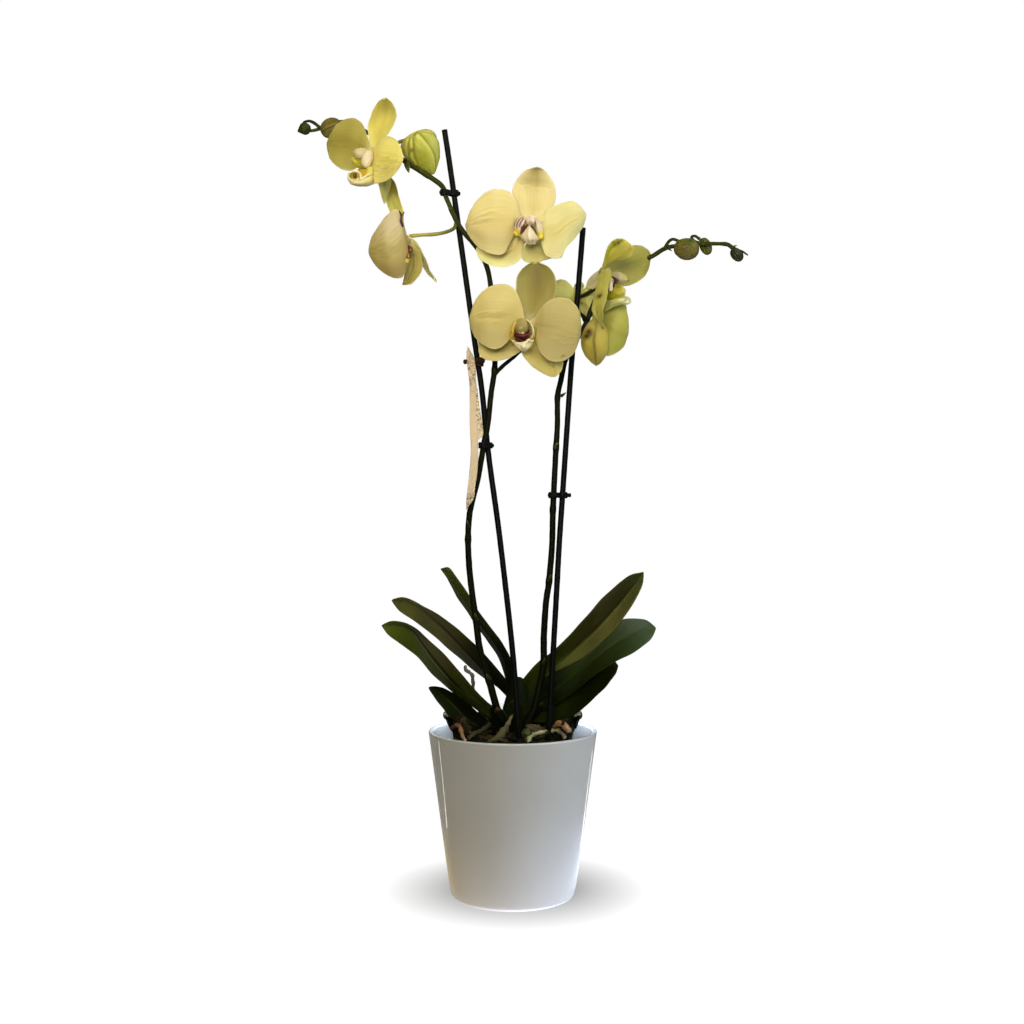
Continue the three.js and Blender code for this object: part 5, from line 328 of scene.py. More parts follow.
    [95.3, -2, 468]]], 'petal_b': [[[71.5, -2.2, 484.4], [71.7, -2.2, 482.4], [71.9, -2.2, 480.4]], [[70.1, 8, 490.5],
    [70.5, 8, 486.3], [70.9, 8, 482.2]], [[69.2, 9.8, 491.9], [69.3, 9.7, 487.2], [69.4, 9.8, 482.5]], [[68.4, 11.6, 493.4],
    [68.1, 11.4, 488.1], [67.9, 11.6, 482.8]], [[67.6, 13.3, 494.9], [67, 13.1, 489], [66.3, 13.3, 483.1]], [[66.7, 15, 496.4],
    [65.8, 14.9, 489.9], [64.8, 15, 483.4]], [[65.7, 16.5, 497.7], [64.5, 16.6, 490.6], [63.2, 16.5, 483.6]], [[64.5, 17.8, 498.8],
    [63.1, 18.5, 491.4], [61.7, 17.8, 483.9]], [[63.1, 19.1, 499.4], [61.8, 20.4, 492.2], [60.3, 19.1, 484.8]], [[61.6, 20.3, 499.7],
    [60.5, 22.2, 493.1], [59.2, 20.3, 486]], [[60, 21.6, 499.5], [59.2, 23.6, 493.7], [58.2, 21.6, 487.5]], [[58.7, 22.9, 499],
    [58.1, 24.7, 494.2], [57.4, 22.9, 489]], [[57.5, 24.1, 498.1], [57.1, 25.6, 494.5], [56.7, 24.1, 490.5]], [[56.4, 25.4, 497.1],
    [56.2, 26.4, 494.7], [55.9, 25.4, 492.1]], [[55.4, 26.7, 496.1], [55.3, 27.2, 495], [55.1, 26.7, 493.7]], [[54.3, 28, 495.2],
    [54.3, 28, 495.2], [54.3, 28, 495.2]]], 'sepal_a': [[[69.5, -5.2, 482], [71.4, -5.2, 481.7], [73.4, -5.2, 481.4]],
    [[66.6, -10, 481.9], [69, -12, 481.3], [71.5, -10, 481.1]], [[64.4, -11.4, 479.1], [68.6, -14.4, 478.3], [73.1, -11.4, 478.2]],
    [[62.1, -12.8, 476.3], [68.2, -16.8, 475.4], [74.7, -12.8, 475.3]], [[60, -13.7, 473.4], [67.8, -18.5, 472.4], [76.1, -13.7, 472.3]],
    [[58.3, -14.2, 470.3], [67.4, -19.4, 469.2], [77, -14.2, 469.2]], [[56.8, -14.6, 467.2], [66.8, -20.2, 466], [77.4, -14.6, 466]],
    [[55.6, -14.9, 463.9], [66.2, -20.8, 462.8], [77.5, -14.9, 462.7]], [[55.4, -15, 460.4], [66.1, -21, 459.4], [77.5, -15, 459.5]],
    [[55.9, -14.7, 457], [66.4, -20.6, 456.2], [77.5, -14.7, 456.3]], [[57, -13.8, 453.8], [66.9, -19.4, 453], [77.3, -13.8, 453.1]],
    [[58.5, -12.5, 450.7], [67.3, -17.8, 450], [76.8, -12.5, 450.1]], [[60.4, -11.5, 447.9], [67.7, -16.1, 447.2], [75.5, -11.5, 447.2]],
    [[62.8, -10.4, 445.4], [68, -13.8, 444.8], [73.6, -10.4, 444.7]], [[65.5, -9.2, 443.2], [68.3, -10.9, 442.8], [71.3, -9.2, 442.7]],
    [[68.4, -8, 441.3], [68.4, -8, 441.3], [68.4, -8, 441.3]]], 'sepal_b': [[[70.8, -2.8, 481.3], [72.4, -2.8, 482.6],
    [74, -2.8, 483.8]], [[74, 4, 485.9], [75.6, 4, 487.1], [77.3, 4, 488.4]], [[75.6, 5.5, 484.9], [77.8, 6, 486.5],
    [79.9, 5.5, 487.9]], [[77.3, 7.1, 484], [80, 8.4, 485.9], [82.6, 7.1, 487.6]], [[78.8, 8.5, 482.8], [82.1, 10.2, 485.1],
    [85.2, 8.5, 487]], [[79.9, 9.5, 481.2], [83.8, 11.4, 483.7], [87.5, 9.5, 485.8]], [[80.7, 10.2, 479.5], [85, 12.2, 481.8],
    [89.1, 10.2, 483.8]], [[81.2, 10.7, 477.7], [85.8, 12.7, 479.8], [90.2, 10.7, 481.4]], [[81.7, 11, 475.8], [86.4, 13.1, 477.6],
    [90.8, 11, 478.9]], [[82.1, 11.4, 474], [86.8, 13.5, 475.4], [91.2, 11.4, 476.4]], [[82.5, 11.8, 472.1], [86.9, 13.9, 473.2],
    [91.1, 11.8, 473.8]], [[83, 12.4, 470.3], [86.8, 14.3, 471], [90.3, 12.4, 471.4]], [[83.5, 13.2, 468.4], [86.4, 14.7, 469],
    [89, 13.2, 469.2]], [[83.9, 14.1, 466.6], [85.8, 15.1, 467], [87.6, 14.1, 467.1]], [[84.3, 15.1, 464.8], [85.3, 15.6, 465],
    [86.1, 15.1, 465.1]], [[84.8, 16, 463], [84.8, 16, 463], [84.8, 16, 463]]]}, 'flower_7': {'centre': [53.9, 20, 501],
    'dorsal': [[[52, 20.6, 501.7], [54, 20.6, 501.7], [56, 20.6, 501.7]], [[52.4, 24, 505.6], [54.5, 24, 505.6], [56.6, 24, 505.6]],
    [[52.2, 24.3, 506.5], [54.8, 24.7, 506.5], [57.3, 24.3, 506.4]], [[52, 24.6, 507.4], [55, 25.6, 507.4], [57.9, 24.6, 507.1]],
    [[51.8, 24.9, 508.3], [55.3, 26.4, 508.3], [58.6, 24.9, 507.8]], [[51.6, 25.1, 509.2], [55.5, 27.1, 509.1], [59.3, 25.1, 508.6]],
    [[51.5, 25.4, 510.1], [55.8, 27.5, 510], [59.9, 25.4, 509.4]], [[51.7, 25.7, 511], [56.1, 27.8, 510.9], [60.4, 25.7, 510.2]],
    [[52.1, 26, 511.9], [56.4, 28, 511.8], [60.5, 26, 511.2]], [[52.6, 26.3, 512.6], [56.4, 28.1, 512.6], [60.1, 26.3, 512.2]],
    [[53.2, 26.6, 513.3], [56.5, 28.1, 513.3], [59.6, 26.6, 513]], [[53.8, 26.9, 514], [56.5, 28.1, 514], [59, 26.9, 513.7]],
    [[54.5, 27.1, 514.6], [56.4, 28.1, 514.7], [58.3, 27.1, 514.4]], [[55.1, 27.4, 515.3], [56.4, 28, 515.3], [57.6, 27.4, 515.2]],
    [[55.8, 27.7, 516], [56.4, 28, 516], [57, 27.7, 515.9]], [[56.4, 28, 516.6], [56.4, 28, 516.6], [56.4, 28, 516.6]]],
    'petal_a': [[[52.3, 20, 506.8], [51.8, 20, 501.8], [51.4, 20, 496.8]], [[50.7, 19.5, 508.6], [50.3, 18.9, 501.5],
    [49.9, 19.5, 494.6]], [[49.3, 18.9, 510.5], [48.8, 17.6, 501.2], [48.4, 18.9, 492.3]], [[47.7, 18.5, 512.3], [47.2, 16.7, 501],
    [46.9, 18.5, 490.1]], [[45.9, 18.1, 513.8], [45.3, 16.2, 500.9], [44.9, 18.1, 488.3]], [[43.8, 18, 514.9], [43, 16, 501],
    [42.3, 18, 487.5]], [[41.4, 17.9, 515.4], [40.5, 15.9, 501.2], [39.7, 17.9, 487.4]], [[39, 17.8, 515.4], [38, 15.8, 501.4],
    [37.1, 17.8, 487.9]], [[36.8, 17.9, 514.6], [35.7, 15.8, 501.6], [34.8, 17.9, 489.1]], [[34.8, 17.9, 513.3], [33.8, 15.9, 501.9],
    [32.9, 17.9, 491]], [[33, 18.2, 511.8], [32.1, 16.2, 502.2], [31.4, 18.2, 493.2]], [[31.5, 18.8, 510], [30.8, 16.8, 502.5],
    [30.2, 18.8, 495.6]], [[30.4, 20.1, 508], [29.9, 18.2, 502.9], [29.5, 20.1, 498.3]], [[29.7, 23.2, 506.1], [29.4, 22, 503.5],
    [29.2, 23.2, 501.3]], [[28.9, 26, 504.2], [28.9, 26, 504.2], [28.9, 26, 504.2]]], 'petal_b': [[[54.2, 20, 503.1],
    [54.4, 20, 501.1], [54.6, 20, 499.1]], [[56.4, 20, 506], [56.9, 20, 501.8], [57.3, 20, 497.6]], [[57.9, 19.5, 506.9],
    [58.4, 19.2, 501.5], [58.9, 19.5, 496.1]], [[59.3, 18.9, 507.9], [59.9, 18.3, 501.1], [60.5, 18.9, 494.6]], [[60.7, 18.4, 508.8],
    [61.4, 17.6, 500.9], [62.2, 18.4, 493.2]], [[62.2, 18.1, 509.6], [63.2, 17.1, 500.9], [64.2, 18.1, 492.4]], [[63.9, 18, 510.2],
    [65.1, 17, 501.2], [66.4, 18, 492.4]], [[65.5, 18.1, 510.8], [67, 16.9, 501.7], [68.5, 18.1, 492.9]], [[67.2, 18.3, 511.2],
    [68.8, 16.8, 502.3], [70.5, 18.3, 493.8]], [[69, 18.5, 511.4], [70.6, 16.9, 503], [72.4, 18.5, 495]], [[70.8, 18.9, 511.3],
    [72.2, 16.9, 503.8], [73.8, 18.9, 496.7]], [[72.4, 19.4, 510.7], [73.5, 17.2, 504.4], [74.9, 19.4, 498.7]], [[74, 20.2, 509.9],
    [74.8, 17.8, 505.1], [75.8, 20.2, 500.8]], [[75.5, 21.7, 509.1], [75.9, 19.1, 505.7], [76.7, 21.7, 503]], [[77, 24, 508.3],
    [77.2, 22.7, 506.7], [77.6, 24, 505.3]], [[78.6, 26, 507.6], [78.6, 26, 507.6], [78.6, 26, 507.6]]], 'sepal_a': [[[52, 20.6, 501.3],
    [53.9, 20.6, 500.6], [55.8, 20.6, 499.8]], [[51.6, 24, 498.9], [53.7, 24, 498.1], [55.8, 24, 497.3]], [[50, 24.7, 497.2],
    [52.9, 24.4, 496.2], [55.8, 24.2, 495.1]], [[48.3, 25.4, 495.5], [52.1, 24.9, 494.3], [55.9, 24.4, 493]], [[46.7, 26, 493.9],
    [51.4, 25.3, 492.4], [56, 24.6, 490.9]], [[45.1, 26.6, 492.1], [50.6, 25.7, 490.4], [56, 24.8, 488.8]], [[43.8, 27.2, 490.1],
    [49.9, 26.1, 488.4], [56, 25.1, 486.7]], [[42.8, 27.6, 488], [49.3, 26.5, 486.3], [55.7, 25.4, 484.6]], [[42, 28, 485.7],
    [48.7, 26.9, 484.1], [55.5, 25.8, 482.5]], [[41.5, 28.4, 483.4], [48.3, 27.3, 481.9], [55.1, 26.3, 480.4]], [[41.4, 28.8, 481],
    [48, 27.8, 479.7], [54.6, 26.8, 478.4]], [[41.9, 29.4, 478.7], [47.8, 28.4, 477.6], [53.8, 27.5, 476.5]], [[43, 30, 476.6],
    [47.8, 29.2, 475.7], [52.6, 28.4, 474.8]], [[44.5, 30.6, 474.7], [47.8, 30.1, 474.1], [51.1, 29.5, 473.4]], [[46.2, 31.3, 473],
    [47.8, 31.1, 472.6], [49.4, 30.8, 472.3]], [[47.7, 32, 471.1], [47.7, 32, 471.1], [47.7, 32, 471.1]]], 'sepal_b': [[[52.5, 20.6, 499.8],
    [54.2, 20.6, 500.6], [55.9, 20.6, 501.4]], [[54.1, 24, 497.3], [55.8, 24, 498.1], [57.5, 24, 498.9]], [[54.1, 24.2, 496.1],
    [56.2, 24.4, 497], [58.3, 24.7, 498]], [[54, 24.4, 495], [56.6, 24.9, 496], [59.2, 25.4, 497]], [[54, 24.6, 493.9],
    [57, 25.3, 495], [60.1, 26, 496]], [[54, 24.8, 492.8], [57.5, 25.7, 493.9], [60.9, 26.6, 495]], [[54.1, 25.1, 491.7],
    [57.9, 26.1, 492.8], [61.6, 27.2, 493.9]], [[54.4, 25.4, 490.6], [58.2, 26.5, 491.7], [62.1, 27.6, 492.7]], [[54.6, 25.8, 489.5],
    [58.6, 26.9, 490.5], [62.5, 28, 491.5]], [[55, 26.3, 488.5], [58.9, 27.3, 489.3], [62.8, 28.4, 490.2]], [[55.5, 26.8, 487.5],
    [59.2, 27.8, 488.2], [62.9, 28.8, 488.9]], [[56.1, 27.5, 486.5], [59.4, 28.4, 487.1], [62.8, 29.4, 487.7]], [[56.8, 28.4, 485.8],
    [59.5, 29.2, 486.2], [62.2, 30, 486.6]], [[57.7, 29.5, 485.1], [59.5, 30.1, 485.3], [61.3, 30.6, 485.6]], [[58.6, 30.8, 484.5],
    [59.5, 31.1, 484.6], [60.4, 31.3, 484.7]], [[59.5, 32, 483.8], [59.5, 32, 483.8], [59.5, 32, 483.8]]]}}
FACING = {'flower_1': {'n': [0.05, -1, -0.12], 'up': [0.06, 0, 1]}, 'flower_2': {'n': [-0.05, -1, -0.16], 'up': [0.06, 0, 1]},
    'flower_3': {'n': [-0.66, -0.72, -0.2], 'up': [0.2, 0.1, 1]}, 'flower_4': {'n': [-0.45, 0.75, -0.45], 'up': [-0.2, 0.2, 1]},
    'flower_5': {'n': [0.86, -0.5, -0.12], 'up': [0.1, -0.1, 1]}, 'flower_6': {'n': [0.55, 0.8, -0.1], 'up': [-0.1, 0.1, 1]},
    'flower_7': {'n': [0.05, 1, -0.1], 'up': [0, 0, 1]}}
SPIKE_LEFT = [[-8, -20, 149.6, 3], [-12.1, -20, 157.8, 3.1], [-19.5, -17, 183.7, 2.9], [-26.9, -14, 208, 2.8], [-30.2, -11, 232.4, 2.7],
    [-32.7, -10, 248.8, 2.6], [-35.6, -9, 273.4, 2.6], [-36.8, -8, 298.1, 2.5], [-35.6, -9, 318.7, 2.5], [-32.7, -10, 332.7, 2.5],
    [-28.5, -10, 349.2, 2.4], [-25.2, -11, 368.1, 2.4], [-23.2, -11, 379.5, 2.4], [-20.3, -10, 394.3, 2.3], [-17.8, -9, 418.2, 2.3],
    [-15, -7, 438, 2.3], [-14.6, -5, 458.7, 2.2], [-16.3, -3, 487.6, 2.1], [-19.6, -2, 516.5, 2.1], [-25.3, -2, 532.1, 2],
    [-32.7, -2, 542.8, 2], [-38.5, -2, 549.3, 2], [-45.9, -2, 560, 2], [-50.1, -1, 569.2, 1.9], [-55.1, 2, 581.2, 2],
    [-58.5, 3, 590.5, 2.1], [-70.8, 3, 599.5, 2.2], [-88.2, 3, 610.2, 2.1], [-105.3, 10, 624, 1.7], [-123.4, 18, 639.1, 1.6],
    [-140.8, 24, 647.9, 1.6], [-151.9, 26, 646.7, 1.6], [-160.6, 28, 643.8, 1.5], [-168.3, 29, 642, 1.35], [-175.5, 29, 641.5, 1.1]]
SPIKE_RIGHT = [[9.2, -28, 139.5, 3.2], [10.8, -28, 147.6, 3.1], [17.3, -26, 161.2, 3], [21.9, -22, 179.4, 2.9], [25.2, -19, 197.1, 2.8],
    [25.5, -16, 219.7, 2.7], [27.3, -13, 246.5, 2.6], [29.9, -10, 264.4, 2.6], [32.4, -7, 293.9, 2.5], [33.2, -5, 322.8, 2.5],
    [34.9, -3, 357.4, 2.4], [35.8, -2, 374, 2.4], [37, 0, 394.7, 2.3], [37.2, 4, 416.4, 2.3], [40.1, 7, 430.6, 2.3],
    [43.6, 10, 446.6, 2.3], [49.5, 12, 460.1, 2.3], [58.6, 11, 472.5, 2.3], [66.1, 11, 490.8, 2.2], [73.7, 14, 507.8, 2.1],
    [84, 18, 523.3, 2], [100, 19, 530.1, 1.9], [115.3, 16, 533.9, 1.9], [127.6, 11, 540.6, 1.9], [142.4, 9, 542.8, 1.5],
    [155.1, 4, 543, 1.6], [175.3, 1, 542.4, 1.5], [181, 0, 539.4, 1.4], [186.8, 0, 536.9, 1.2], [189.9, -1, 535.7, 1],
    [193.8, -1.5, 533, 0.6]]
STAKE_LEFT = [[8.09, -34.4, 60, 2.35], [5.4, -43, 130.7, 2.35], [5, -42, 137, 2.35], [0.2, -30, 204.9, 2.35], [-10.4, -16, 298.4, 2.35],
    [-19.9, -7, 368.1, 2.35], [-25.4, -2, 421, 2.35], [-31.6, 1, 463.3, 2.35], [-49.9, 6, 592.7, 2.35], [-56.5, 7, 637.4, 2.35]]
STAKE_RIGHT = [[25.59, -30.4, 60, 2.35], [28.4, -38, 133.9, 2.35], [29.3, -36, 148.1, 2.35], [35.3, -20, 247.1, 2.35],
    [38.4, -12, 298.3, 2.35], [41.4, -6, 340.1, 2.35], [49.1, 3, 449.4, 2.35], [53.3, 4, 494.2, 2.35], [58.3, 6, 556.4, 2.35]]
STALKS_LEFT = [([[-95.9, 7, 616.8, 1.6], [-97.6, 7, 623.4, 1.5], [-94.2, 7, 627.3, 1.5], [-87.6, 7, 629.3, 1.5],
    [-80.6, 7, 631.4, 1.6]], ((80, 78, 30), (132, 134, 70))), ([[-24.5, -2, 530.5, 1.6], [-12.9, -4, 540, 1.5], [-0.6, -12, 547, 1.4],
    [9.1, -27, 551, 1.5]], ((36, 40, 12), (52, 56, 18))), ([[-15, -7, 434.7, 1.7], [-8, -7, 441.3, 1.6], [6, -10, 453.3, 1.5],
    [10.8, -20, 463, 1.4], [11.1, -33, 469.1, 1.5]], ((30, 34, 12), (34, 36, 14))), ([[-88.9, 2, 610.8, 1.4], [-96.1, -1, 612.7, 1.3],
    [-103.3, -4, 613.7, 1.3], [-109.5, -8, 614.5, 1.5]], ((36, 40, 12), (52, 56, 18))), ([[-45.9, -1, 560.2, 1.6], [-49.2, -3, 554.1, 1.5],
    [-59.8, -5, 550.1, 1.5], [-74.5, -7, 548.6, 1.5], [-84.2, -8, 547.6, 1.5]], ((90, 88, 34), (176, 164, 78))), ([[-162.3, 28, 643.8, 1.4],
    [-166.5, 28, 647.6, 1.3], [-171.1, 28, 649.7, 1.2], [-175.3, 28, 648.7, 1.1], [-177.4, 28, 645.5, 1.1]], ((46, 52, 16),
    (40, 46, 14)))]
STALKS_RIGHT = [([[89.8, 18, 526.6, 1.6], [81, 10, 523.9, 1.4], [74.6, 1, 520.2, 1.5]], ((36, 40, 12), (52, 56, 18))),
    ([[66.1, 11, 490.8, 1.5], [68.4, 7, 487, 1.4], [70.6, 2, 484, 1.5]], ((36, 40, 12), (52, 56, 18))), ([[73.7, 14, 507.8, 1.6],
    [67.8, 13, 506.8, 1.5], [61.2, 14, 502.8, 1.5], [56.4, 18, 500.8, 1.5]], ((30, 36, 12), (40, 44, 16))), ([[126.4, 11, 539.4, 1.4],
    [128.7, 9, 544.4, 1.3], [132.6, 7, 547.2, 1.25], [137.7, 4, 545.3, 1.25]], ((52, 58, 22), (58, 64, 24))), ([[154.2, 4, 543.3, 1.3],
    [149.3, 4, 546.2, 1.2], [148.1, 4, 549, 1.1], [151.4, 4.5, 549.4, 1.2], [156.1, 6, 546.1, 1.2]], ((40, 46, 16), (60, 66, 26)))]
BRACTS_LEFT = [([-11.87, -22.4, 157.36], [-0.3, 0.1, 1], [0.1, -1, 0.05], 5, 6.4, (70, 46, 30), (128, 90, 72)), ([-19.17, -19.5, 183.17],
    [-0.3, 0.1, 1], [-0.3, -1, 0], 6.5, 4.6, (52, 52, 22), (96, 84, 50)), ([-30, -13.4, 231.77], [-0.1, 0.05, 1], [-0.4, -1, 0],
    7, 4.4, (48, 50, 20), (92, 84, 44)), ([-36.59, -11, 308.11], [0.05, 0, 1], [-0.8, -0.7, 0], 6.5, 4.2, (44, 48, 18),
    (90, 84, 44)), ([-15.38, -9, 434.55], [0.3, -0.2, 1], [-0.6, -0.8, 0], 5, 4, (40, 44, 16), (80, 76, 36)), ([-25.29, -4, 531],
    [-0.4, 0, 1], [0.9, -0.5, 0], 4.6, 3.6, (40, 44, 16), (80, 76, 36)), ([-49.99, -2.8, 568.08], [-0.3, 0, 1], [-0.8, -0.6, 0],
    4.2, 3.4, (58, 62, 26), (98, 94, 46)), ([-73.21, 1, 600.78], [-1, 0, 0.5], [0.1, -0.9, 0.5], 4.4, 3.2, (62, 66, 28),
    (110, 106, 54)), ([-88.53, 2, 610.43], [0.42, -0.1, -1], [-0.55, -0.8, -0.2], 10.5, 6.6, (84, 92, 44), (132, 136, 78)),
    ([-88.98, 2.6, 613.42], [-0.3, -0.1, -0.6], [-0.3, -0.9, 0.2], 4, 4.6, (60, 84, 62), (84, 104, 70))]
BRACTS_RIGHT = [([25.19, -21.8, 196.58], [0.05, 0.05, 1], [0.5, -0.8, 0], 6.5, 4.4, (44, 46, 20), (88, 84, 42)),
    ([29.79, -12.6, 263.79], [0.1, 0.05, 1], [0.6, -0.8, 0], 6.5, 4.2, (44, 48, 20), (104, 100, 52)), ([35.29, -4.4, 373.09],
    [0.05, 0.05, 1], [0.8, -0.6, 0], 5.5, 4, (58, 62, 24), (112, 108, 52)), ([39.99, 1.6, 416.25], [0.6, -0.1, 0.8],
    [0.7, -0.7, 0], 5, 3.6, (52, 56, 20), (100, 96, 48)), ([60.98, 9, 478.95], [-0.4, -0.2, 0.9], [-0.7, -0.7, 0.1],
    9, 6.4, (26, 26, 12), (34, 30, 20)), ([73.62, 12.4, 507.58], [-0.6, 0, 0.9], [-0.5, -0.9, 0.2], 5, 3.6, (44, 48, 18),
    (90, 84, 40)), ([128.31, 9.6, 540.4], [0.5, -0.2, -0.2], [0.1, -0.8, -0.8], 4.4, 3, (54, 58, 24), (92, 92, 46)),
    ([154.96, 3.2, 543.9], [-0.2, -0.3, 1], [0.2, -0.6, 0.8], 3.6, 2.8, (84, 92, 40), (120, 124, 60)), ([181.72, -0.6, 540.52],
    [0.8, -0.3, -0.3], [0.1, -0.7, 0.7], 3.4, 2.4, (60, 62, 36), (104, 100, 70))]
ROOTS = {'root_1': ([[-49.8, -27, 145.8, 1.1], [-46.9, -30, 148.8, 1.4], [-43, -35, 148.8, 1.7], [-41.5, -39, 145.4, 1.8],
    [-40.4, -43, 142, 1.7], [-37.9, -46, 138.9, 1.4]], [(70, 48, 30), (130, 84, 50), (176, 124, 80), (182, 136, 90),
    (206, 180, 140)]), 'root_2': ([[-18.6, -20, 148, 1.6], [-23.4, -28, 145.2, 1.8], [-29.7, -34, 142.9, 1.9], [-35.2, -40, 139.9, 1.8]],
    [(40, 38, 20), (62, 60, 30), (74, 70, 34), (88, 82, 44)]), 'root_3': ([[-0.19, -24, 155.97, 0.6], [-2.64, -26, 151.38, 1.6],
    [-5.47, -31, 146.48, 2.6], [-9.08, -37, 142.61, 3], [-13.45, -43, 139.59, 2.5], [-19.03, -46, 137.69, 1.8]], [(112, 100, 66),
    (138, 126, 92), (128, 118, 86), (106, 98, 66), (88, 82, 50)]), 'root_4': ([[42, -31, 138.7, 1.5], [39.5, -33, 143.2, 1.7],
    [35, -35, 145.5, 1.75], [28.5, -37, 145, 1.75], [22, -39, 143.9, 1.7], [17.1, -41, 142.9, 1.65], [13.8, -44, 141, 1.65],
    [12.2, -46, 137.3, 1.5]], [(214, 196, 160), (206, 182, 146), (196, 168, 130), (220, 198, 160), (226, 206, 170), (206, 198, 140),
    (228, 220, 188)]), 'root_5': ([[33.22, -28, 145.99, 1.4], [35.38, -32, 149.25, 2.1], [38.69, -35, 150.87, 2.7], [42.37, -36, 148.6, 2.9],
    [45.81, -35, 144.87, 2.4]], [(150, 124, 84), (208, 172, 116), (204, 148, 104), (212, 164, 120), (190, 152, 110)]),
    'aerial_root': ([[-17.3, 4, 141.6, 1.62], [-24, 9, 149.2, 1.62], [-29.9, 11, 158.1, 1.62], [-32.8, 9, 167.6, 1.56],
    [-33.2, 6, 177.3, 1.5], [-33.1, 4, 183.8, 1.5], [-35.6, 3, 187, 1.44], [-39.2, 3, 189.4, 1.38], [-39.3, 4, 192.7, 1.25]],
    [(62, 56, 44), (84, 76, 62), (116, 108, 94), (128, 120, 106), (140, 130, 112)])}
CROWN = [[1, 2, 122, 8], [1, 2, 134, 11], [2, 2, 146, 12], [3, 4, 158, 11], [4, 6, 170, 8.5], [4, 7, 180, 5.5]]
SHEATHS = [([-6, -9, 136], [-0.35, -0.25, 1], [-0.5, -0.85, 0.1], 30, 17, (26, 34, 12), (70, 72, 34)), ([9, -8, 136],
    [0.5, -0.1, 1], [0.6, -0.8, 0.1], 32, 18, (24, 32, 10), (66, 70, 30)), ([1, -12, 135], [0.02, -0.1, 1], [0.05, -1, 0.05],
    34, 17, (30, 38, 14), (84, 80, 42)), ([-11, 3, 137], [-0.5, 0.1, 1], [-1, 0.1, 0], 24, 15, (26, 34, 12), (70, 72, 34)),
    ([13, 4, 138], [0.5, 0.1, 1], [1, 0.1, 0], 26, 17, (26, 34, 12), (70, 72, 34)), ([0, 11, 137], [0, 0.2, 1], [0, 1, 0],
    26, 16, (26, 34, 12), (70, 72, 34))]
SHEATH_BROAD = [[[-0.6, 2, 146.1], [7.7, -4, 147], [16, 0, 146.4]], [[0.1, 4.6, 152.2], [9.2, -1.5, 152.5], [18.4, 2.5, 151.3]],
    [[1, 6.8, 158.3], [10.9, 1, 158], [20.8, 5, 156.2]], [[2.4, 8.6, 164.4], [12.6, 3.5, 163.5], [22.9, 7.5, 161.2]],
    [[5.3, 10.4, 169.9], [15, 5.9, 168.8], [24.8, 10, 166.4]], [[10.1, 12.4, 174.2], [18.1, 8.6, 173.5], [26.3, 12.5, 171.7]],
    [[15.3, 15, 177.8], [21.3, 12.4, 177.8], [27.2, 15, 177.1]], [[19.8, 17.5, 182.3], [23.3, 16.2, 182.6], [26.9, 17.5, 182.5]],
    [[23.9, 20, 187.2], [23.9, 20, 187.2], [23.9, 20, 187.2]]]
CHIPS = [((19, -33, 146.2), (15, 8, 4.4), (0.2, 0.15, 0.3), (112, 98, 70)), ((11, -41, 144.6), (6.5, 8, 4.4), (0.1, -0.3, 0.8),
    (104, 104, 62)), ((26, 26, 146), (14, 9, 5), (0.1, 0.2, -0.5), (70, 52, 34)), ((-24, 30, 146), (13, 8, 5), (-0.2, 0.1, 0.9),
    (62, 46, 30)), ((-38, -8, 145.5), (12, 7, 5), (0.2, -0.1, 0.4), (58, 42, 28))]
LABEL_ROWS = [[[-37.3, -9, 457.2], [-37, -9, 457.2], [-36.8, -9, 457.2]], [[-38, -9.3, 448.3], [-35.2, -9.3, 448.8],
    [-32.4, -9.3, 449.3]], [[-37.1, -9.8, 439.3], [-33.8, -9.8, 440], [-30.5, -9.8, 440.6]], [[-35.9, -10.3, 430.4],
    [-33, -10.3, 431], [-30.1, -10.3, 431.5]], [[-35.3, -11, 421.4], [-32.4, -11, 422], [-29.5, -11, 422.5]], [[-35.3, -12, 412.4],
    [-32, -12, 412.9], [-28.7, -12, 413.4]], [[-35.3, -13.7, 403.4], [-31.9, -13.7, 403.9], [-28.6, -13.7, 404.3]], [[-35.2, -15.6, 394.4],
    [-31.9, -15.6, 394.8], [-28.5, -15.6, 395.2]], [[-34.9, -17.3, 385.4], [-31.7, -17.3, 385.8], [-28.4, -17.3, 386.2]],
    [[-34.3, -18, 376.5], [-31.2, -18, 376.8], [-28.2, -18, 377.2]], [[-34.4, -18.4, 367.5], [-31.2, -18.4, 367.9], [-28, -18.4, 368.2]],
    [[-35, -18.8, 358.6], [-31.7, -18.8, 358.9], [-28.4, -18.8, 359.2]], [[-35.8, -19.1, 349.7], [-32.6, -19.1, 350],
    [-29.4, -19.1, 350.2]], [[-36.8, -19.5, 340.8], [-33.7, -19.5, 341.1], [-30.7, -19.5, 341.3]], [[-37.8, -19.8, 332],
    [-34.8, -19.8, 332.2], [-31.9, -19.8, 332.4]], [[-38, -20, 323.1], [-38, -20, 323.1], [-38, -20, 323.1]]]
LABEL_FLAP = [[[-30, -14.5, 422.8], [-29.5, -14.5, 422.8], [-28.9, -14.5, 422.8]], [[-30, -14.6, 417.9], [-29.2, -14.6, 417.9],
    [-28.3, -14.6, 417.8]], [[-29.9, -14.7, 413.1], [-28.8, -14.7, 413], [-27.8, -14.7, 412.8]], [[-29.9, -14.8, 408.3],
    [-28.5, -14.8, 408.1], [-27.2, -14.8, 407.9]], [[-30, -14.9, 403.5], [-28.2, -14.9, 403.2], [-26.4, -14.9, 403]],
    [[-30.1, -15.1, 398.7], [-27.8, -15.1, 398.4], [-25.5, -15.1, 398.1]], [[-30.2, -15.2, 393.9], [-27.4, -15.2, 393.5],
    [-24.6, -15.2, 393.2]], [[-30.1, -15.3, 389], [-27.1, -15.3, 388.6], [-24.1, -15.3, 388.2]], [[-29.9, -15.4, 384.2],
    [-27.3, -15.4, 383.8], [-24.7, -15.4, 383.3]], [[-29.6, -15.5, 379.4], [-29.6, -15.5, 379.4], [-29.6, -15.5, 379.4]]]
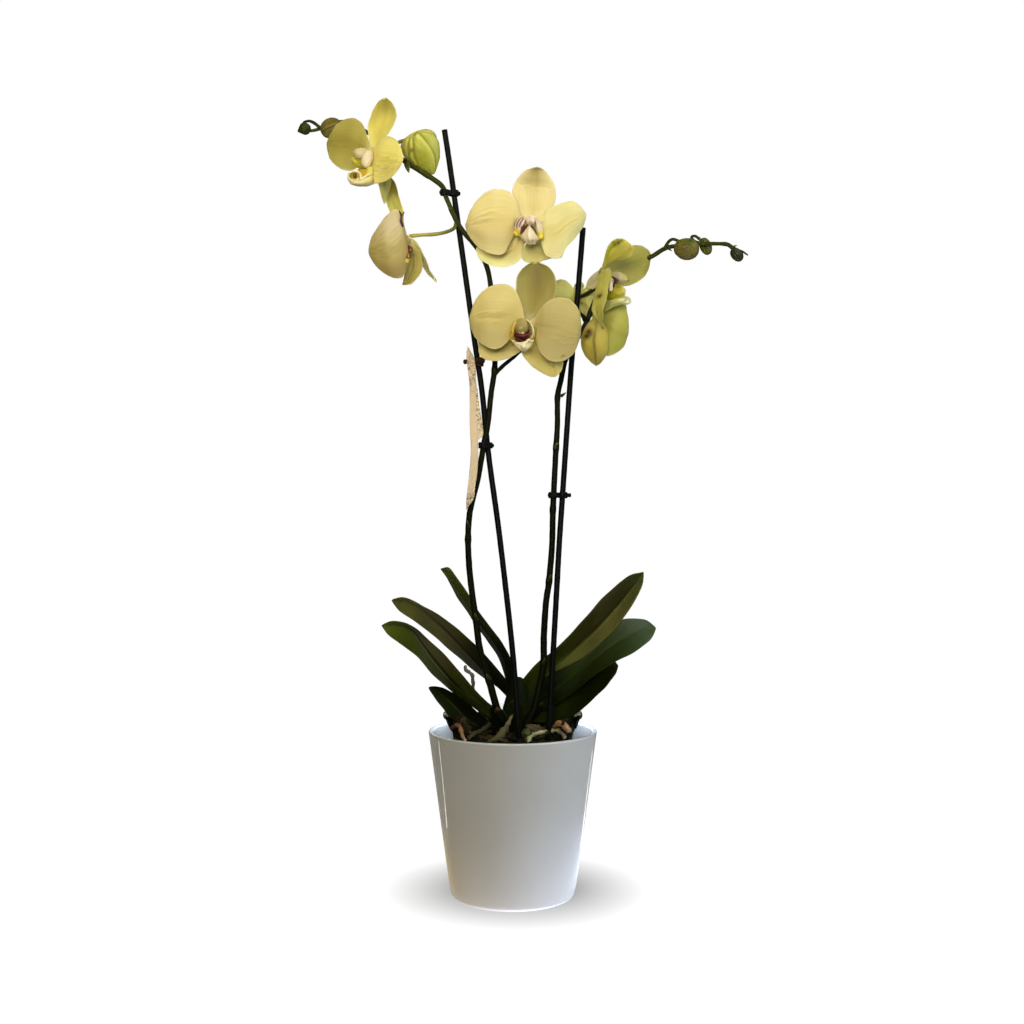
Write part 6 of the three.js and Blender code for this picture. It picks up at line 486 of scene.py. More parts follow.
LABEL_CLIP_ARM = [[-39.68, -6.2, 444.76, 2.2], [-37.62, -6.4, 444.91, 2.1], [-34.33, -6.4, 445.4, 1.7], [-29.4, -6.2, 445.74, 1.9]]
LABEL_CLIP_TAB = [[-29.41, -5.4, 445.89, 2.1], [-26.53, -5.4, 446.3, 2.5], [-23.66, -5.2, 446.07, 2.4]]
BUDS = {'bud_opening': {'from': [-81.74, 10, 635.29], 'to': [-65.78, 9, 601.37], 'r': 15.6, 'light': (216, 214, 104),
    'deep': (180, 180, 52), 'seam': (104, 108, 18), 'seams': [(4.24, -0.83), (1.2, 0.3), (2.5, 0.4)], 'curves': [[(0.1, 4.75),
    (0.16, 4.4), (0.22, 4), (0.28, 3.6), (0.36, 3.2), (0.44, 2.9)], [(0.12, 5.04), (0.22, 5.3), (0.31, 5.5), (0.45, 5.7)],
    [(0.16, 4.91), (0.33, 5.1), (0.5, 5.34), (0.72, 5.6)]], 'groove': 0.04, 'ridge': 0.02, 'taper': 0, 'step': 0.04, 'profile': [(0, 1.5),
    (0.04, 1.5), (0.09, 1.42), (0.31, 1.08), (0.53, 0.92), (0.73, 0.76), (0.89, 0.52), (1, 0.35)], 'blots': [(0.2, 5.75, 0.22, 0.5, (170, 152, 76),
    0.8), (0.39, 5.31, 0.04, 0.1, (58, 26, 12), 0.95), (0.36, 5.33, 0.02, 0.05, (200, 170, 150), 0.6), (0.13, 4.75, 0.03, 0.12, (70, 58, 24),
    0.9), (0.07, 4, 0.08, 0.7, (176, 172, 80), 0.6), (0.6, 5, 0.25, 0.6, (150, 152, 36), 0.6), (0.45, 3.6, 0.25, 0.5, (214, 214, 120),
    0.7), (0.7, 5.2, 0.15, 0.5, (160, 160, 36), 0.6)]}, 'bud_left_large': {'from': [-144.37, 26, 647.97], 'to': [-160.66, 25, 638.54],
    'r': 8.2, 'light': (134, 120, 50), 'deep': (92, 78, 24), 'seam': (56, 50, 14), 'seams': [(0.4, 0.3), (2.5, 0.3),
    (4.6, 0.3)], 'groove': 0.05, 'ridge': 0.02, 'taper': 0}, 'bud_left_tip': {'from': [-170.28, 28, 645.08], 'to': [-181.24, 28, 640.89],
    'r': 4.9, 'light': (64, 72, 20), 'deep': (30, 34, 8), 'seam': (20, 22, 6), 'seams': [(0.4, 0.3), (2.5, 0.3), (4.6, 0.3)],
    'groove': 0.07, 'ridge': 0.03, 'taper': 0, 'profile': [(0, 0.9), (0.3, 1.1), (0.6, 1), (0.85, 0.6), (1, 0.3)]}, 'bud_right_large': {'from': [132.74, -2, 539.08],
    'to': [153.56, -3, 536.72], 'r': 8.9, 'light': (116, 108, 42), 'deep': (74, 78, 14), 'seam': (34, 34, 6), 'seams': [(2.6, 0.3)],
    'curves': [[(0.12, 0.6), (0.25, 0.15), (0.45, -0.1), (0.7, -0.2), (0.95, -0.3)]], 'groove': 0.05, 'ridge': 0.02, 'taper': -0.1, 'step': 0.05, 'blots': [(0.4, 5.4, 0.5, 0.8, (132, 112, 58),
    0.5), (0.5, 0.7, 0.5, 0.5, (84, 92, 20), 0.5)]}, 'bud_right_medium': {'from': [158.1, 12, 549.06], 'to': [163.26, 11, 535.13],
    'r': 4.9, 'light': (104, 108, 40), 'deep': (62, 68, 20), 'seam': (34, 38, 10), 'seams': [(0.9, 0.2), (2.2, 0.2),
    (3.6, 0.2), (5.1, 0.2)], 'groove': 0.07, 'ridge': 0.03, 'taper': 0}, 'bud_right_small': {'from': [180.56, -3, 538.03],
    'to': [188.35, -4, 528.04], 'r': 4.7, 'light': (62, 66, 30), 'deep': (32, 36, 14), 'seam': (22, 24, 10), 'seams': [(0.9, 0.2),
    (3, 0.2), (5.1, 0.2)], 'groove': 0.05, 'ridge': 0.02, 'taper': 0}}
# per flower and part: tones, blots and folds, partly the flowers' own colour and partly painted light and shade. The
# olive blots near the bases of the sepals and at the tops of the dorsals of flower_1 and flower_2, flower_2's darker
# dorsal tone and the duller blots on their petals are painted shadow and shade; flower_1's sepal_a tone is painted
# brighter to lift its shadow; the darker, greener tones of flower_3's petal_a and of flower_5 and flower_6, turned away
# from the lamps, are partly painted shade; rim is a painted pale rim of light through the edges. The small maroon and
# brown spots are the flowers' own marks.
FLOWER_LOOK = {'flower_1': {'tone': {'light': (243, 230, 156), 'deep': (228, 210, 128), 'back': (226, 214, 140),
    'rim': (250, 242, 190), 'heart': (230, 215, 140)}, 'lip_at': (0, 0, 1), 'lip': {'cream': (238, 226, 196), 'lobe': (226, 206, 170),
    'yellow': (226, 204, 56), 'front': (232, 216, 140)}, 'glow': 0.22, 'dorsal': {'folds': [(0.6, -0.9, 0.58, 0.85, 0.55, 0.8)],
    'blots': [(0.82, -0.05, 0.17, 0.65, (176, 154, 80), 0.8), (0.67, -0.1, 0.06, 0.7, (180, 156, 84), 0.7)], 'tone': {'light': (240, 225, 156),
    'deep': (225, 205, 128), 'back': (223, 209, 140), 'rim': (248, 239, 190)}}, 'petal_a': {'folds': [(0.45, -0.32, 0.92, -0.26, 0.55, 0.9),
    (0.5, -0.12, 0.96, -0.06, 0.5, 0.9), (0.55, 0.03, 0.85, 0.08, -0.35, 0.8)], 'blots': [(0.5, 0.55, 0.5, 0.4, (202, 182, 115),
    0.6)], 'tone': {'light': (239, 223, 150), 'deep': (224, 203, 123), 'back': (222, 207, 135), 'rim': (248, 238, 186)}},
    'petal_b': {'folds': [(0.4, 0, 0.85, -0.05, 0.35, 1.2), (0.45, 0.2, 0.8, 0.22, 0.3, 1.2)], 'blots': [(0.8, 0.6, 0.3, 0.4, (201, 200, 140),
    0.6)], 'tone': {'light': (238, 228, 156), 'deep': (223, 208, 128), 'back': (221, 212, 140), 'rim': (247, 241, 190)}},
    'sepal_a': {'blots': [(0.3, 0.3, 0.35, 0.9, (209, 186, 102), 0.6)], 'ruffle': 0.7, 'tone': {'light': (255, 255, 176),
    'deep': (255, 233, 144), 'back': (254, 237, 158), 'rim': (250, 242, 190)}}, 'sepal_b': {'blots': [(0.3, 0, 0.5, 0.9, (177, 162, 81),
    0.6)], 'ruffle': 1.3, 'tone': {'light': (232, 222, 141), 'deep': (218, 202, 115), 'back': (216, 206, 126), 'rim': (244, 238, 181)}}},
    'flower_2': {'tone': {'light': (228, 212, 132), 'deep': (204, 186, 104), 'back': (206, 194, 118), 'rim': (246, 236, 176),
    'heart': (206, 192, 112)}, 'lip_at': (0, 0, 1), 'lip': {'cream': (238, 226, 196), 'lobe': (226, 206, 170), 'yellow': (226, 204, 56),
    'front': (232, 216, 140)}, 'glow': 0.2, 'dorsal': {'tone': {'light': (171, 159, 82), 'deep': (147, 130, 52), 'back': (180, 166, 85),
    'rim': (230, 219, 150)}, 'blots': [(0.75, 0.1, 0.3, 0.4, (122, 107, 38), 0.6)], 'cup': 1.2}, 'petal_a': {'folds': [(0.35, -0.12, 0.95, -0.2, 0.55, 0.9),
    (0.4, 0.05, 0.8, 0.06, -0.45, 0.8), (0.4, 0.18, 0.75, 0.2, 0.35, 0.8)], 'blots': [(0.5, 0.6, 0.5, 0.45, (188, 172, 104),
    0.6)], 'tone': {'light': (226, 207, 128), 'deep': (202, 182, 100), 'back': (204, 190, 114), 'rim': (245, 233, 173)}},
    'petal_b': {'folds': [(0.45, 0.1, 0.9, 0.35, 0.5, 0.9), (0.5, -0.05, 0.85, 0.1, 0.35, 0.8), (0.4, 0.3, 0.8, 0.55, 0.35, 0.9)],
    'blots': [(0.6, 0.6, 0.4, 0.4, (173, 157, 95), 0.5), (0.59, 0.83, 0.02, 0.03, (60, 50, 24), 0.8)], 'tone': {'light': (202, 185, 112),
    'deep': (180, 162, 88), 'back': (182, 169, 100), 'rim': (232, 221, 162)}}, 'sepal_a': {'blots': [(0.35, 0, 0.3, 0.8, (170, 152, 76),
    0.5)]}, 'sepal_b': {'folds': [(0.55, 0.3, 1, 0.1, 0.5, 0.8)], 'blots': [(0.35, 0, 0.3, 0.8, (180, 161, 72), 0.4)],
    'tone': {'light': (228, 210, 119), 'deep': (204, 184, 94), 'back': (206, 192, 106), 'rim': (246, 235, 167)}}}, 'flower_3': {'tone': {'light': (246, 234, 124),
    'deep': (228, 214, 98), 'back': (226, 214, 110), 'rim': (250, 242, 176), 'heart': (236, 222, 140)}, 'lip_at': (0, 0, 0),
    'lip': {'cream': (238, 226, 196), 'lobe': (226, 206, 170), 'yellow': (226, 204, 56), 'front': (232, 216, 140)}, 'lip_size': 0.86, 'glow': 0.3, 'spots': [([-108.74, -6.8, 656.88],
    0.75, (52, 44, 18)), ([-101.68, -8, 656.02], 0.6, (120, 104, 36))], 'dorsal': {'blots': [(0.82, 0, 0.22, 0.7, (166, 151, 61),
    0.75), (0.45, 0, 0.2, 0.6, (240, 224, 109), 0.7)], 'tone': {'light': (246, 236, 130), 'deep': (228, 216, 103), 'back': (226, 216, 115),
    'rim': (250, 242, 176)}}, 'petal_a': {'tone': {'light': (205, 193, 96), 'deep': (168, 153, 59), 'back': (207, 195, 94),
    'rim': (239, 231, 163)}, 'blots': [(0.45, 0.1, 0.3, 0.5, (161, 144, 56), 0.4)], 'folds': [(0.4, 0.1, 0.8, 0.15, 0.4, 0.9)]},
    'petal_b': {'folds': [(0.3, 0.2, 0.85, 0.5, 0.5, 0.8), (0.3, 0, 0.9, 0.25, -0.45, 0.8), (0.35, -0.2, 0.9, 0, 0.4, 0.8),
    (0.25, 0.45, 0.8, 0.75, -0.4, 0.8)], 'blots': [(0.6, 0.5, 0.4, 0.4, (215, 198, 109), 0.5)], 'tone': {'light': (255, 244, 140),
    'deep': (238, 223, 111), 'back': (236, 223, 124), 'rim': (250, 242, 176)}}, 'sepal_a': {'tone': {'light': (226, 216, 120),
    'deep': (196, 184, 84)}, 'cup': 1.5}, 'sepal_b': {'tone': {'light': (190, 184, 96), 'deep': (150, 142, 62)}, 'cup': 1}},
    'flower_4': {'tone': {'light': (222, 208, 124), 'deep': (186, 168, 84), 'back': (214, 192, 122), 'rim': (244, 230, 176),
    'heart': (206, 190, 110)}, 'lip_at': (0, 0, 0), 'lip': {'cream': (238, 226, 196), 'lobe': (226, 206, 170), 'yellow': (226, 204, 56),
    'front': (232, 216, 140)}, 'lip_size': 0.8, 'glow': 0.18, 'dorsal': {'tone': {'light': (203, 197, 91), 'deep': (163, 157, 60),
    'back': (197, 190, 84), 'rim': (244, 230, 176)}, 'blots': []}, 'petal_a': {'blots': [(0.36, -0.75, 0.3, 0.6, (220, 205, 164),
    0.85), (0.6, 0.85, 0.45, 0.45, (153, 129, 70), 0.75), (0.9, 0.1, 0.2, 0.6, (181, 163, 88), 0.5), (0.2, 0.3, 0.2, 0.5, (191, 166, 100),
    0.4)], 'folds': [(0.25, -0.45, 0.97, -0.4, 0.55, 0.8), (0.25, -0.25, 0.95, -0.12, -0.5, 0.8), (0.3, -0.02, 0.95, 0.12, 0.5, 0.8),
    (0.3, 0.2, 0.85, 0.36, -0.35, 0.8), (0.5, -0.65, 0.9, -0.62, 0.35, 0.7)], 'ruffle': 0.25, 'tone': {'light': (205, 192, 105),
    'deep': (172, 155, 70), 'back': (198, 178, 103), 'rim': (235, 221, 162)}}, 'petal_b': {'tone': {'light': (253, 247, 168),
    'deep': (228, 221, 128), 'back': (236, 230, 139), 'rim': (244, 230, 176)}, 'cup': 1, 'blots': []}, 'sepal_a': {'tone': {'light': (204, 189, 98),
    'deep': (171, 155, 66), 'back': (197, 181, 88), 'rim': (240, 222, 160)}, 'blots': [(0.5, -0.5, 0.4, 0.4, (218, 204, 123),
    0.6)], 'folds': [(0.2, 0, 0.95, 0, -0.6, 0.7)]}, 'sepal_b': {'tone': {'light': (190, 178, 92), 'deep': (160, 146, 66)}}},
    'flower_5': {'tone': {'light': (206, 200, 96), 'deep': (176, 168, 66), 'back': (196, 188, 84), 'rim': (232, 226, 146),
    'heart': (190, 182, 84)}, 'lip_at': (0, 0, 0), 'lip': {'cream': (232, 206, 190), 'lobe': (214, 196, 150), 'yellow': (206, 196, 40),
    'front': (226, 222, 150)}, 'lip_size': 0.84, 'glow': 0.2, 'spots': [([71.38, -9, 517.62], 1.2, (60, 52, 34)), ([83.88, -20, 540.36],
    1.5, (70, 60, 20)), ([87.8, -22, 541.19], 1.3, (84, 70, 24))], 'dorsal': {'rows': [[[72.5, -7, 519.9], [74.1, -8, 519.4],
    [75.6, -9, 518.8]], [[73.8, -9.2, 524.8], [75.4, -11.8, 523.4], [77.1, -12.8, 522.2]], [[75, -11.5, 529.7], [76.7, -15.1, 527.4],
    [78.6, -16.1, 525.5]], [[76.2, -13.7, 534.6], [78, -17.8, 531.6], [80, -18.8, 529]], [[78.3, -16, 539.1], [79.9, -20, 535.6],
    [81.8, -21, 532.4]], [[81.9, -19, 542.5], [83, -22.3, 538.7], [84.3, -23.3, 535.3]], [[86.7, -22.2, 543.6], [87.1, -24.1, 540.4],
    [87.6, -25.3, 537.3]], [[91.5, -24.6, 541.4], [91.5, -25.3, 539.9], [91.5, -26.1, 538.4]], [[95.6, -26, 537.9], [95.6, -26, 537.9],
    [95.6, -26, 537.9]]], 'face': (0, -1, 0), 'ruffle': 0.1, 'tone': {'light': (209, 208, 69), 'deep': (171, 168, 45),
    'back': (255, 255, 117), 'rim': (204, 206, 104)}, 'blots': [(0.62, 0.1, 0.06, 0.6, (74, 58, 20), 0.7), (0.78, -0.3, 0.05, 0.4, (84, 66, 24),
    0.6), (0.4, -0.7, 0.2, 0.3, (255, 255, 98), 0.6), (0.71, 0.1, 0.05, 0.58, (66, 40, 14), 0.9), (0.62, -0.5, 0.03, 0.28, (84, 72, 22),
    0.7)]}, 'extras': [{'rows': [[[73.2, -9, 518.4], [73.8, -9, 518.4], [74.4, -9, 518.4]], [[74.5, -12.8, 522.7], [75.3, -15.3, 521.8],
    [76.4, -13.7, 521.4]], [[76.4, -16.1, 526.7], [77.7, -19.7, 524.8], [79.4, -17.2, 523.6]], [[78.9, -18.8, 530.5],
    [80.8, -23.1, 527.1], [83.2, -19.8, 524.8]], [[82.2, -21, 533.8], [84.3, -26, 529.1], [87.2, -22, 525.6]], [[85.6, -24.1, 536.7],
    [88, -28.4, 530.9], [91.1, -24.2, 526.3]], [[89.8, -26.8, 538.5], [92.1, -30.3, 532.4], [94.8, -26.7, 527.5]], [[94.5, -28.3, 537.9],
    [95.5, -30.8, 534], [96.8, -28.3, 530.8]], [[98.2, -29, 534.7], [98.2, -29, 534.7], [98.2, -29, 534.7]]], 'face': (0, -1, 0),
    'tone': {'light': (210, 199, 84), 'deep': (190, 178, 63), 'back': (197, 186, 71), 'rim': (233, 225, 143)}, 'blots': [(0.86, 0, 0.1, 0.35, (165, 131, 66),
    0.7), (0.75, -0.6, 0.14, 0.3, (175, 158, 83), 0.5)]}, {'rows': [[[64, -36, 483.2], [65.6, -37, 483.1], [67.3, -35, 483.3]],
    [[65, -34.9, 481.4], [66.5, -36.3, 481.3], [68.1, -33.9, 481.7]], [[66, -33.8, 479.6], [67.3, -35.6, 479.6], [68.9, -32.8, 480]],
    [[67.1, -32.5, 477.9], [68.3, -34.6, 477.8], [69.8, -31.6, 478.3]], [[68.3, -31, 476.2], [69.4, -33.3, 476.2], [70.8, -30.5, 476.7]],
    [[69.6, -29.5, 474.6], [70.6, -31.6, 474.7], [71.8, -29.4, 475.1]], [[70.9, -28.2, 473], [71.7, -29.8, 473], [72.6, -28.2, 473.4]],
    [[72.2, -27.1, 471.4], [72.6, -27.9, 471.4], [73.1, -27.1, 471.6]], [[73.5, -26, 469.8], [73.5, -26, 469.8], [73.5, -26, 469.8]]],
    'face': (0, -1, 0), 'tone': {'light': (206, 196, 96), 'deep': (188, 178, 76), 'back': (190, 180, 80)}, 'blots': [(1, 0, 0.2, 1.4, (34, 22, 10),
    1)]}], 'petal_a': {'tone': {'light': (169, 164, 69), 'deep': (153, 145, 53), 'back': (163, 154, 53), 'rim': (212, 205, 118)},
    'blots': [(0.5, -0.6, 0.6, 0.4, (178, 172, 75), 0.4), (0.35, 0.3, 0.25, 0.4, (141, 132, 46), 0.4)]}, 'petal_b': {'tone': {'light': (208, 202, 107),
    'deep': (181, 172, 74), 'back': (185, 178, 78), 'rim': (226, 220, 141)}, 'blots': [(0.5, 0, 0.4, 0.6, (195, 183, 85),
    0.3), (0.51, -0.15, 0.04, 0.45, (80, 34, 14), 1)], 'folds': [(0.2, -0.2, 0.8, 0.3, 0.6, 0.7), (0.35, 0.4, 0.95, 0.1, -0.5, 0.8)]},
    'sepal_b': {'tone': {'light': (228, 216, 170), 'deep': (206, 192, 130), 'back': (224, 212, 160)}}}, 'flower_6': {'tone': {'light': (232, 226, 156),
    'deep': (208, 200, 120), 'back': (226, 220, 140), 'rim': (244, 238, 186), 'heart': (206, 196, 110)}, 'lip_at': (0, 0, 0),
    'lip': {'cream': (232, 206, 190), 'lobe': (214, 196, 150), 'yellow': (206, 196, 40), 'front': (226, 222, 150)}, 'lip_size': 0.84, 'glow': 0.2, 'spots': [],
    'sepal_a': {'tone': {'light': (200, 181, 74), 'deep': (185, 166, 63), 'back': (200, 181, 74), 'rim': (241, 234, 167)},
    'folds': [(0.2, 0, 0.98, 0, -1.1, 0.7)], 'blots': [(0.65, 0.02, 0.45, 0.07, (70, 56, 18), 0.85), (0.25, -0.6, 0.2, 0.4, (216, 198, 112),
    0.6), (0.85, 0.3, 0.2, 0.5, (171, 146, 66), 0.5), (0.36, -0.52, 0.05, 0.28, (40, 14, 6), 1), (0.44, -0.55, 0.05, 0.27, (40, 14, 6),
    1), (0.4, -0.32, 0.03, 0.14, (90, 46, 20), 0.8)]}, 'petal_a': {'tone': {'light': (190, 186, 81), 'deep': (168, 165, 58),
    'back': (186, 183, 78), 'rim': (232, 225, 153)}, 'blots': [(0.15, 0, 0.3, 0.8, (205, 199, 107), 0.5), (0.8, 0.5, 0.3, 0.5, (159, 154, 54),
    0.4)]}, 'petal_b': {'blots': [(0.56, 0.75, 0.05, 0.25, (206, 128, 96), 0.8)]}}, 'flower_7': {'tone': {'light': (222, 220, 130),
    'deep': (200, 198, 104), 'back': (216, 214, 122), 'rim': (240, 236, 170), 'heart': (200, 196, 104)}, 'lip_at': (0, 0, 0),
    'lip': {'cream': (232, 206, 190), 'lobe': (214, 196, 150), 'yellow': (206, 196, 40), 'front': (226, 222, 150)}, 'lip_size': 0.84, 'glow': 0.22, 'spots': [([59.21, 14, 486.12],
    0.9, (176, 90, 50))], 'petal_b': {'blots': [(0.27, 1, 0.04, 0.15, (176, 90, 50), 0.7)]}}}
LIPS = {'flower_1': [('ball', [12.68, -31, 544.38], [12.58, -41, 545.6], 7.6, (150, 110, 70), (116, 52, 40), (1, 0.8),
    None), ('ball', [2.92, -38, 546.87], [3.79, -43, 543.3], 2.6, (238, 208, 44), (240, 214, 60), None, (0.5, (150, 50, 30),
    2.4, 1)), ('ball', [22.9, -40, 544.17], [21.83, -46, 540.05], 2.5, (238, 208, 44), (240, 214, 60), None, (0.6, (150, 40, 30),
    2, 0.8)), ('ball', [8.1, -42, 552.99], [6.72, -45.5, 543.3], 1.5, (92, 24, 26), (84, 20, 24), (1, 0.7), None), ('blade', [[[6.6, -39, 541.1],
    [6.6, -39, 541.1], [6.6, -39, 541.1]], [[4.5, -38.9, 543.4], [5.4, -41.7, 542.9], [6.4, -41.6, 543]], [[2.5, -39.2, 545.8],
    [4.5, -43.7, 545], [6.4, -43.9, 544.8]], [[1.1, -39.9, 548.4], [3.9, -44.9, 547.2], [6.8, -45.8, 546.8]], [[1, -40.6, 551.3],
    [4.2, -45.1, 549.8], [7.5, -46.7, 548.7]], [[2, -41, 554.2], [5.2, -44.9, 552.3], [8.4, -46.9, 550.7]], [[3.9, -40.3, 556.7],
    [6.6, -43.7, 554.7], [9.3, -45.1, 553.1]], [[6.7, -39.6, 558], [8.2, -41.7, 556.7], [9.7, -42.3, 555.7]], [[9.8, -39, 558.5],
    [9.8, -39, 558.5], [9.8, -39, 558.5]]], (-0.5, -0.8, 0.1), 0.8, 0.9, (232, 208, 190), (238, 216, 60), (0.3, 0.6),
    'arcs'), ('blade', [[[20.6, -39, 539.5], [20.6, -39, 539.5], [20.6, -39, 539.5]], [[20.5, -42.5, 541.4], [21.7, -41.7, 541.2],
    [23, -38.9, 541.4]], [[20.3, -44.7, 543.4], [22.4, -43.7, 543.3], [24.6, -39.2, 543.8]], [[19.8, -45.8, 545.6], [22.3, -44.9, 545.8],
    [24.8, -39.9, 546.6]], [[19.3, -46.7, 547.8], [21.7, -45.1, 548.3], [24.2, -40.6, 549.4]], [[19, -46.9, 550.1], [21, -44.9, 550.9],
    [23, -41, 552]], [[18.4, -45.1, 552.7], [19.8, -43.7, 553.5], [21.2, -40.3, 554.5]], [[17.6, -42.3, 555.4], [18.2, -41.7, 555.7],
    [18.8, -39.6, 556.4]], [[16.2, -39, 557.9], [16.2, -39, 557.9], [16.2, -39, 557.9]]], (0.5, -0.8, 0.1), 0.8, 0.9, (236, 218, 190),
    (240, 216, 60), (0.55, 0.95), 'faint'), ('keel', [[[13.2, -46, 549.9], [13.2, -46, 549.9], [13.2, -46, 549.9]], [[11.6, -46.2, 548.3],
    [13.1, -47.6, 548], [14.7, -46.2, 548.3]], [[10.1, -46.5, 546.6], [13.1, -49, 546.2], [16.2, -46.5, 546.6]], [[8.6, -46.8, 544.9],
    [13, -50, 544.3], [17.5, -46.8, 544.8]], [[7.1, -47, 543.2], [12.9, -50.5, 542.5], [18.8, -47, 543]], [[5.6, -46.7, 541.6],
    [12.9, -50.6, 540.9], [20.3, -46.7, 541.3]], [[6.2, -46, 539.8], [13.6, -50.5, 538.9], [21.2, -46, 539.5]], [[7.8, -44.8, 538.4],
    [13.7, -49.6, 537.5], [19.8, -44.8, 538]], [[9.6, -44, 537.2], [13.7, -48, 536.5], [18, -44, 536.9]], [[11.6, -44.4, 536.3],
    [13.7, -46.5, 535.8], [15.9, -44.4, 536]], [[13.7, -45, 535.6], [13.7, -45, 535.6], [13.7, -45, 535.6]]], (0, -1, 0.1),
    1.4, 0.5, (232, 214, 172), (206, 186, 132), (250, 238, 214)), ('ball', [14.63, -36, 557.97], [14.2, -45, 551.46],
    3.9, (240, 222, 206), (236, 216, 200), (1, 0.95), None), ('ball', [14.37, -44.5, 553.61], [14.19, -46, 551.77], 1.7, (226, 196, 140),
    (216, 186, 110), None, None), ('tube', [[11.34, -45, 537.43, 0.5], [9.9, -46, 535.3, 0.42], [9.1, -46.5, 533.32, 0.34],
    [9.42, -46, 531.81, 0.22]], (238, 226, 170)), ('tube', [[15.32, -45, 536.64, 0.5], [16.89, -46.4, 535.24, 0.4], [18.15, -47.6, 535.69, 0.3],
    [17.99, -47.6, 537.11, 0.2]], (238, 226, 170))], 'flower_2': [('ball', [7.82, -38, 464.62], [7.6, -47, 463.78], 8.3, (110, 26, 28),
    (92, 14, 22), (1, 0.72), (0.35, (190, 150, 50), 3, 1)), ('ball', [-1.08, -44, 461.67], [-0.12, -47.5, 458.97], 1.9, (226, 196, 50),
    (230, 204, 70), None, (0.5, (140, 40, 30), 2, 0.9)), ('ball', [15.49, -46, 461.89], [14.98, -49, 459.24], 1.7, (206, 176, 60),
    (210, 184, 70), None, (0.5, (140, 40, 30), 2, 0.9)), ('blade', [[[1, -50, 463.1], [1, -50, 462.4], [1, -50, 461.7]],
    [[2.7, -51.1, 463.5], [2.8, -51.7, 462.4], [2.9, -51.1, 461.5]], [[4.5, -52, 463.7], [4.7, -53, 462.3], [4.9, -52, 461.1]],
    [[6.3, -52.7, 463.5], [6.5, -53.7, 461.9], [6.7, -52.7, 460.5]], [[8.1, -53, 463.4], [8.4, -54, 461.7], [8.6, -53, 460.3]],
    [[9.9, -52.7, 463.5], [10.2, -53.7, 462], [10.5, -52.7, 460.7]], [[11.7, -52, 463.8], [12, -53, 462.6], [12.3, -52, 461.6]],
    [[13.5, -51.1, 464], [13.7, -51.7, 463.4], [13.8, -51.1, 462.9]], [[15.3, -50, 464.3], [15.3, -50, 464.3], [15.3, -50, 464.3]]],
    (0, -1, 0), 0.8, 0.6, (90, 14, 24), (90, 14, 24), (0.4, 1), ''), ('blade', [[[0.6, -45, 456], [0.6, -45, 456], [0.6, -45, 456]],
    [[-1, -45, 458.2], [-0.4, -46.7, 458.1], [0.3, -48.2, 458.1]], [[-2.4, -45, 460.5], [-1.1, -48, 460.3], [0.2, -50, 460.3]],
    [[-2.8, -45.5, 463.1], [-1.3, -48.6, 462.8], [0.3, -50.7, 462.6]], [[-2.6, -46, 465.7], [-1, -49, 465.3], [0.6, -51, 464.9]],
    [[-1.9, -46.1, 468.3], [-0.3, -49.1, 467.7], [1.3, -50.7, 467.2]], [[-0.6, -46, 470.6], [0.6, -49, 470], [1.9, -50, 469.6]],
    [[1.1, -45.2, 472.8], [1.8, -47.6, 472.3], [2.4, -48, 472.1]], [[3, -44, 474.8], [3, -44, 474.8], [3, -44, 474.8]]],
    (-0.5, -0.8, 0.1), 0.8, 0.9, (206, 184, 80), (220, 196, 40), (0.2, 0.7), 'dots'), ('blade', [[[14.5, -45, 457.2],
    [14.5, -45, 457.2], [14.5, -45, 457.2]], [[15.6, -48.2, 459.2], [15.9, -46.7, 459.2], [16.3, -45, 459.3]], [[16.4, -50, 461.4],
    [17, -48, 461.5], [17.6, -45, 461.7]], [[16.5, -50.7, 463.9], [17.3, -48.6, 464], [18.1, -45.5, 464.3]], [[16.2, -51, 466.4],
    [17, -49, 466.6], [17.9, -46, 466.9]], [[15.4, -50.7, 468.8], [16.2, -49.1, 469.1], [17.1, -46.1, 469.5]], [[14.2, -50, 471.1],
    [14.8, -49, 471.3], [15.5, -46, 471.7]], [[12.6, -48, 473.2], [12.9, -47.6, 473.2], [13.3, -45.2, 473.3]], [[11, -44, 475.2],
    [11, -44, 475.2], [11, -44, 475.2]]], (0.5, -0.8, 0.1), 0.9, 0.9, (186, 170, 84), (206, 184, 52), (0.2, 0.8), 'bars'),
    ('ball', [7.4, -40, 475.37], [6.38, -51, 464.83], 6, (188, 170, 96), (156, 136, 66), (1.05, 0.92), None), ('ball', [8.13, -50, 467.62],
    [7.81, -50.4, 462.36], 1.15, (236, 228, 190), (226, 212, 160), None, None), ('ball', [5.44, -49.6, 466.23], [5.59, -50, 463.19],
    0.8, (226, 214, 170), (216, 200, 150), None, None), ('tube', [[4.02, -47, 474.58, 0.45], [1.15, -49, 470.73, 0.55],
    [-0.12, -49.6, 466.71, 0.55], [-0.28, -49.4, 462.77, 0.5]], (240, 226, 170)), ('tube', [[11.02, -47, 475.37, 0.45],
    [14.01, -49.4, 472.43, 0.55], [15.9, -50.6, 468.2, 0.55], [16.38, -50.4, 463.78, 0.5], [14.66, -49, 459.95, 0.4]],
    (242, 230, 160)), ('keel', [[[-0.1, -49, 458.5], [7.7, -54, 456.3], [16.6, -49, 458.4]], [[0.2, -49, 456.8], [7.9, -54.6, 455.5],
    [16.3, -49, 456.9]], [[0.8, -49, 455.2], [8, -55, 454.6], [15.9, -49, 455.5]], [[1.8, -49, 453.8], [8.2, -55.1, 453.8],
    [15.2, -49, 454.3]], [[3, -49, 452.7], [8.4, -55, 453], [14.4, -49, 453.1]], [[4.5, -49, 451.8], [8.7, -54.3, 452.2],
    [13.3, -49, 452.1]], [[6.1, -49, 451.1], [8.9, -53, 451.5], [12.1, -49, 451.2]], [[7.8, -49, 450.6], [9.1, -51.2, 450.8],
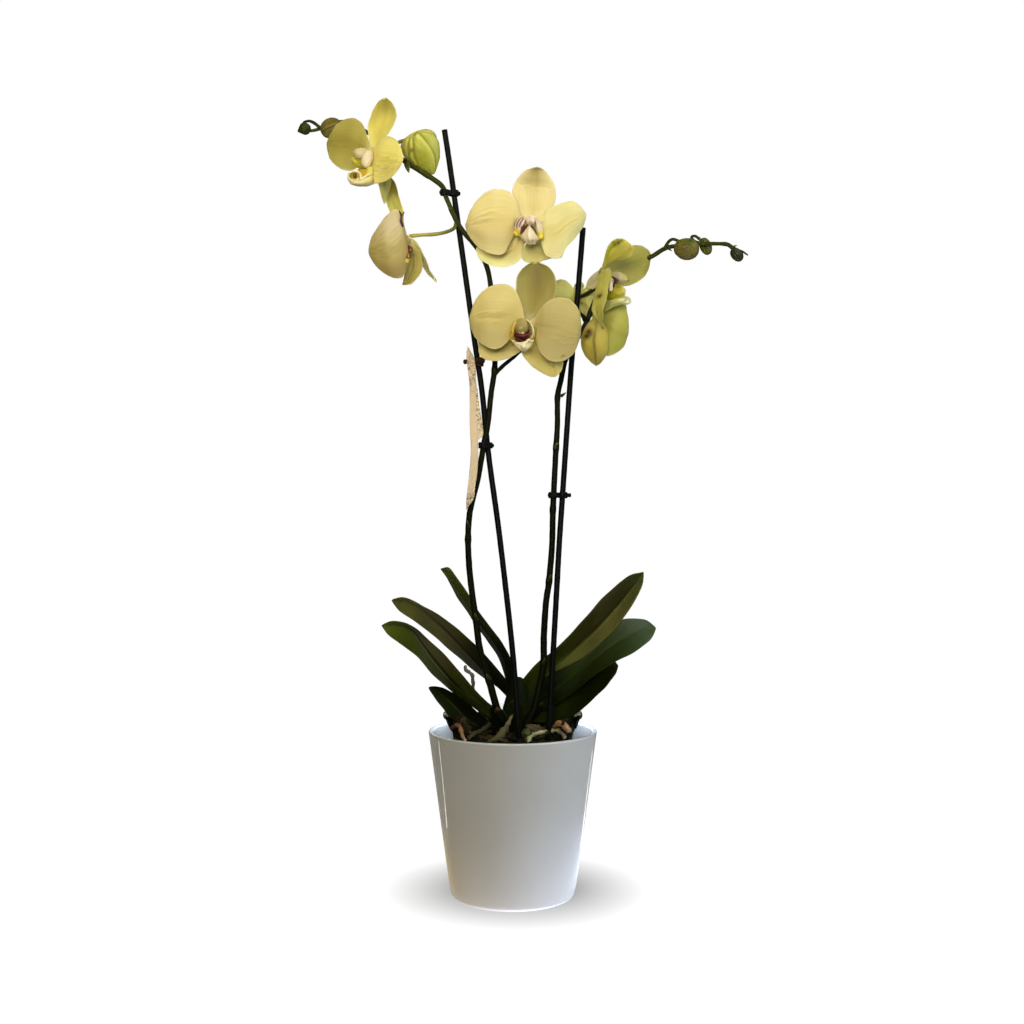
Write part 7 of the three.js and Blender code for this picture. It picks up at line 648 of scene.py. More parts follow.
    [10.8, -49, 450.7]], [[9.4, -49, 450.2], [9.4, -49, 450.2], [9.4, -49, 450.2]]], (0, -1, -0.2), 1.3, 0.7, (244, 230, 178),
    (226, 206, 110), (248, 236, 200)), ('tube', [[0.04, -49.5, 458.32, 0.7], [2.97, -52, 456.04, 0.95], [6.92, -54, 455.55, 1.15],
    [10.48, -54.2, 456.64, 1.2], [12.38, -54, 458.55, 0.95], [14.46, -52.4, 457.59, 0.9], [16.71, -49.8, 458.29, 0.6]],
    (246, 232, 186))], 'flower_3': [('blade', [[[-117.7, -17, 616.6], [-117.6, -18, 613.2], [-117.7, -17, 610.2]], [[-119.2, -18.6, 616.7],
    [-119, -21.2, 612.4], [-119.3, -19.1, 609.1]], [[-120.7, -20.2, 616.7], [-120.5, -24, 611.8], [-120.8, -21.1, 608.2]],
    [[-122.3, -21.3, 616.7], [-122.1, -25.4, 611.5], [-122.6, -22.4, 607.8]], [[-123.9, -22.4, 616.5], [-123.7, -26.4, 611.4],
    [-124.3, -23.4, 607.8]], [[-125.5, -22.9, 616.1], [-125.4, -27, 611.5], [-126, -23.9, 608.3]], [[-127, -22.9, 615.5],
    [-126.8, -26.6, 611.9], [-127.3, -23.8, 609.7]], [[-128.2, -22.5, 614.3], [-128.1, -24.5, 612.5], [-128.3, -22.9, 611.4]],
    [[-129.4, -22, 613.2], [-129.4, -22, 613.2], [-129.4, -22, 613.2]]], (0, -1, 0), 0.8, 0.9, (226, 208, 160), (216, 200, 140),
    (0.4, 1), ''), ('blade', [[[-120.9, -18, 607.5], [-120.4, -19, 603.7], [-120.1, -18, 600.3]], [[-122.2, -18.8, 607.6],
    [-121.9, -20.6, 603.6], [-122, -19.2, 600.2]], [[-123.5, -19.6, 607.6], [-123.5, -22.2, 603.4], [-123.9, -20.3, 600.2]],
    [[-124.8, -20.2, 607.7], [-125, -23.3, 603.6], [-125.7, -21.3, 600.5]], [[-126.1, -20.5, 608], [-126.4, -24.3, 604.1],
    [-127.4, -22.3, 601.4]], [[-127.3, -20.9, 608.6], [-127.8, -24.9, 605], [-128.8, -22.9, 602.6]], [[-128.5, -21.2, 609.1],
    [-129, -24.7, 606.1], [-130, -22.9, 604.2]], [[-129.9, -21.6, 609.1], [-130.1, -23.4, 607.4], [-130.6, -22.5, 606.3]],
    [[-131, -22, 608.3], [-131, -22, 608.3], [-131, -22, 608.3]]], (0, -1, 0), 0.8, 0.9, (190, 180, 44), (206, 196, 70),
    (0.3, 1), ''), ('blade', [[[-114.8, -22, 601.5], [-114.8, -18, 596], [-114, -22, 589]], [[-117.4, -22, 600.5], [-117.5, -18, 595.1],
    [-116.8, -22, 588.2]], [[-120, -22, 599.6], [-120.2, -18, 594.3], [-119.6, -22, 587.5]], [[-122.7, -22, 599.1], [-123, -18, 594],
    [-122.5, -22, 587.3]], [[-125.4, -22, 598.8], [-125.8, -18, 593.9], [-125.4, -22, 587.4]], [[-128.1, -22, 598.3],
    [-128.5, -18.3, 593.8], [-128.2, -22, 587.9]], [[-130.8, -22, 597.6], [-131.1, -19, 593.8], [-130.9, -22, 588.8]],
    [[-132.7, -22.4, 595.7], [-133, -20.6, 593.6], [-132.9, -22.4, 590.7]], [[-134, -23, 593.2], [-134, -23, 593.2],
    [-134, -23, 593.2]]], (0, -1, 0), 0.9, 0.9, (236, 206, 60), (214, 180, 50), (0.4, 1), ''), ('blade', [[[-112.8, -27, 593.2],
    [-112.4, -27, 589.8], [-112.2, -24, 586.8]], [[-115.2, -28.7, 592], [-115, -29.9, 588.3], [-115.3, -25.1, 585.7]],
    [[-117.7, -30, 590.8], [-117.6, -32, 587], [-118.3, -26, 584.7]], [[-120.3, -30.7, 589.6], [-120.4, -33.3, 586.1],
    [-121.5, -26.7, 584.4]], [[-122.8, -31, 588.7], [-123.3, -34, 585.7], [-124.7, -27, 584.5]], [[-125.7, -30.4, 588.6],
    [-126.3, -33.1, 586.1], [-127.8, -26.7, 585.3]], [[-128.6, -29, 589.2], [-129.3, -31, 587.3], [-130.9, -26, 586.8]],
    [[-131.4, -26.9, 590.6], [-131.9, -28, 589.7], [-132.8, -25.1, 589.5]], [[-133.9, -24, 592.8], [-133.9, -24, 592.8],
    [-133.9, -24, 592.8]]], (0, -1, 0), 1, 0.9, (240, 226, 150), (246, 234, 176), (0.3, 1), ''), ('tube', [[-113.17, -27, 595.25, 0.7],
    [-118.14, -30, 592.26, 0.8], [-122.07, -31, 589.98, 0.8], [-122.48, -30, 593.38, 0.8], [-125.58, -28, 596.34, 0.8],
    [-130.03, -27, 596.22, 0.8], [-132.62, -27, 593.97, 0.8], [-131.45, -29, 590.21, 0.9], [-126.9, -31, 588.38, 0.8],
    [-124.16, -31, 589.98, 0.6]], (248, 238, 196)), ('ball', [-129.12, -25, 593.64], [-126.19, -26, 593.44], 2.2, (120, 96, 50),
    (96, 76, 40), (1, 0.8), None), ('ball', [-116.79, -18, 614.42], [-118.81, -27, 600.07], 4.7, (244, 228, 196), (238, 220, 180),
    (1, 0.95), None), ('ball', [-115.05, -24, 601.48], [-115.1, -28, 591.85], 3, (226, 214, 90), (232, 218, 110), None, None)],
    'flower_5': [('blade', [[[80.4, -12, 516.8], [80.9, -14, 514.1], [81.6, -12, 511.9]], [[82.3, -14, 517.2], [82.4, -17.1, 513.1],
    [82.8, -14, 509.8]], [[84.4, -16, 517.3], [83.9, -20, 512], [84, -16, 507.8]], [[86.4, -18.2, 516.7], [85.7, -23.3, 510.9],
    [85.7, -18.2, 506.3]], [[88.4, -20, 515.9], [87.7, -25, 510.2], [87.8, -20, 505.8]], [[90.3, -21.3, 514.9], [89.7, -25.7, 509.9],
    [89.8, -21.3, 506]], [[92.1, -22, 513.6], [91.6, -26, 509.8], [91.8, -22, 507]], [[93.6, -22.1, 512], [93.3, -24.7, 509.9],
    [93.4, -22.1, 508.5]], [[94.8, -22, 510.2], [94.8, -22, 510.2], [94.8, -22, 510.2]]], (0, -1, 0), 0.8, 0.9, (196, 184, 146),
    (178, 166, 54), (0.35, 0.95), ''), ('tube', [[82.04, -18, 507.09, 1.2], [86.38, -20, 505.3, 1.3], [90.7, -22, 506.1, 1],
    [94.35, -22, 509.5, 0.6]], (190, 176, 60)), ('tube', [[80.19, -25, 512.02, 0.5], [82.23, -26, 510.44, 1.1], [83.78, -27, 508.86, 1.5],
    [85.56, -27, 509.34, 0.6]], (56, 12, 18)), ('tube', [[83.46, -27, 508.7, 1.3], [82.24, -26, 506.73, 0.9], [81.33, -25, 504.11, 0.5]],
    (64, 16, 20)), ('ball', [80.66, -14, 513.29], [79.46, -24, 500.28], 2.3, (232, 212, 200), (226, 206, 186), (1, 0.9),
    None), ('blade', [[[77.4, -14, 504.3], [77, -16, 499.2], [76.8, -14, 494.6]], [[79.2, -15.5, 505], [78.9, -19.3, 498.8],
    [79, -15.5, 493.4]], [[81, -17, 505.5], [80.8, -22, 498.4], [81.3, -17, 492.6]], [[83, -18.6, 505.4], [82.9, -24.1, 498.4],
    [83.6, -18.6, 492.7]], [[84.9, -20, 505.1], [85, -25, 498.6], [85.8, -20, 493.4]], [[86.9, -21.1, 504.9], [87.1, -25.1, 499.1],
    [88, -21.1, 494.3]], [[88.8, -22, 504.6], [89.1, -25, 499.7], [89.9, -22, 495.6]], [[90.4, -22.5, 503.3], [90.5, -24.2, 500.3],
    [90.9, -22.5, 497.7]], [[91.5, -23, 501.6], [91.5, -23, 501.6], [91.5, -23, 501.6]]], (0, -1, 0), 0.9, 0.9, (170, 162, 22),
    (204, 192, 84), (0.45, 1), ''), ('blade', [[[76.7, -12, 494.8], [75.8, -14, 489.9], [75.1, -12, 485.4]], [[78.8, -14.4, 495.2],
    [78, -17.8, 490.4], [77.6, -14.4, 486.4]], [[80.9, -16.7, 495.6], [80.2, -21.3, 491], [80.1, -16.7, 487.4]], [[83.1, -18.6, 496],
    [82.5, -23.7, 491.6], [82.6, -18.6, 488.4]], [[85.2, -20.1, 496.3], [84.9, -25.9, 492.1], [85.3, -20.1, 489.2]],
    [[87.5, -21.5, 496.5], [87.3, -26.9, 492.6], [88, -21.5, 490]], [[89.7, -23, 496.3], [89.7, -26.9, 493.3], [90.3, -23, 491.3]],
    [[91.9, -24.5, 495.8], [91.9, -26.5, 494.3], [92.3, -24.5, 493.2]], [[94.1, -26, 495.2], [94.1, -26, 495.2], [94.1, -26, 495.2]]],
    (0, -1, 0), 0.9, 0.9, (216, 214, 126), (228, 226, 160), (0.3, 0.9), ''), ('tube', [[88.47, -25, 495.23, 0.9], [91.56, -27, 495.32, 1.2],
    [94.31, -27, 493.87, 1.2], [94.48, -27, 491.61, 1.2], [92.38, -27, 490.32, 1.2], [89.87, -26, 490.76, 1.1], [88.8, -25, 492.49, 0.8]],
    (214, 214, 160))]}
LIPS_MORE = {'flower_4': [('tube', [[-92.1, -19, 565.94, 0.55], [-90.41, -20, 561.88, 0.85], [-90.74, -20, 557.84, 0.9],
    [-89.36, -19, 553.64, 0.8]], (66, 22, 26)), ('tube', [[-88.36, -19, 565.13, 0.5], [-90.41, -20, 561.4, 0.7]], (66, 22, 26)),
    ('ball', [-85, -14, 538.92], [-82.37, -17, 533.19], 1.9, (96, 34, 30), (120, 60, 36), None, None), ('ball', [-84.13, -15, 533.49],
    [-85.5, -19, 527.55], 1.9, (110, 52, 30), (84, 30, 24), None, (0.8, (206, 176, 60), 2, 0.9)), ('ball', [-85.37, -16, 528.47],
    [-86.87, -18, 523.72], 2.2, (206, 184, 60), (216, 196, 80), None, None)]}
# painted shadow on the floor: seen by the camera its glow is FLOOR_NEAR close to the pot and rises to FLOOR_FAR away
# from it, over the halo below: centre x, centre y, y scale, start and end distance, power
FLOOR_NEAR = 0.33
FLOOR_FAR = 1
SHADOW_HALO = (0.003, 0.03, 0.9, 0.045, 0.112, 0.9)
BOUNCE = ((0.41, 0.302, 0.138), (0.945, 1.045, 1.36))
SKY = ((0.021, 0, 0), (0.248, 0.251, 0.181), (0, 0, 0), (0.012, 0.012, 0))
LAMPS = [('overhead', (0, -0.05, 1.7), (0, 0, 0.3), (1.4, 1.4), 4.742, (1, 0.982, 0.641), 3.14), ('key', (-0.1, -1.05, 0.74),
    (0, 0, 0.56), (0.8, 0.5), 1.421, (1, 0.94, 0.835), 0.9), ('left top', (-0.85, -0.8, 0.78), (-0.145, -0.03, 0.645),
    (0.3, 0.3), 0.055, (1, 0.97, 0.88), 0.26), ('upper right', (0.75, -0.35, 1.05), (0, 0, 0.15), (0.5, 0.5), 4.08, (0.937, 0.955, 1),
    3.14), ('cool side', (1.1, -0.35, 0.25), (0, 0, 0.1), (0.5, 0.5), 1.75, (0.189, 0.493, 1), 3.14), ('back fill', (-0.55, 1.45, 1.05),
    (0, 0, 0.34), (1.1, 1.1), 2.6, (1, 0.98, 0.94), 3.14), ('well left', (-0.054, 0.012, 0.16), (-0.064, 0.013, 0.136),
    (0.05, 0.008), 0.018, (0.76, 0.87, 1), 2.6), ('well right', (0.054, 0.012, 0.16), (0.064, 0.013, 0.136), (0.05, 0.008),
    0.021, (0.74, 0.84, 1), 2.6), ('strip left', (-0.335, 0.175, 0.003), (-0.335, 0.175, 1), (0.006, 0.34), 0.05, (1, 0.98, 0.94),
    3.14), ('strip right', (0.208, 0.296, 0.003), (0.208, 0.296, 1), (0.01, 0.4), 0.08, (0.92, 0.96, 1), 3.14)]

# ---------------------------------------------------------------- small maths
def srgb(r, g, b):
    """Linear colour of an 8-bit display colour."""
    c = np.array([r, g, b], float) / 255.0
    return np.where(c <= 0.04045, c / 12.92, ((c + 0.055) / 1.055) ** 2.4)


def unit(v):
    v = np.asarray(v, float)
    return v / np.maximum(np.linalg.norm(v, axis=-1, keepdims=True), 1e-9)


def smooth(a, b, x):
    t = np.clip((np.asarray(x, float) - a) / (b - a), 0.0, 1.0)
    return t * t * (3 - 2 * t)


def mix(a, b, f):
    f = np.asarray(f, float)[..., None]
    return np.asarray(a) * (1 - f) + np.asarray(b) * f


def catmull(points, u):
    """Points on a Catmull-Rom spline; u runs from 0 to 1."""
    p = np.asarray(points, float)
    n = len(p)
    q = np.concatenate([2 * p[:1] - p[1:2], p, 2 * p[-1:] - p[-2:-1]])
    x = np.clip(np.asarray(u, float), 0, 1) * (n - 1)
    i = np.minimum(x.astype(int), n - 2)
    w = (x - i).reshape((-1,) + (1,) * (p.ndim - 1))
    a, b, c, d = q[i], q[i + 1], q[i + 2], q[i + 3]
    return 0.5 * (2 * b + (c - a) * w + (2 * a - 5 * b + 4 * c - d) * w**2 + (3 * b - 3 * c + d - a) * w**3)


def path(points, step=1.5):
    """Positions, radii and lengths along a path of points with radii, evenly spaced."""
    p = np.asarray(points, float)
    fine = catmull(p, np.linspace(0, 1, 40 * (len(p) - 1) + 1))
    s = np.r_[0, np.cumsum(np.linalg.norm(np.diff(fine[:, :3], axis=0), axis=1))]
    n = max(4, int(round(s[-1] / step)) + 1)
    at = np.linspace(0, s[-1], n)
    out = np.stack([np.interp(at, s, fine[:, k]) for k in range(p.shape[1])], 1)
    return out[:, :3], out[:, 3], at


def wobble(x, seed, octaves=3):
    """Smooth repeatable noise of one number, about -1 to 1."""
    r = np.random.default_rng(seed)
    x = np.asarray(x, float)
    out = np.zeros_like(x)
    for k in range(octaves):
        f = (1 + 0.3 * r.random()) * 2.0**k
        out += np.sin(x * f + r.random() * 6.283) / 1.7**k
    return out / 1.6


def field(p, seed, scale):
    """Smooth repeatable noise of points, about -1 to 1."""
    r = np.random.default_rng(seed)
    p = np.asarray(p, float) / scale
    out = np.zeros(p.shape[:-1])
    for k in range(7):
        d = unit(r.normal(size=3)) * (0.8 + 1.6 * r.random())
        out += np.sin(p @ d * 6.283 * 0.5 + r.random() * 6.283)
    return out / 3.2


# ---------------------------------------------------------------- mesh building
class Piece:
    """Closed shells in millimetres, with a colour and a surface coordinate at each vertex."""

    def __init__(self):
        self.v, self.f, self.tint, self.flow, self.mat, self.n = [], [], [], [], [], 0

    def add(self, verts, faces, tint, flow=None, mat=0):
        verts = np.asarray(verts, float).reshape(-1, 3)
        n = len(verts)
        tint = np.broadcast_to(np.asarray(tint, float), (n, 3))
        flow = np.zeros((n, 3)) if flow is None else np.asarray(flow, float).reshape(n, 3)
        kept = 0
        for face in np.asarray(faces).tolist():
            ring = []
            for i in face:
                if i >= 0 and (not ring or i != ring[-1]):
                    ring.append(i)
            if len(ring) > 1 and ring[0] == ring[-1]:
                ring.pop()
            if len(ring) > 2:
                self.f.append([i + self.n for i in ring])
                kept += 1
        self.mat += [mat] * kept
        self.v.append(verts)
        self.tint.append(tint)
        self.flow.append(flow)
        self.n += n

    def build(self, name, materials, nodes, slot):
        mesh = bpy.data.meshes.new(name)
        v = np.concatenate(self.v)
        mesh.from_pydata((v * MM).tolist(), [], self.f)
        for m in materials:
            mesh.materials.append(m)
        mesh.polygons.foreach_set("use_smooth", np.ones(len(mesh.polygons), bool))
        mesh.polygons.foreach_set("material_index", np.array(self.mat, np.int32))
        c = np.concatenate([np.concatenate(self.tint), np.ones((len(v), 1))], 1)
        mesh.attributes.new("tint", "FLOAT_COLOR", "POINT").data.foreach_set("color", c.ravel())
        mesh.attributes.new("flow", "FLOAT_VECTOR", "POINT").data.foreach_set("vector", np.concatenate(self.flow).ravel())
        mesh.update()
        mesh.validate()
        obj = bpy.data.objects.new(name, mesh)
        bpy.context.scene.collection.objects.link(obj)
        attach(obj, "root")
        if nodes:
            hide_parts(*nodes)
        return obj


def grid(index, flip=False):
    a, b = index[:-1, :-1], index[:-1, 1:]
    c, d = index[1:, 1:], index[1:, :-1]
    q = np.stack([a, b, c, d], -1).reshape(-1, 4)
    return q[:, ::-1] if flip else q


def fix_outward(verts, faces):
    """Faces turned so that their shell's volume is positive."""
    tri = []
    for f in np.asarray(faces).tolist():
        f = [i for i in f if i >= 0]
        tri += [[f[0], f[k], f[k + 1]] for k in range(1, len(f) - 1)]
    tri = np.array(tri)
    v = np.asarray(verts, float)
    v = v - v.mean(0)
    vol = np.einsum("ij,ij->i", v[tri[:, 0]], np.cross(v[tri[:, 1]], v[tri[:, 2]])).sum()
    return faces if vol >= 0 else np.asarray(faces)[:, ::-1]


def bowed(t, crease):
    return (np.sqrt(t * t + crease * crease) - crease) / (math.sqrt(1 + crease * crease) - crease)


def blade(piece, rows, facing, thick, crease, paint, relief=None, ns=54, nt=34, edge=6, mat=0, ease=1.0):
    """A thin closed blade through rows of edge, midrib and edge points, painted by paint(s, t, front, points)."""
    rows = np.asarray(rows, float)
    s = np.linspace(0, 1, ns) ** ease
    x = np.linspace(-1, 1, nt)
    t = np.sin(x * math.pi / 2) * 0.55 + x * 0.45
    rail = catmull(rows, s)
    a, m, b = rail[:, 0], rail[:, 1], rail[:, 2]
    half = (b - a) / 2
    bow = (a + b) / 2 - m
    p = m[:, None] + half[:, None] * t[None, :, None] + bow[:, None] * bowed(t, crease)[None, :, None]
    ds = np.gradient(p, axis=0)
    dt = np.gradient(p, axis=1)
    dt[-1] = dt[-2]
    n = unit(np.cross(ds, dt))
    n[-1] = n[-2].mean(0)
    n[0] = n[1]
    for _ in range(2):
        n = unit(n + 0.5 * np.roll(n, 1, 1) * (np.arange(nt) > 0)[None, :, None] + 0.5 * np.roll(n, -1, 1) * (np.arange(nt) < nt - 1)[None, :, None])
    sign = 1.0 if (n @ np.asarray(facing, float)).mean() >= 0 else -1.0
    n = n * sign
    ss, tt = np.meshgrid(s, t, indexing="ij")
    length = np.linalg.norm(np.diff(m, axis=0), axis=1).sum()
    width = np.linalg.norm(b - a, axis=1)
    if relief is not None:
        p = p + n * relief(ss, tt, length, width)[..., None]
        ds = np.gradient(p, axis=0)
        dt = np.gradient(p, axis=1)
        dt[-1] = dt[-2]
        n2 = unit(np.cross(ds, dt)) * sign
        n2[-1] = n2[-2].mean(0)
        n2[0] = n2[1]
        n = n2
    h = thick / 2 * np.sqrt(np.clip(1 - np.abs(tt) ** edge, 0, 1)) * np.clip(ss / 0.06, 0, 1) * np.clip((1 - ss) / 0.05, 0, 1) ** 0.5
    front = p + n * h[..., None]
    back = p - n * h[..., None]
    tip = p[-1].mean(0)
    front[-1] = tip
    size = ns * nt
    fi = np.arange(size).reshape(ns, nt)
    fi[-1] = fi[-1, 0]
    bi = np.arange(size, 2 * size).reshape(ns, nt)
    bi[:, 0] = fi[:, 0]
    bi[:, -1] = fi[:, -1]
    bi[0] = fi[0]
    bi[-1] = fi[-1, 0]
    faces = np.concatenate([grid(fi, sign < 0), grid(bi, sign > 0)])
    verts = np.concatenate([front.reshape(-1, 3), back.reshape(-1, 3)])
    cf = paint(ss, tt, True, front)
    cb = paint(ss, tt, False, back)
    acc = np.r_[0, np.cumsum(np.linalg.norm(np.diff(m, axis=0), axis=1))][:, None] * np.ones((1, nt))
    across = tt * np.maximum(width, 1.0)[:, None] / 2
    flow = np.stack([acc, tt * np.maximum(width.max(), 1.0) / 2, across], -1).reshape(-1, 3)
    tint = np.concatenate([cf.reshape(-1, 3), cb.reshape(-1, 3)])
    used = np.unique(faces)
    remap = np.full(2 * size, -1)
    remap[used] = np.arange(len(used))
    piece.add(verts[used], remap[faces], tint[used], np.concatenate([flow, flow])[used], mat)


def tube(piece, points, around=18, step=1.6, paint=None, swell=None, rough=0.0, seed=1, mat=0, cap=0.6, squash=1.0):
    """A round stem along points with radii, with rounded ends."""
    c, r, at = path(points, step)
    total = at[-1]
    if swell is not None:
        r = r + swell(at, c)
    tangent = unit(np.gradient(c, axis=0))
    normals = []
    normal = np.array([0.0, -1.0, 0.0]) if abs(tangent[0, 1]) < 0.9 else np.array([1.0, 0, 0])
    for k in range(len(c)):
        normal = normal - tangent[k] * (normal @ tangent[k])
        normal = normal / np.linalg.norm(normal)
        normals.append(normal)
    normals = np.array(normals)
    binormals = np.cross(tangent, normals)
    ends = [0.0, 0.45, 0.8, 0.97]
    cc, rr, nn, bb, aa = [], [], [], [], []
    for e in ends:
        cc.append(c[0] - tangent[0] * r[0] * cap * math.sqrt(1 - e * e) if e < 1 else c[0])
        rr.append(r[0] * e)
        nn.append(normals[0]); bb.append(binormals[0]); aa.append(0.0)
    for k in range(len(c)):
        cc.append(c[k]); rr.append(r[k]); nn.append(normals[k]); bb.append(binormals[k]); aa.append(at[k])
    for e in ends[::-1]:
        cc.append(c[-1] + tangent[-1] * r[-1] * cap * math.sqrt(1 - e * e))
        rr.append(r[-1] * e)
        nn.append(normals[-1]); bb.append(binormals[-1]); aa.append(total)
    cc, rr, nn, bb, aa = map(np.array, (cc, rr, nn, bb, aa))
    ang = np.linspace(0, 2 * math.pi, around, endpoint=False)
    ring = nn[:, None] * np.cos(ang)[None, :, None] + bb[:, None] * np.sin(ang)[None, :, None] * squash
    p = cc[:, None] + ring * rr[:, None, None]
    if rough:
        p = p + ring * (field(p, seed, 6.0) * rough)[..., None] * np.minimum(rr, 1)[:, None, None]
    rows, cols = p.shape[:2]
    idx = np.arange(rows * cols).reshape(rows, cols)
    idx[0] = idx[0, 0]
    idx[-1] = idx[-1, 0]
    idx = np.concatenate([idx, idx[:, :1]], 1)
    a2 = np.broadcast_to(aa[:, None], (rows, cols))
    g2 = np.broadcast_to(ang[None], (rows, cols))
    tint = paint(a2, g2, p, total) if callable(paint) else np.broadcast_to(np.asarray(paint, float), (rows, cols, 3))
    flow = np.stack([a2, np.cos(g2) * rr[:, None], np.sin(g2) * rr[:, None]], -1)
    verts = p.reshape(-1, 3)
    faces = fix_outward(verts, grid(idx))
    used = np.unique(faces)
    remap = np.full(rows * cols, -1)
    remap[used] = np.arange(len(used))
    piece.add(verts[used], remap[faces], tint.reshape(-1, 3)[used], flow.reshape(-1, 3)[used], mat)


def ball(piece, start, end, radius, paint, around=24, along=18, shape=None, mat=0, flat=None):
    """A closed rounded body from start to end; shape(u, angle) scales its radius."""
    a, b = np.asarray(start, float), np.asarray(end, float)
    axis = b - a
    length = np.linalg.norm(axis)
    axis = axis / length
    ref = np.array([0.0, 1.0, 0.0]) if abs(axis[1]) < 0.9 else np.array([1.0, 0.0, 0.0])
    n = unit(np.cross(ref, axis))
    k = np.cross(axis, n)
    th = np.linspace(0, math.pi, along)
    u = (1 - np.cos(th)) / 2
    ang = np.linspace(0, 2 * math.pi, around, endpoint=False)
    uu, gg = np.meshgrid(u, ang, indexing="ij")
    r = radius * np.sin(np.broadcast_to(th[:, None], uu.shape)) ** 0.9
    if shape is not None:
        r = r * shape(uu, gg)
    cn, ck = (1.0, 1.0) if flat is None else flat
    p = a + axis * (uu * length)[..., None] + n * (r * np.cos(gg) * cn)[..., None] + k * (r * np.sin(gg) * ck)[..., None]
    p[0] = a
    p[-1] = b
    rows, cols = uu.shape
    idx = np.arange(rows * cols).reshape(rows, cols)
    idx[0] = idx[0, 0]
    idx[-1] = idx[-1, 0]
    idx = np.concatenate([idx, idx[:, :1]], 1)
    tint = paint(uu, gg, p) if callable(paint) else np.broadcast_to(np.asarray(paint, float), uu.shape + (3,))
    flow = np.stack([uu * length, np.cos(gg) * r, np.sin(gg) * r], -1)
    verts = p.reshape(-1, 3)
    faces = fix_outward(verts, grid(idx))
    used = np.unique(faces)
    remap = np.full(rows * cols, -1)
    remap[used] = np.arange(len(used))
    piece.add(verts[used], remap[faces], tint.reshape(-1, 3)[used], flow.reshape(-1, 3)[used], mat)


def lathe(piece, profile, segments, tint, mat=0, out=None):
    """A body of revolution round Z. The profile runs from the axis, round the outside, back to the axis."""
    pr = np.asarray(profile, float)
    ang = np.linspace(0, 2 * math.pi, segments, endpoint=False)
    r = np.broadcast_to(pr[:, 0][:, None], (len(pr), segments)).copy()
    z = np.broadcast_to(pr[:, 1][:, None], (len(pr), segments)).copy()
    if out is not None:
        r, z = out(r, z, np.broadcast_to(ang[None], r.shape))
    p = np.stack([r * np.cos(ang)[None], r * np.sin(ang)[None], z], -1)
    idx = np.arange(p.shape[0] * segments).reshape(p.shape[0], segments)
    for k in range(len(pr)):
        if pr[k, 0] < 1e-9:
            idx[k] = idx[k, 0]
    idx = np.concatenate([idx, idx[:, :1]], 1)
    verts = p.reshape(-1, 3)
    faces = fix_outward(verts, grid(idx))
    used = np.unique(faces)
    remap = np.full(len(verts), -1)
    remap[used] = np.arange(len(used))
    tint = np.broadcast_to(np.asarray(tint, float), (len(verts), 3)) if not callable(tint) else tint(p).reshape(-1, 3)
    piece.add(verts[used], remap[faces], tint[used], verts[used], mat)


def rounded(points, radius, steps=6):
    """A polyline with its inner corners rounded."""
    pts = [np.asarray(p, float) for p in points]
    rad = radius if hasattr(radius, "__len__") else [radius] * len(pts)
    out = [pts[0]]
    for k in range(1, len(pts) - 1):
        a, b, c = pts[k - 1], pts[k], pts[k + 1]
        d1, d2 = unit(a - b), unit(c - b)
        q = min(rad[k], 0.45 * np.linalg.norm(a - b), 0.45 * np.linalg.norm(c - b))
        if q < 1e-6:
            out.append(b)
            continue
        p0, p1 = b + d1 * q, b + d2 * q
        for w in np.linspace(0, 1, steps):
            out.append((1 - w) ** 2 * p0 + 2 * w * (1 - w) * b + w * w * p1)
    out.append(pts[-1])
    return np.array(out)


# ---------------------------------------------------------------- materials
def new_material(name):
    m = bpy.data.materials.new(name)
    m.use_nodes = True
    m.node_tree.nodes.clear()
    return m, m.node_tree


def node(tree, kind, inputs=None, **props):
    n = tree.nodes.new(kind)
    for k, v in props.items():
        setattr(n, k, v)
    for k, v in (inputs or {}).items():
        if isinstance(v, bpy.types.NodeSocket):
            tree.links.new(v, n.inputs[k])
        else:
            n.inputs[k].default_value = v
    return n


def attribute(tree, name):
    return node(tree, "ShaderNodeAttribute", attribute_name=name)


def scaled(tree, vector, scale):
    return node(tree, "ShaderNodeMapping", {"Vector": vector, "Scale": scale}).outputs["Vector"]


def noise(tree, vector, scale, detail=3.0, rough=0.55, distortion=0.0):
    return node(tree, "ShaderNodeTexNoise", {"Vector": vector, "Scale": scale, "Detail": detail, "Roughness": rough, "Distortion": distortion}).outputs["Fac"]


def ranged(tree, value, a, b, c, d):
    return node(tree, "ShaderNodeMapRange", {"Value": value, "From Min": a, "From Max": b, "To Min": c, "To Max": d}).outputs["Result"]


def maths(tree, op, a, b=0.0):
    return node(tree, "ShaderNodeMath", {0: a, 1: b}, operation=op).outputs[0]


def colour_mix(tree, kind, factor, a, b):
    n = tree.nodes.new("ShaderNodeMix")
    n.data_type = "RGBA"
    n.blend_type = kind
    for key, v in (("Factor", factor), (6, a), (7, b)):
        if isinstance(v, bpy.types.NodeSocket):
            tree.links.new(v, n.inputs[key])
        else:
            n.inputs[key].default_value = v
    return n.outputs[2]


def grey(tree, value):
    return node(tree, "ShaderNodeCombineColor", {"Red": value, "Green": value, "Blue": value}).outputs[0]


def bump(tree, height, strength, distance, normal=None):
    ins = {"Height": height, "Strength": strength, "Distance": distance}
    if normal is not None:
        ins["Normal"] = normal
    return node(tree, "ShaderNodeBump", ins).outputs["Normal"]


def object_coords(tree):
    return node(tree, "ShaderNodeTexCoord").outputs["Object"]


def rgba(c):
    return (float(c[0]), float(c[1]), float(c[2]), 1.0)


def principled(tree, **ins):
    return node(tree, "ShaderNodeBsdfPrincipled", {k.replace("_", " "): v for k, v in ins.items()})


def output(tree, shader):
    node(tree, "ShaderNodeOutputMaterial", {"Surface": shader})


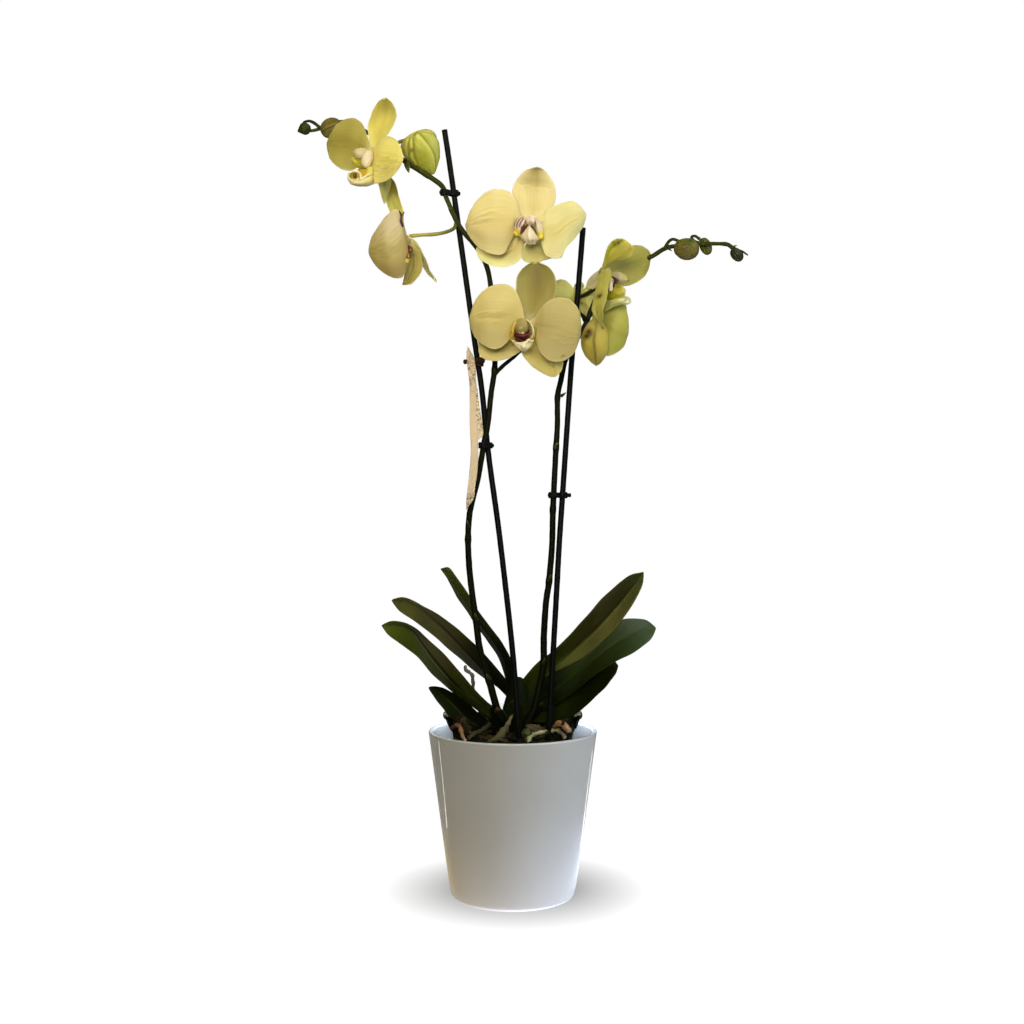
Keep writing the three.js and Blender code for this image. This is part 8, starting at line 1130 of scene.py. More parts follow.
def petal_material(name, glow, roughness=0.52, spots=()):
    """Thin waxy petal: fine branching veins along it, small cells, light passing through."""
    m, t = new_material(name)
    tint = attribute(t, "tint").outputs["Color"]
    flow = attribute(t, "flow").outputs["Vector"]
    veins = noise(t, scaled(t, flow, (0.035, 0.55, 0.0)), 1.0, 4.0, 0.6, 0.25)
    soft = noise(t, scaled(t, flow, (0.05, 0.05, 0.05)), 1.0, 2.0, 0.5)
    cells = noise(t, object_coords(t), 1400.0, 2.0, 0.6)
    k = maths(t, "MULTIPLY", ranged(t, veins, 0.3, 0.7, 0.955, 1.035), ranged(t, soft, 0.3, 0.7, 0.97, 1.03))
    colour = colour_mix(t, "MULTIPLY", 1.0, tint, grey(t, k))
    pos = object_coords(t)
    for centre, radius, dark in spots:
        d = node(t, "ShaderNodeVectorMath", {0: pos, 1: tuple(float(x) * MM for x in centre)}, operation="DISTANCE").outputs["Value"]
        wav = ranged(t, noise(t, pos, 900.0, 2.0, 0.6), 0.3, 0.7, -0.35 * radius * MM, 0.35 * radius * MM)
        f = ranged(t, maths(t, "ADD", d, wav), 0.55 * radius * MM, 1.05 * radius * MM, 0.92, 0.0)
        colour = colour_mix(t, "MIX", f, colour, rgba(dark))
    b1 = bump(t, veins, 0.35, 0.0005)
    b2 = bump(t, cells, 0.12, 0.0002, b1)
    p = principled(t, Base_Color=colour, Roughness=ranged(t, cells, 0.3, 0.7, roughness - 0.05, roughness + 0.07), Normal=b2)
    p.inputs["Specular IOR Level"].default_value = 0.35
    p.inputs["Sheen Weight"].default_value = 0.12
    p.inputs["Sheen Roughness"].default_value = 0.4
    through = node(t, "ShaderNodeBsdfTranslucent", {"Color": colour_mix(t, "MULTIPLY", 1.0, colour, (1.0, 0.97, 0.72, 1.0)), "Normal": b2})
    output(t, node(t, "ShaderNodeMixShader", {0: glow, 1: p.outputs[0], 2: through.outputs[0]}).outputs[0])
    return m


def lip_material(name, roughness=0.38):
    m, t = new_material(name)
    tint = attribute(t, "tint").outputs["Color"]
    pos = object_coords(t)
    mottled = noise(t, pos, 600.0, 3.0, 0.6)
    cells = noise(t, pos, 2200.0, 2.0, 0.6)
    colour = colour_mix(t, "MULTIPLY", 1.0, tint, grey(t, ranged(t, mottled, 0.3, 0.7, 0.9, 1.06)))
    normal = bump(t, cells, 0.15, 0.0002, bump(t, mottled, 0.25, 0.0004))
    p = principled(t, Base_Color=colour, Roughness=ranged(t, mottled, 0.3, 0.7, roughness - 0.06, roughness + 0.08), Normal=normal)
    p.inputs["Coat Weight"].default_value = 0.15
    p.inputs["Coat Roughness"].default_value = 0.3
    through = node(t, "ShaderNodeBsdfTranslucent", {"Color": colour, "Normal": normal})
    output(t, node(t, "ShaderNodeMixShader", {0: 0.12, 1: p.outputs[0], 2: through.outputs[0]}).outputs[0])
    return m


def leaf_material(name):
    """Thick leathery leaf: parallel veins, faint mottling, waxy shine."""
    m, t = new_material(name)
    tint = attribute(t, "tint").outputs["Color"]
    flow = attribute(t, "flow").outputs["Vector"]
    pos = object_coords(t)
    lines = noise(t, scaled(t, flow, (0.012, 1.3, 0.0)), 1.0, 3.0, 0.55, 0.1)
    patches = noise(t, pos, 55.0, 4.0, 0.6)
    skin = noise(t, pos, 1100.0, 3.0, 0.6)
    dust = noise(t, pos, 260.0, 4.0, 0.7)
    k = maths(t, "MULTIPLY", ranged(t, lines, 0.3, 0.7, 0.96, 1.04), ranged(t, patches, 0.3, 0.7, 0.88, 1.13))
    colour = colour_mix(t, "MULTIPLY", 1.0, tint, grey(t, k))
    colour = colour_mix(t, "MIX", ranged(t, dust, 0.62, 0.8, 0.0, 0.03), colour, rgba(srgb(110, 116, 70)))
    normal = bump(t, skin, 0.03, 0.0003, bump(t, lines, 0.06, 0.0006, bump(t, patches, 0.1, 0.0016)))
    p = principled(t, Base_Color=colour, Roughness=ranged(t, patches, 0.3, 0.7, 0.34, 0.5), Normal=normal)
    p.inputs["Specular IOR Level"].default_value = 0.045
    p.inputs["Coat Weight"].default_value = 0.005
    p.inputs["Coat Roughness"].default_value = 0.25
    output(t, p.outputs[0])
    return m


def stem_material(name):
    m, t = new_material(name)
    tint = attribute(t, "tint").outputs["Color"]
    pos = object_coords(t)
    flow = attribute(t, "flow").outputs["Vector"]
    fibre = noise(t, scaled(t, flow, (0.06, 2.2, 2.2)), 1.0, 3.0, 0.6)
    spots = noise(t, pos, 700.0, 2.0, 0.5)
    k = ranged(t, fibre, 0.3, 0.7, 0.8, 1.2)
    colour = colour_mix(t, "MULTIPLY", 1.0, tint, grey(t, k))
    colour = colour_mix(t, "MIX", ranged(t, spots, 0.62, 0.72, 0.0, 0.08), colour, rgba(srgb(58, 34, 24)))
    normal = bump(t, fibre, 0.18, 0.0004, bump(t, spots, 0.05, 0.0003))
    p = principled(t, Base_Color=colour, Roughness=ranged(t, spots, 0.3, 0.7, 0.36, 0.52), Normal=normal)
    p.inputs["Specular IOR Level"].default_value = 0.05
    output(t, p.outputs[0])
    return m


def bud_material(name):
    m, t = new_material(name)
    tint = attribute(t, "tint").outputs["Color"]
    flow = attribute(t, "flow").outputs["Vector"]
    pos = object_coords(t)
    veins = noise(t, scaled(t, flow, (0.1, 0.7, 0.7)), 1.0, 3.0, 0.6)
    skin = noise(t, pos, 900.0, 3.0, 0.6)
    colour = colour_mix(t, "MULTIPLY", 1.0, tint, grey(t, ranged(t, veins, 0.3, 0.7, 0.86, 1.14)))
    normal = bump(t, skin, 0.04, 0.0003, bump(t, veins, 0.18, 0.0005))
    p = principled(t, Base_Color=colour, Roughness=ranged(t, skin, 0.3, 0.7, 0.38, 0.52), Normal=normal)
    p.inputs["Specular IOR Level"].default_value = 0.2
    through = node(t, "ShaderNodeBsdfTranslucent", {"Color": colour, "Normal": normal})
    output(t, node(t, "ShaderNodeMixShader", {0: 0.12, 1: p.outputs[0], 2: through.outputs[0]}).outputs[0])
    return m


def root_material(name):
    m, t = new_material(name)
    tint = attribute(t, "tint").outputs["Color"]
    flow = attribute(t, "flow").outputs["Vector"]
    pos = object_coords(t)
    wrinkles = noise(t, scaled(t, flow, (0.9, 0.5, 0.5)), 1.0, 4.0, 0.65)
    flecks = noise(t, pos, 620.0, 3.0, 0.65)
    colour = colour_mix(t, "MULTIPLY", 1.0, tint, grey(t, ranged(t, wrinkles, 0.3, 0.7, 0.72, 1.18)))
    colour = colour_mix(t, "MIX", ranged(t, flecks, 0.58, 0.7, 0.0, 0.55), colour, rgba(srgb(70, 52, 30)))
    normal = bump(t, flecks, 0.35, 0.0005, bump(t, wrinkles, 0.5, 0.0009))
    p = principled(t, Base_Color=colour, Roughness=ranged(t, flecks, 0.3, 0.7, 0.6, 0.85), Normal=normal)
    output(t, p.outputs[0])
    return m


def bark_material(name):
    m, t = new_material(name)
    tint = attribute(t, "tint").outputs["Color"]
    pos = object_coords(t)
    grain = noise(t, scaled(t, pos, (260.0, 260.0, 900.0)), 1.0, 5.0, 0.7, 0.6)
    grit = noise(t, pos, 1300.0, 3.0, 0.7)
    colour = colour_mix(t, "MULTIPLY", 1.0, tint, grey(t, ranged(t, grain, 0.25, 0.75, 0.45, 1.5)))
    colour = colour_mix(t, "MIX", ranged(t, grit, 0.6, 0.75, 0.0, 0.5), colour, rgba(srgb(120, 100, 70)))
    normal = bump(t, grit, 0.5, 0.0006, bump(t, grain, 0.8, 0.0015))
    p = principled(t, Base_Color=colour, Roughness=ranged(t, grit, 0.3, 0.7, 0.7, 0.95), Normal=normal)
    p.inputs["Specular IOR Level"].default_value = 0.25
    output(t, p.outputs[0])
    return m


def glaze_material(name):
    """White glazed ceramic: a soft body under a clear coat, with a faint orange-peel ripple."""
    m, t = new_material(name)
    pos = object_coords(t)
    pooled = noise(t, pos, 18.0, 3.0, 0.5)
    ripple = noise(t, pos, 95.0, 2.0, 0.5)
    pin = noise(t, pos, 2400.0, 2.0, 0.5)
    body = colour_mix(t, "MULTIPLY", 1.0, attribute(t, "tint").outputs["Color"], grey(t, ranged(t, pooled, 0.3, 0.7, 0.95, 1.0)))
    colour = colour_mix(t, "MIX", ranged(t, pin, 0.74, 0.8, 0.0, 0.25), body, rgba(srgb(150, 146, 138)))
    normal = bump(t, ripple, 0.025, 0.0008)
    p = principled(t, Base_Color=colour, Roughness=ranged(t, pooled, 0.3, 0.7, 0.3, 0.38), Normal=normal)
    p.inputs["IOR"].default_value = 1.5
    p.inputs["Specular IOR Level"].default_value = 0.2
    p.inputs["Coat Weight"].default_value = 1.0
    p.inputs["Coat Roughness"].default_value = 0.02
    output(t, p.outputs[0])
    return m


def clear_plastic(name):
    """Thin, faintly green, slightly scuffed see-through plastic."""
    m, t = new_material(name)
    pos = object_coords(t)
    scuff = noise(t, pos, 160.0, 5.0, 0.7)
    wet = noise(t, pos, 60.0, 3.0, 0.6)
    normal = bump(t, scuff, 0.25, 0.0006)
    p = principled(t, Base_Color=colour_mix(t, "MIX", ranged(t, wet, 0.35, 0.65, 0.0, 1.0), rgba(srgb(26, 32, 18)), rgba(srgb(52, 60, 40))),
                   Roughness=ranged(t, scuff, 0.3, 0.7, 0.12, 0.32), Normal=normal)
    p.inputs["Specular IOR Level"].default_value = 0.1
    # a darker see-through colour from 140 mm up, where the wall faces left and right
    split = node(t, "ShaderNodeSeparateXYZ", {0: pos})
    sides = ranged(t, maths(t, "ABSOLUTE", split.outputs["X"], 0.0), 0.045, 0.052, 0.0, 1.0)
    band = maths(t, "MULTIPLY", ranged(t, split.outputs["Z"], 0.1400, 0.1450, 0.0, 1.0), sides)
    side_band_dark = ranged(t, maths(t, "MULTIPLY", band, ranged(t, wet, 0.2, 0.5, 0.75, 1.0)), 0.0, 1.0, 0.0, 1.0)
    clear = node(t, "ShaderNodeBsdfTransparent", {"Color": colour_mix(t, "MIX", side_band_dark, (0.93, 0.96, 0.92, 1.0), (0.15, 0.19, 0.11, 1.0))})
    rim = node(t, "ShaderNodeLayerWeight", {"Blend": 0.35}).outputs["Facing"]
    share = ranged(t, maths(t, "POWER", rim, 2.0), 0.0, 1.0, 0.01, 0.09)
    output(t, node(t, "ShaderNodeMixShader", {0: share, 1: clear.outputs[0], 2: p.outputs[0]}).outputs[0])
    return m


def moulded(name, base, roughness, spec=0.05):
    """Moulded plastic with a fine matt grain and handling marks."""
    m, t = new_material(name)
    pos = object_coords(t)
    grain = noise(t, pos, 1800.0, 3.0, 0.6)
    marks = noise(t, scaled(t, pos, (220.0, 220.0, 45.0)), 1.0, 4.0, 0.65)
    colour = colour_mix(t, "MIX", ranged(t, marks, 0.35, 0.7, 0.0, 1.0), rgba(base), rgba(np.asarray(base) * 1.6 + 0.001))
    normal = bump(t, grain, 0.15, 0.0002, bump(t, marks, 0.2, 0.0004))
    p = principled(t, Base_Color=colour, Roughness=ranged(t, marks, 0.3, 0.7, roughness - 0.08, roughness + 0.1), Normal=normal)
    p.inputs["Specular IOR Level"].default_value = spec
    output(t, p.outputs[0])
    return m


def label_material(name):
    """Card label: warm paper, a darker generic speckle towards each end."""
    m, t = new_material(name)
    tint = attribute(t, "tint").outputs["Color"]
    flow = attribute(t, "flow").outputs["Vector"]
    pos = object_coords(t)
    fibre = noise(t, scaled(t, pos, (900.0, 900.0, 300.0)), 1.0, 4.0, 0.6)
    speck = noise(t, pos, 620.0, 3.0, 0.75, 0.8)
    zone = node(t, "ShaderNodeSeparateXYZ", {0: flow}).outputs[0]
    top = ranged(t, zone, LABEL_TOP - 5.0, LABEL_TOP + 5.0, 1.0, 0.0)
    low = ranged(t, zone, LABEL_LOW - 2.0, LABEL_LOW + 2.0, 0.0, 1.0)
    where = maths(t, "MAXIMUM", top, low)
    dots = maths(t, "MULTIPLY", where, ranged(t, speck, 0.46, 0.58, 0.0, 1.0))
    few = ranged(t, noise(t, pos, 420.0, 2.0, 0.6), 0.66, 0.74, 0.0, 0.35)
    colour = colour_mix(t, "MULTIPLY", 1.0, tint, grey(t, ranged(t, fibre, 0.3, 0.7, 0.9, 1.06)))
    colour = colour_mix(t, "MIX", few, colour, rgba(srgb(120, 95, 62)))
    colour = colour_mix(t, "MIX", maths(t, "MULTIPLY", dots, 0.85), colour, rgba(srgb(74, 52, 34)))
    p = principled(t, Base_Color=colour, Roughness=ranged(t, fibre, 0.3, 0.7, 0.55, 0.75), Normal=bump(t, fibre, 0.2, 0.0003))
    output(t, p.outputs[0])
    return m


RNG = np.random.default_rng(20)

# ---------------------------------------------------------------- colours and finishes
GLAZE_A = srgb(214, 211, 205)
GLAZE_B = srgb(206, 204, 200)
# brighter white of the well and the rim: painted light
GLAZE_LIT_WELL = srgb(247, 249, 252)
LABEL_TOP = 36.0       # mm from the label's tip where the darker speckle ends
LABEL_LOW = 122.0      # mm from the tip where it starts again

MAT_GLAZE = glaze_material("glazed ceramic")
MAT_CLEAR = clear_plastic("clear nursery plastic")
MAT_BARK = bark_material("pine bark")
MAT_LEAF = leaf_material("leaf")
MAT_STEM = stem_material("flower stem")
MAT_BUD = bud_material("bud")
MAT_ROOT = root_material("root")
MAT_LIP = lip_material("lip")
MAT_STAKE = moulded("stake", srgb(11, 11, 10), 0.42)
MAT_CLIP = moulded("clip", srgb(12, 12, 12), 0.4)
MAT_LABEL_CLIP = moulded("label clip", srgb(44, 30, 18), 0.4)
MAT_LABEL = label_material("label card")

# ---------------------------------------------------------------- cover pot
cover_r = lambda z: 53 + 17 * (z - 12) / 128
pot = Piece()
profile = rounded(
    [(0, 1.2), (38, 1.2), (40.5, 0), (44.5, 0), (50.6, 2.6), (cover_r(11), 11), (cover_r(75), 75), (70, 140), (65.4, 140),
     (cover_r(75) - 4.5, 75), (cover_r(34) - 5.0, 36), (38, 34), (36, 8), (0, 6)],
    [0, 1.0, 1.2, 3.0, 5.0, 7.0, 20.0, 1.9, 1.9, 20.0, 3.0, 1.0, 3.0, 0], 8)
# painted light and shade: the well and the rim are painted a brighter white than the greyer outside of the body, for
# the light falling into the well and onto the rim; the outside's grey is partly painted shade


def glaze_tint(p):
    r = np.hypot(p[..., 0], p[..., 1])
    inside = smooth(-0.6, 0.4, (cover_r(p[..., 2]) - 1.6) - r)
    return mix(np.broadcast_to(GLAZE_A, p.shape), np.broadcast_to(GLAZE_LIT_WELL, p.shape), np.maximum(inside, smooth(138.6, 139.4, p[..., 2])))


lathe(pot, profile, 208, glaze_tint)
pot.build("cover_pot_glazed", [MAT_GLAZE], ["cover_pot"], "glaze")

# ---------------------------------------------------------------- nursery pot
nursery = Piece()
nursery_r = lambda z: 43.6 + (50.8 - 43.6) * (z - 34) / (140 - 34)


profile = rounded(
    [(0, 34.4), (41.8, 34.4), (nursery_r(37), 37), (nursery_r(137), 137), (56.4, 150.6), (57.9, 151.2), (57.9, 153.9), (56.9, 153.9),
     (56.3, 151.6), (nursery_r(138) - 0.9, 138), (nursery_r(37) - 0.9, 37.6), (41.2, 35.4), (0, 35.4)],
    [0, 1.5, 2.0, 4.0, 0.8, 0.5, 0.4, 0.4, 0.8, 4.0, 1.5, 1.5, 0], 5)
lathe(nursery, profile, 144, srgb(120, 135, 115))
nursery.build("nursery_pot_clear", [MAT_CLEAR], ["nursery_pot"], "nursery_plastic")

# ---------------------------------------------------------------- bark
def bed_height(x, y):
    r = np.hypot(x, y)
    side = smooth(30, 50, np.abs(x)) * smooth(30, 48, r)
    back = smooth(10, 46, y)
    h = 136.5 + np.maximum(11.0 * side, 8.0 * back)
    return h + 1.6 * field(np.stack([x, y, np.zeros_like(x)], -1), 11, 14.0) + 0.9 * field(np.stack([x, y, np.zeros_like(x)], -1), 12, 5.0)


def bark_paint(p, seed):
    k = field(p, seed, 7.0)[..., None]
    return np.clip(srgb(40, 29, 17) * (1 + 0.35 * k), 0, 1)


bed = Piece()
NR, NA = 40, 96
rr = np.linspace(0, 1, NR) ** 0.9
aa = np.linspace(0, 2 * math.pi, NA, endpoint=False)
R2, A2 = np.meshgrid(rr, aa, indexing="ij")
edge = 49.3 + 0.35 * np.sin(9 * A2) + 0.25 * np.sin(17 * A2 + 1)
X, Y = R2 * edge * np.cos(A2), R2 * edge * np.sin(A2)
top = np.stack([X, Y, bed_height(X, Y)], -1)
sides = []
for z in np.linspace(126, 37, 12):
    rad = nursery_r(z) - 1.6 + 0.4 * np.sin(11 * aa + z)
    sides.append(np.stack([rad * np.cos(aa), rad * np.sin(aa), np.full(NA, z)], -1))
sides.append(np.stack([0 * aa, 0 * aa, np.full(NA, 36.2)], -1))
body = np.concatenate([top, np.array(sides)])
idx = np.arange(len(body) * NA).reshape(-1, NA)
idx[0] = idx[0, 0]
idx[-1] = idx[-1, 0]
idx = np.concatenate([idx, idx[:, :1]], 1)
faces = fix_outward(body.reshape(-1, 3), grid(idx))
used = np.unique(faces)
remap = np.full(body.shape[0] * NA, -1)
remap[used] = np.arange(len(used))
bed.add(body.reshape(-1, 3)[used], remap[faces], bark_paint(body, 3).reshape(-1, 3)[used])
bed.build("bark_bed", [MAT_BARK], ["bark_mix"], "bark")


def chip(piece, centre, size, turn, colour, seed):
    """A broken piece of bark: flat faces, split ends."""
    r = np.random.default_rng(seed)
    rows, cols = 6, 8
    th = np.linspace(0, math.pi, rows)
    ph = np.linspace(0, 2 * math.pi, cols, endpoint=False)
    T, P = np.meshgrid(th, ph, indexing="ij")
    d = np.stack([np.cos(T), np.sin(T) * np.cos(P), np.sin(T) * np.sin(P)], -1)
    k = 1.0 / np.maximum(np.abs(d).max(-1), 0.6) ** 0.75
    d = d * k[..., None] * (1 + r.normal(size=k.shape) * 0.13)[..., None]
    d[0], d[-1] = d[0].mean(0), d[-1].mean(0)
    d = d * np.asarray(size, float) / 2
    e = np.asarray(turn, float)
    cx, sx, cy, sy, cz, sz = math.cos(e[0]), math.sin(e[0]), math.cos(e[1]), math.sin(e[1]), math.cos(e[2]), math.sin(e[2])
    rot = np.array([[cz, -sz, 0], [sz, cz, 0], [0, 0, 1]]) @ np.array([[cy, 0, sy], [0, 1, 0], [-sy, 0, cy]]) @ np.array([[1, 0, 0], [0, cx, -sx], [0, sx, cx]])
    p = d @ rot.T + np.asarray(centre, float)
    idx = np.arange(rows * cols).reshape(rows, cols)
    idx[0], idx[-1] = idx[0, 0], idx[-1, 0]
    idx = np.concatenate([idx, idx[:, :1]], 1)
    verts = p.reshape(-1, 3)
    faces = fix_outward(verts, grid(idx))
    used = np.unique(faces)
    remap = np.full(rows * cols, -1)
    remap[used] = np.arange(len(used))
    shade = 1 + 0.25 * r.normal(size=(rows * cols, 1))
    piece.add(verts[used], remap[faces], np.clip(np.asarray(colour) * shade, 0.001, 1)[used])


def flat_shaded(obj):
    obj.data.polygons.foreach_set("use_smooth", np.zeros(len(obj.data.polygons), bool))
    return obj


CHIP_COLOURS = [srgb(52, 38, 22), srgb(70, 52, 32), srgb(38, 28, 18), srgb(92, 72, 46), srgb(60, 56, 34), srgb(105, 86, 60), srgb(30, 23, 14)]
loose = Piece()
made = 0
while made < 190:
    a, r0 = RNG.random() * 2 * math.pi, 49 * math.sqrt(RNG.random())
    x, y = r0 * math.cos(a), r0 * math.sin(a)
    if math.hypot(x, y - 4) < 9:
        continue
    wall = r0 > 40
    size = (6 + 9 * RNG.random(), 4 + 5 * RNG.random(), 2.2 + 2.6 * RNG.random())
    z = float(bed_height(np.array(x), np.array(y))) + (0.8 if not wall else RNG.random() * 2.5)
    reach = math.hypot(x, y) + max(size[0], size[1]) / 2 - (nursery_r(min(z, 138)) - 1.0 + max(0.0, z - 140) * 0.4)
    if reach > 0:
        x, y = x * (1 - reach / r0), y * (1 - reach / r0)
    turn = (RNG.normal() * 0.35, RNG.normal() * 0.35 + (0.4 if wall else 0), RNG.random() * 6.28)
    chip(loose, (x, y, z), size, turn, CHIP_COLOURS[made % 7] * (0.7 + 0.6 * RNG.random()), made)
    made += 1
# crumbs and moss caught in the flared lip at both sides
made = 0
while made < 150:
    a = (RNG.random() - 0.5) * 1.5 + (math.pi if made % 2 else 0.0)
    z = 143.0 + 9.5 * RNG.random()
    size = (3.5 + 5 * RNG.random(), 2.5 + 3 * RNG.random(), 2.0 + 2.5 * RNG.random())
    r0 = 50.2 + (z - 138.0) * 0.43 - size[0] * 0.42 - 3.0 * RNG.random() ** 2
    if a > 0.25 and a < math.pi - 0.25:
        z = z - 1.0
    turn = (RNG.normal() * 0.5, 0.9 + RNG.normal() * 0.35, a + RNG.normal() * 0.4)
    tone = srgb(58, 62, 34) if made % 5 == 0 else CHIP_COLOURS[made % 7] * 0.6
    chip(loose, (r0 * math.cos(a), r0 * math.sin(a), z), size, turn, tone, 900 + made)
    made += 1
flat_shaded(loose.build("loose_bark", [MAT_BARK], ["bark_mix"], "bark"))

# crumbs, roots and moss pressed against the inside of the clear wall, with a ragged top
lining = Piece()
LA, LZ = 300, 26
around = np.linspace(0, 2 * math.pi, LA, endpoint=False)
side = smooth(0.66, 0.93, np.abs(np.cos(around)))
ragged = 1.5 * np.interp(np.arange(LA) % 65, np.arange(65), RNG.random(65)) + 1.3 * RNG.random(LA)
rim_z = 136.8 + 14.4 * side + ragged * (0.6 + 0.9 * side)
wall_in = lambda z: np.where(z < 138.0, nursery_r(z) - 0.9, nursery_r(138) - 0.9 + (z - 138.0) * 0.475)
share = np.linspace(0, 1, LZ)[:, None]
zz = 60.0 + (rim_z[None] - 60.0) * share
skin_out = wall_in(zz) - 0.12
skin_in = wall_in(zz) - 1.5 - 0.7 * RNG.random(zz.shape)
rings = np.concatenate([np.stack([skin_out * np.cos(around), skin_out * np.sin(around), zz], -1),
                        np.stack([skin_in * np.cos(around), skin_in * np.sin(around), zz], -1)[::-1]])
idx = np.arange(2 * LZ * LA).reshape(2 * LZ, LA)
idx = np.concatenate([idx, idx[:, :1]], 1)
idx = np.concatenate([idx, idx[:1]], 0)
verts = rings.reshape(-1, 3)
grit = (0.75 + 0.5 * field(verts, 45, 3.0) + 0.35 * field(verts, 46, 9.0))[:, None]
moss = smooth(0.15, 0.7, field(verts, 47, 8.0))[:, None]
lining.add(verts, fix_outward(verts, grid(idx)), np.clip((srgb(38, 30, 18) * (1 - moss) + srgb(50, 54, 26) * moss) * grit, 0.001, 1))
flat_shaded(lining.build("pressed_bark", [MAT_BARK], ["bark_mix"], "bark"))

for k, (centre, size, turn, colour) in enumerate(CHIPS):
    c = Piece()
    chip(c, centre, size, turn, srgb(*colour), 500 + k)
    flat_shaded(c.build("bark_piece_%d" % (k + 1), [MAT_BARK], ["bark_chip_%d" % (k + 1)], "bark"))

# ---------------------------------------------------------------- stakes
def stick(name, points, node_name, seed):
    piece = Piece()
    tube(piece, points, around=28, step=4.0, paint=srgb(14, 14, 15), cap=0.12, rough=0.05, seed=seed,
         swell=lambda at, c: 0.10 * np.exp(-(((at - 210) / 3.0) ** 2)) + 0.12 * np.exp(-(((at - 395) / 3.0) ** 2)))
    piece.build(name, [MAT_STAKE], [node_name], "stake")


stick("stake_left_rod", STAKE_LEFT, "support_stake_left", 5)
stick("stake_right_rod", STAKE_RIGHT, "support_stake_right", 6)

# ---------------------------------------------------------------- flower spikes
STEM_DARK, STEM_MID, STEM_LIGHT = srgb(15, 20, 4), srgb(40, 46, 12), srgb(120, 122, 48)


def stem_paint(tone_a, tone_b, start=0.0, end=1.0, seed=3, warm=0.0):
    def paint(at, ang, p, total):
        f = smooth(start, end, at / max(total, 1e-6))
        c = mix(tone_a, tone_b, f)
        c = c * (1 + 0.16 * field(p, seed, 22.0))[..., None]
        return mix(c, np.broadcast_to(srgb(74, 50, 30), c.shape), warm * (0.5 + 0.5 * field(p, seed + 5, 30.0)))
    return paint


def nodes_on(points, at_points, height=0.35, width=2.6):
    """Rings where the stem is thicker, at the given points of its path."""
    c, r, at = path(points, 1.0)
    places = []
    for k in at_points:
        q = np.asarray(points[k][:3], float)
        places.append(at[np.argmin(np.linalg.norm(c - q, axis=1))])

    def swell(s, pts):
        out = np.zeros_like(s)
        for x in places:
            out += height * np.exp(-(((s - x) / width) ** 2)) + 0.35 * height * np.exp(-(((s - x - 2.4) / 0.7) ** 2))
        return out
    return swell


def bract(piece, base, along, out, length, width, colour, tip):
    """A small pointed scale that clasps the stem at a node."""
    base, along, out = np.asarray(base, float), unit(along), unit(out)
    side = unit(np.cross(along, out))
    rows = []
    for s, w, o in ((0, 0.9, 0.2), (0.25, 1.0, 0.5), (0.55, 0.75, 1.1), (0.8, 0.4, 1.5), (1.0, 0.0, 1.7)):
        c = base + along * length * s + out * o
        rows.append([c - side * width / 2 * w - out * 1.1 * w, c, c + side * width / 2 * w - out * 1.1 * w])
    blade(piece, rows, out, 0.6, 0.8, lambda s, t, front, p: mix(colour, tip, smooth(0.3, 1.0, s)), ns=14, nt=10)


def spike(name, node_name, main, stalks, ring_points, bracts, seed, light):
    piece = Piece()
    tube(piece, main, around=22, step=1.5, paint=stem_paint(STEM_DARK, light, 0.5, 0.95, seed, 0.05), swell=nodes_on(main, ring_points), rough=0.06, seed=seed)
    for k, (s, tone) in enumerate(stalks):
        tube(piece, s, around=16, step=0.9, paint=stem_paint(srgb(*tone[0]), srgb(*tone[1]), 0.0, 0.9, seed + k), rough=0.12, seed=seed + k,
             swell=lambda at, c: 0.45 * np.exp(-((at / 2.2) ** 2)))
    for b in bracts:
        bract(piece, *b[:5], srgb(*b[5]), srgb(*b[6]))
    return piece.build(name, [MAT_STEM], [node_name], "stem")


spike("spike_left_stem", "flower_spike_left", SPIKE_LEFT, STALKS_LEFT, [1, 2, 4, 7, 15, 19, 23, 26, 31], BRACTS_LEFT, 21, srgb(70, 74, 26))
spike("spike_right_stem", "flower_spike_right", SPIKE_RIGHT, STALKS_RIGHT, [4, 7, 9, 11, 13, 17, 19, 24, 26, 27], BRACTS_RIGHT, 22, srgb(52, 60, 18))

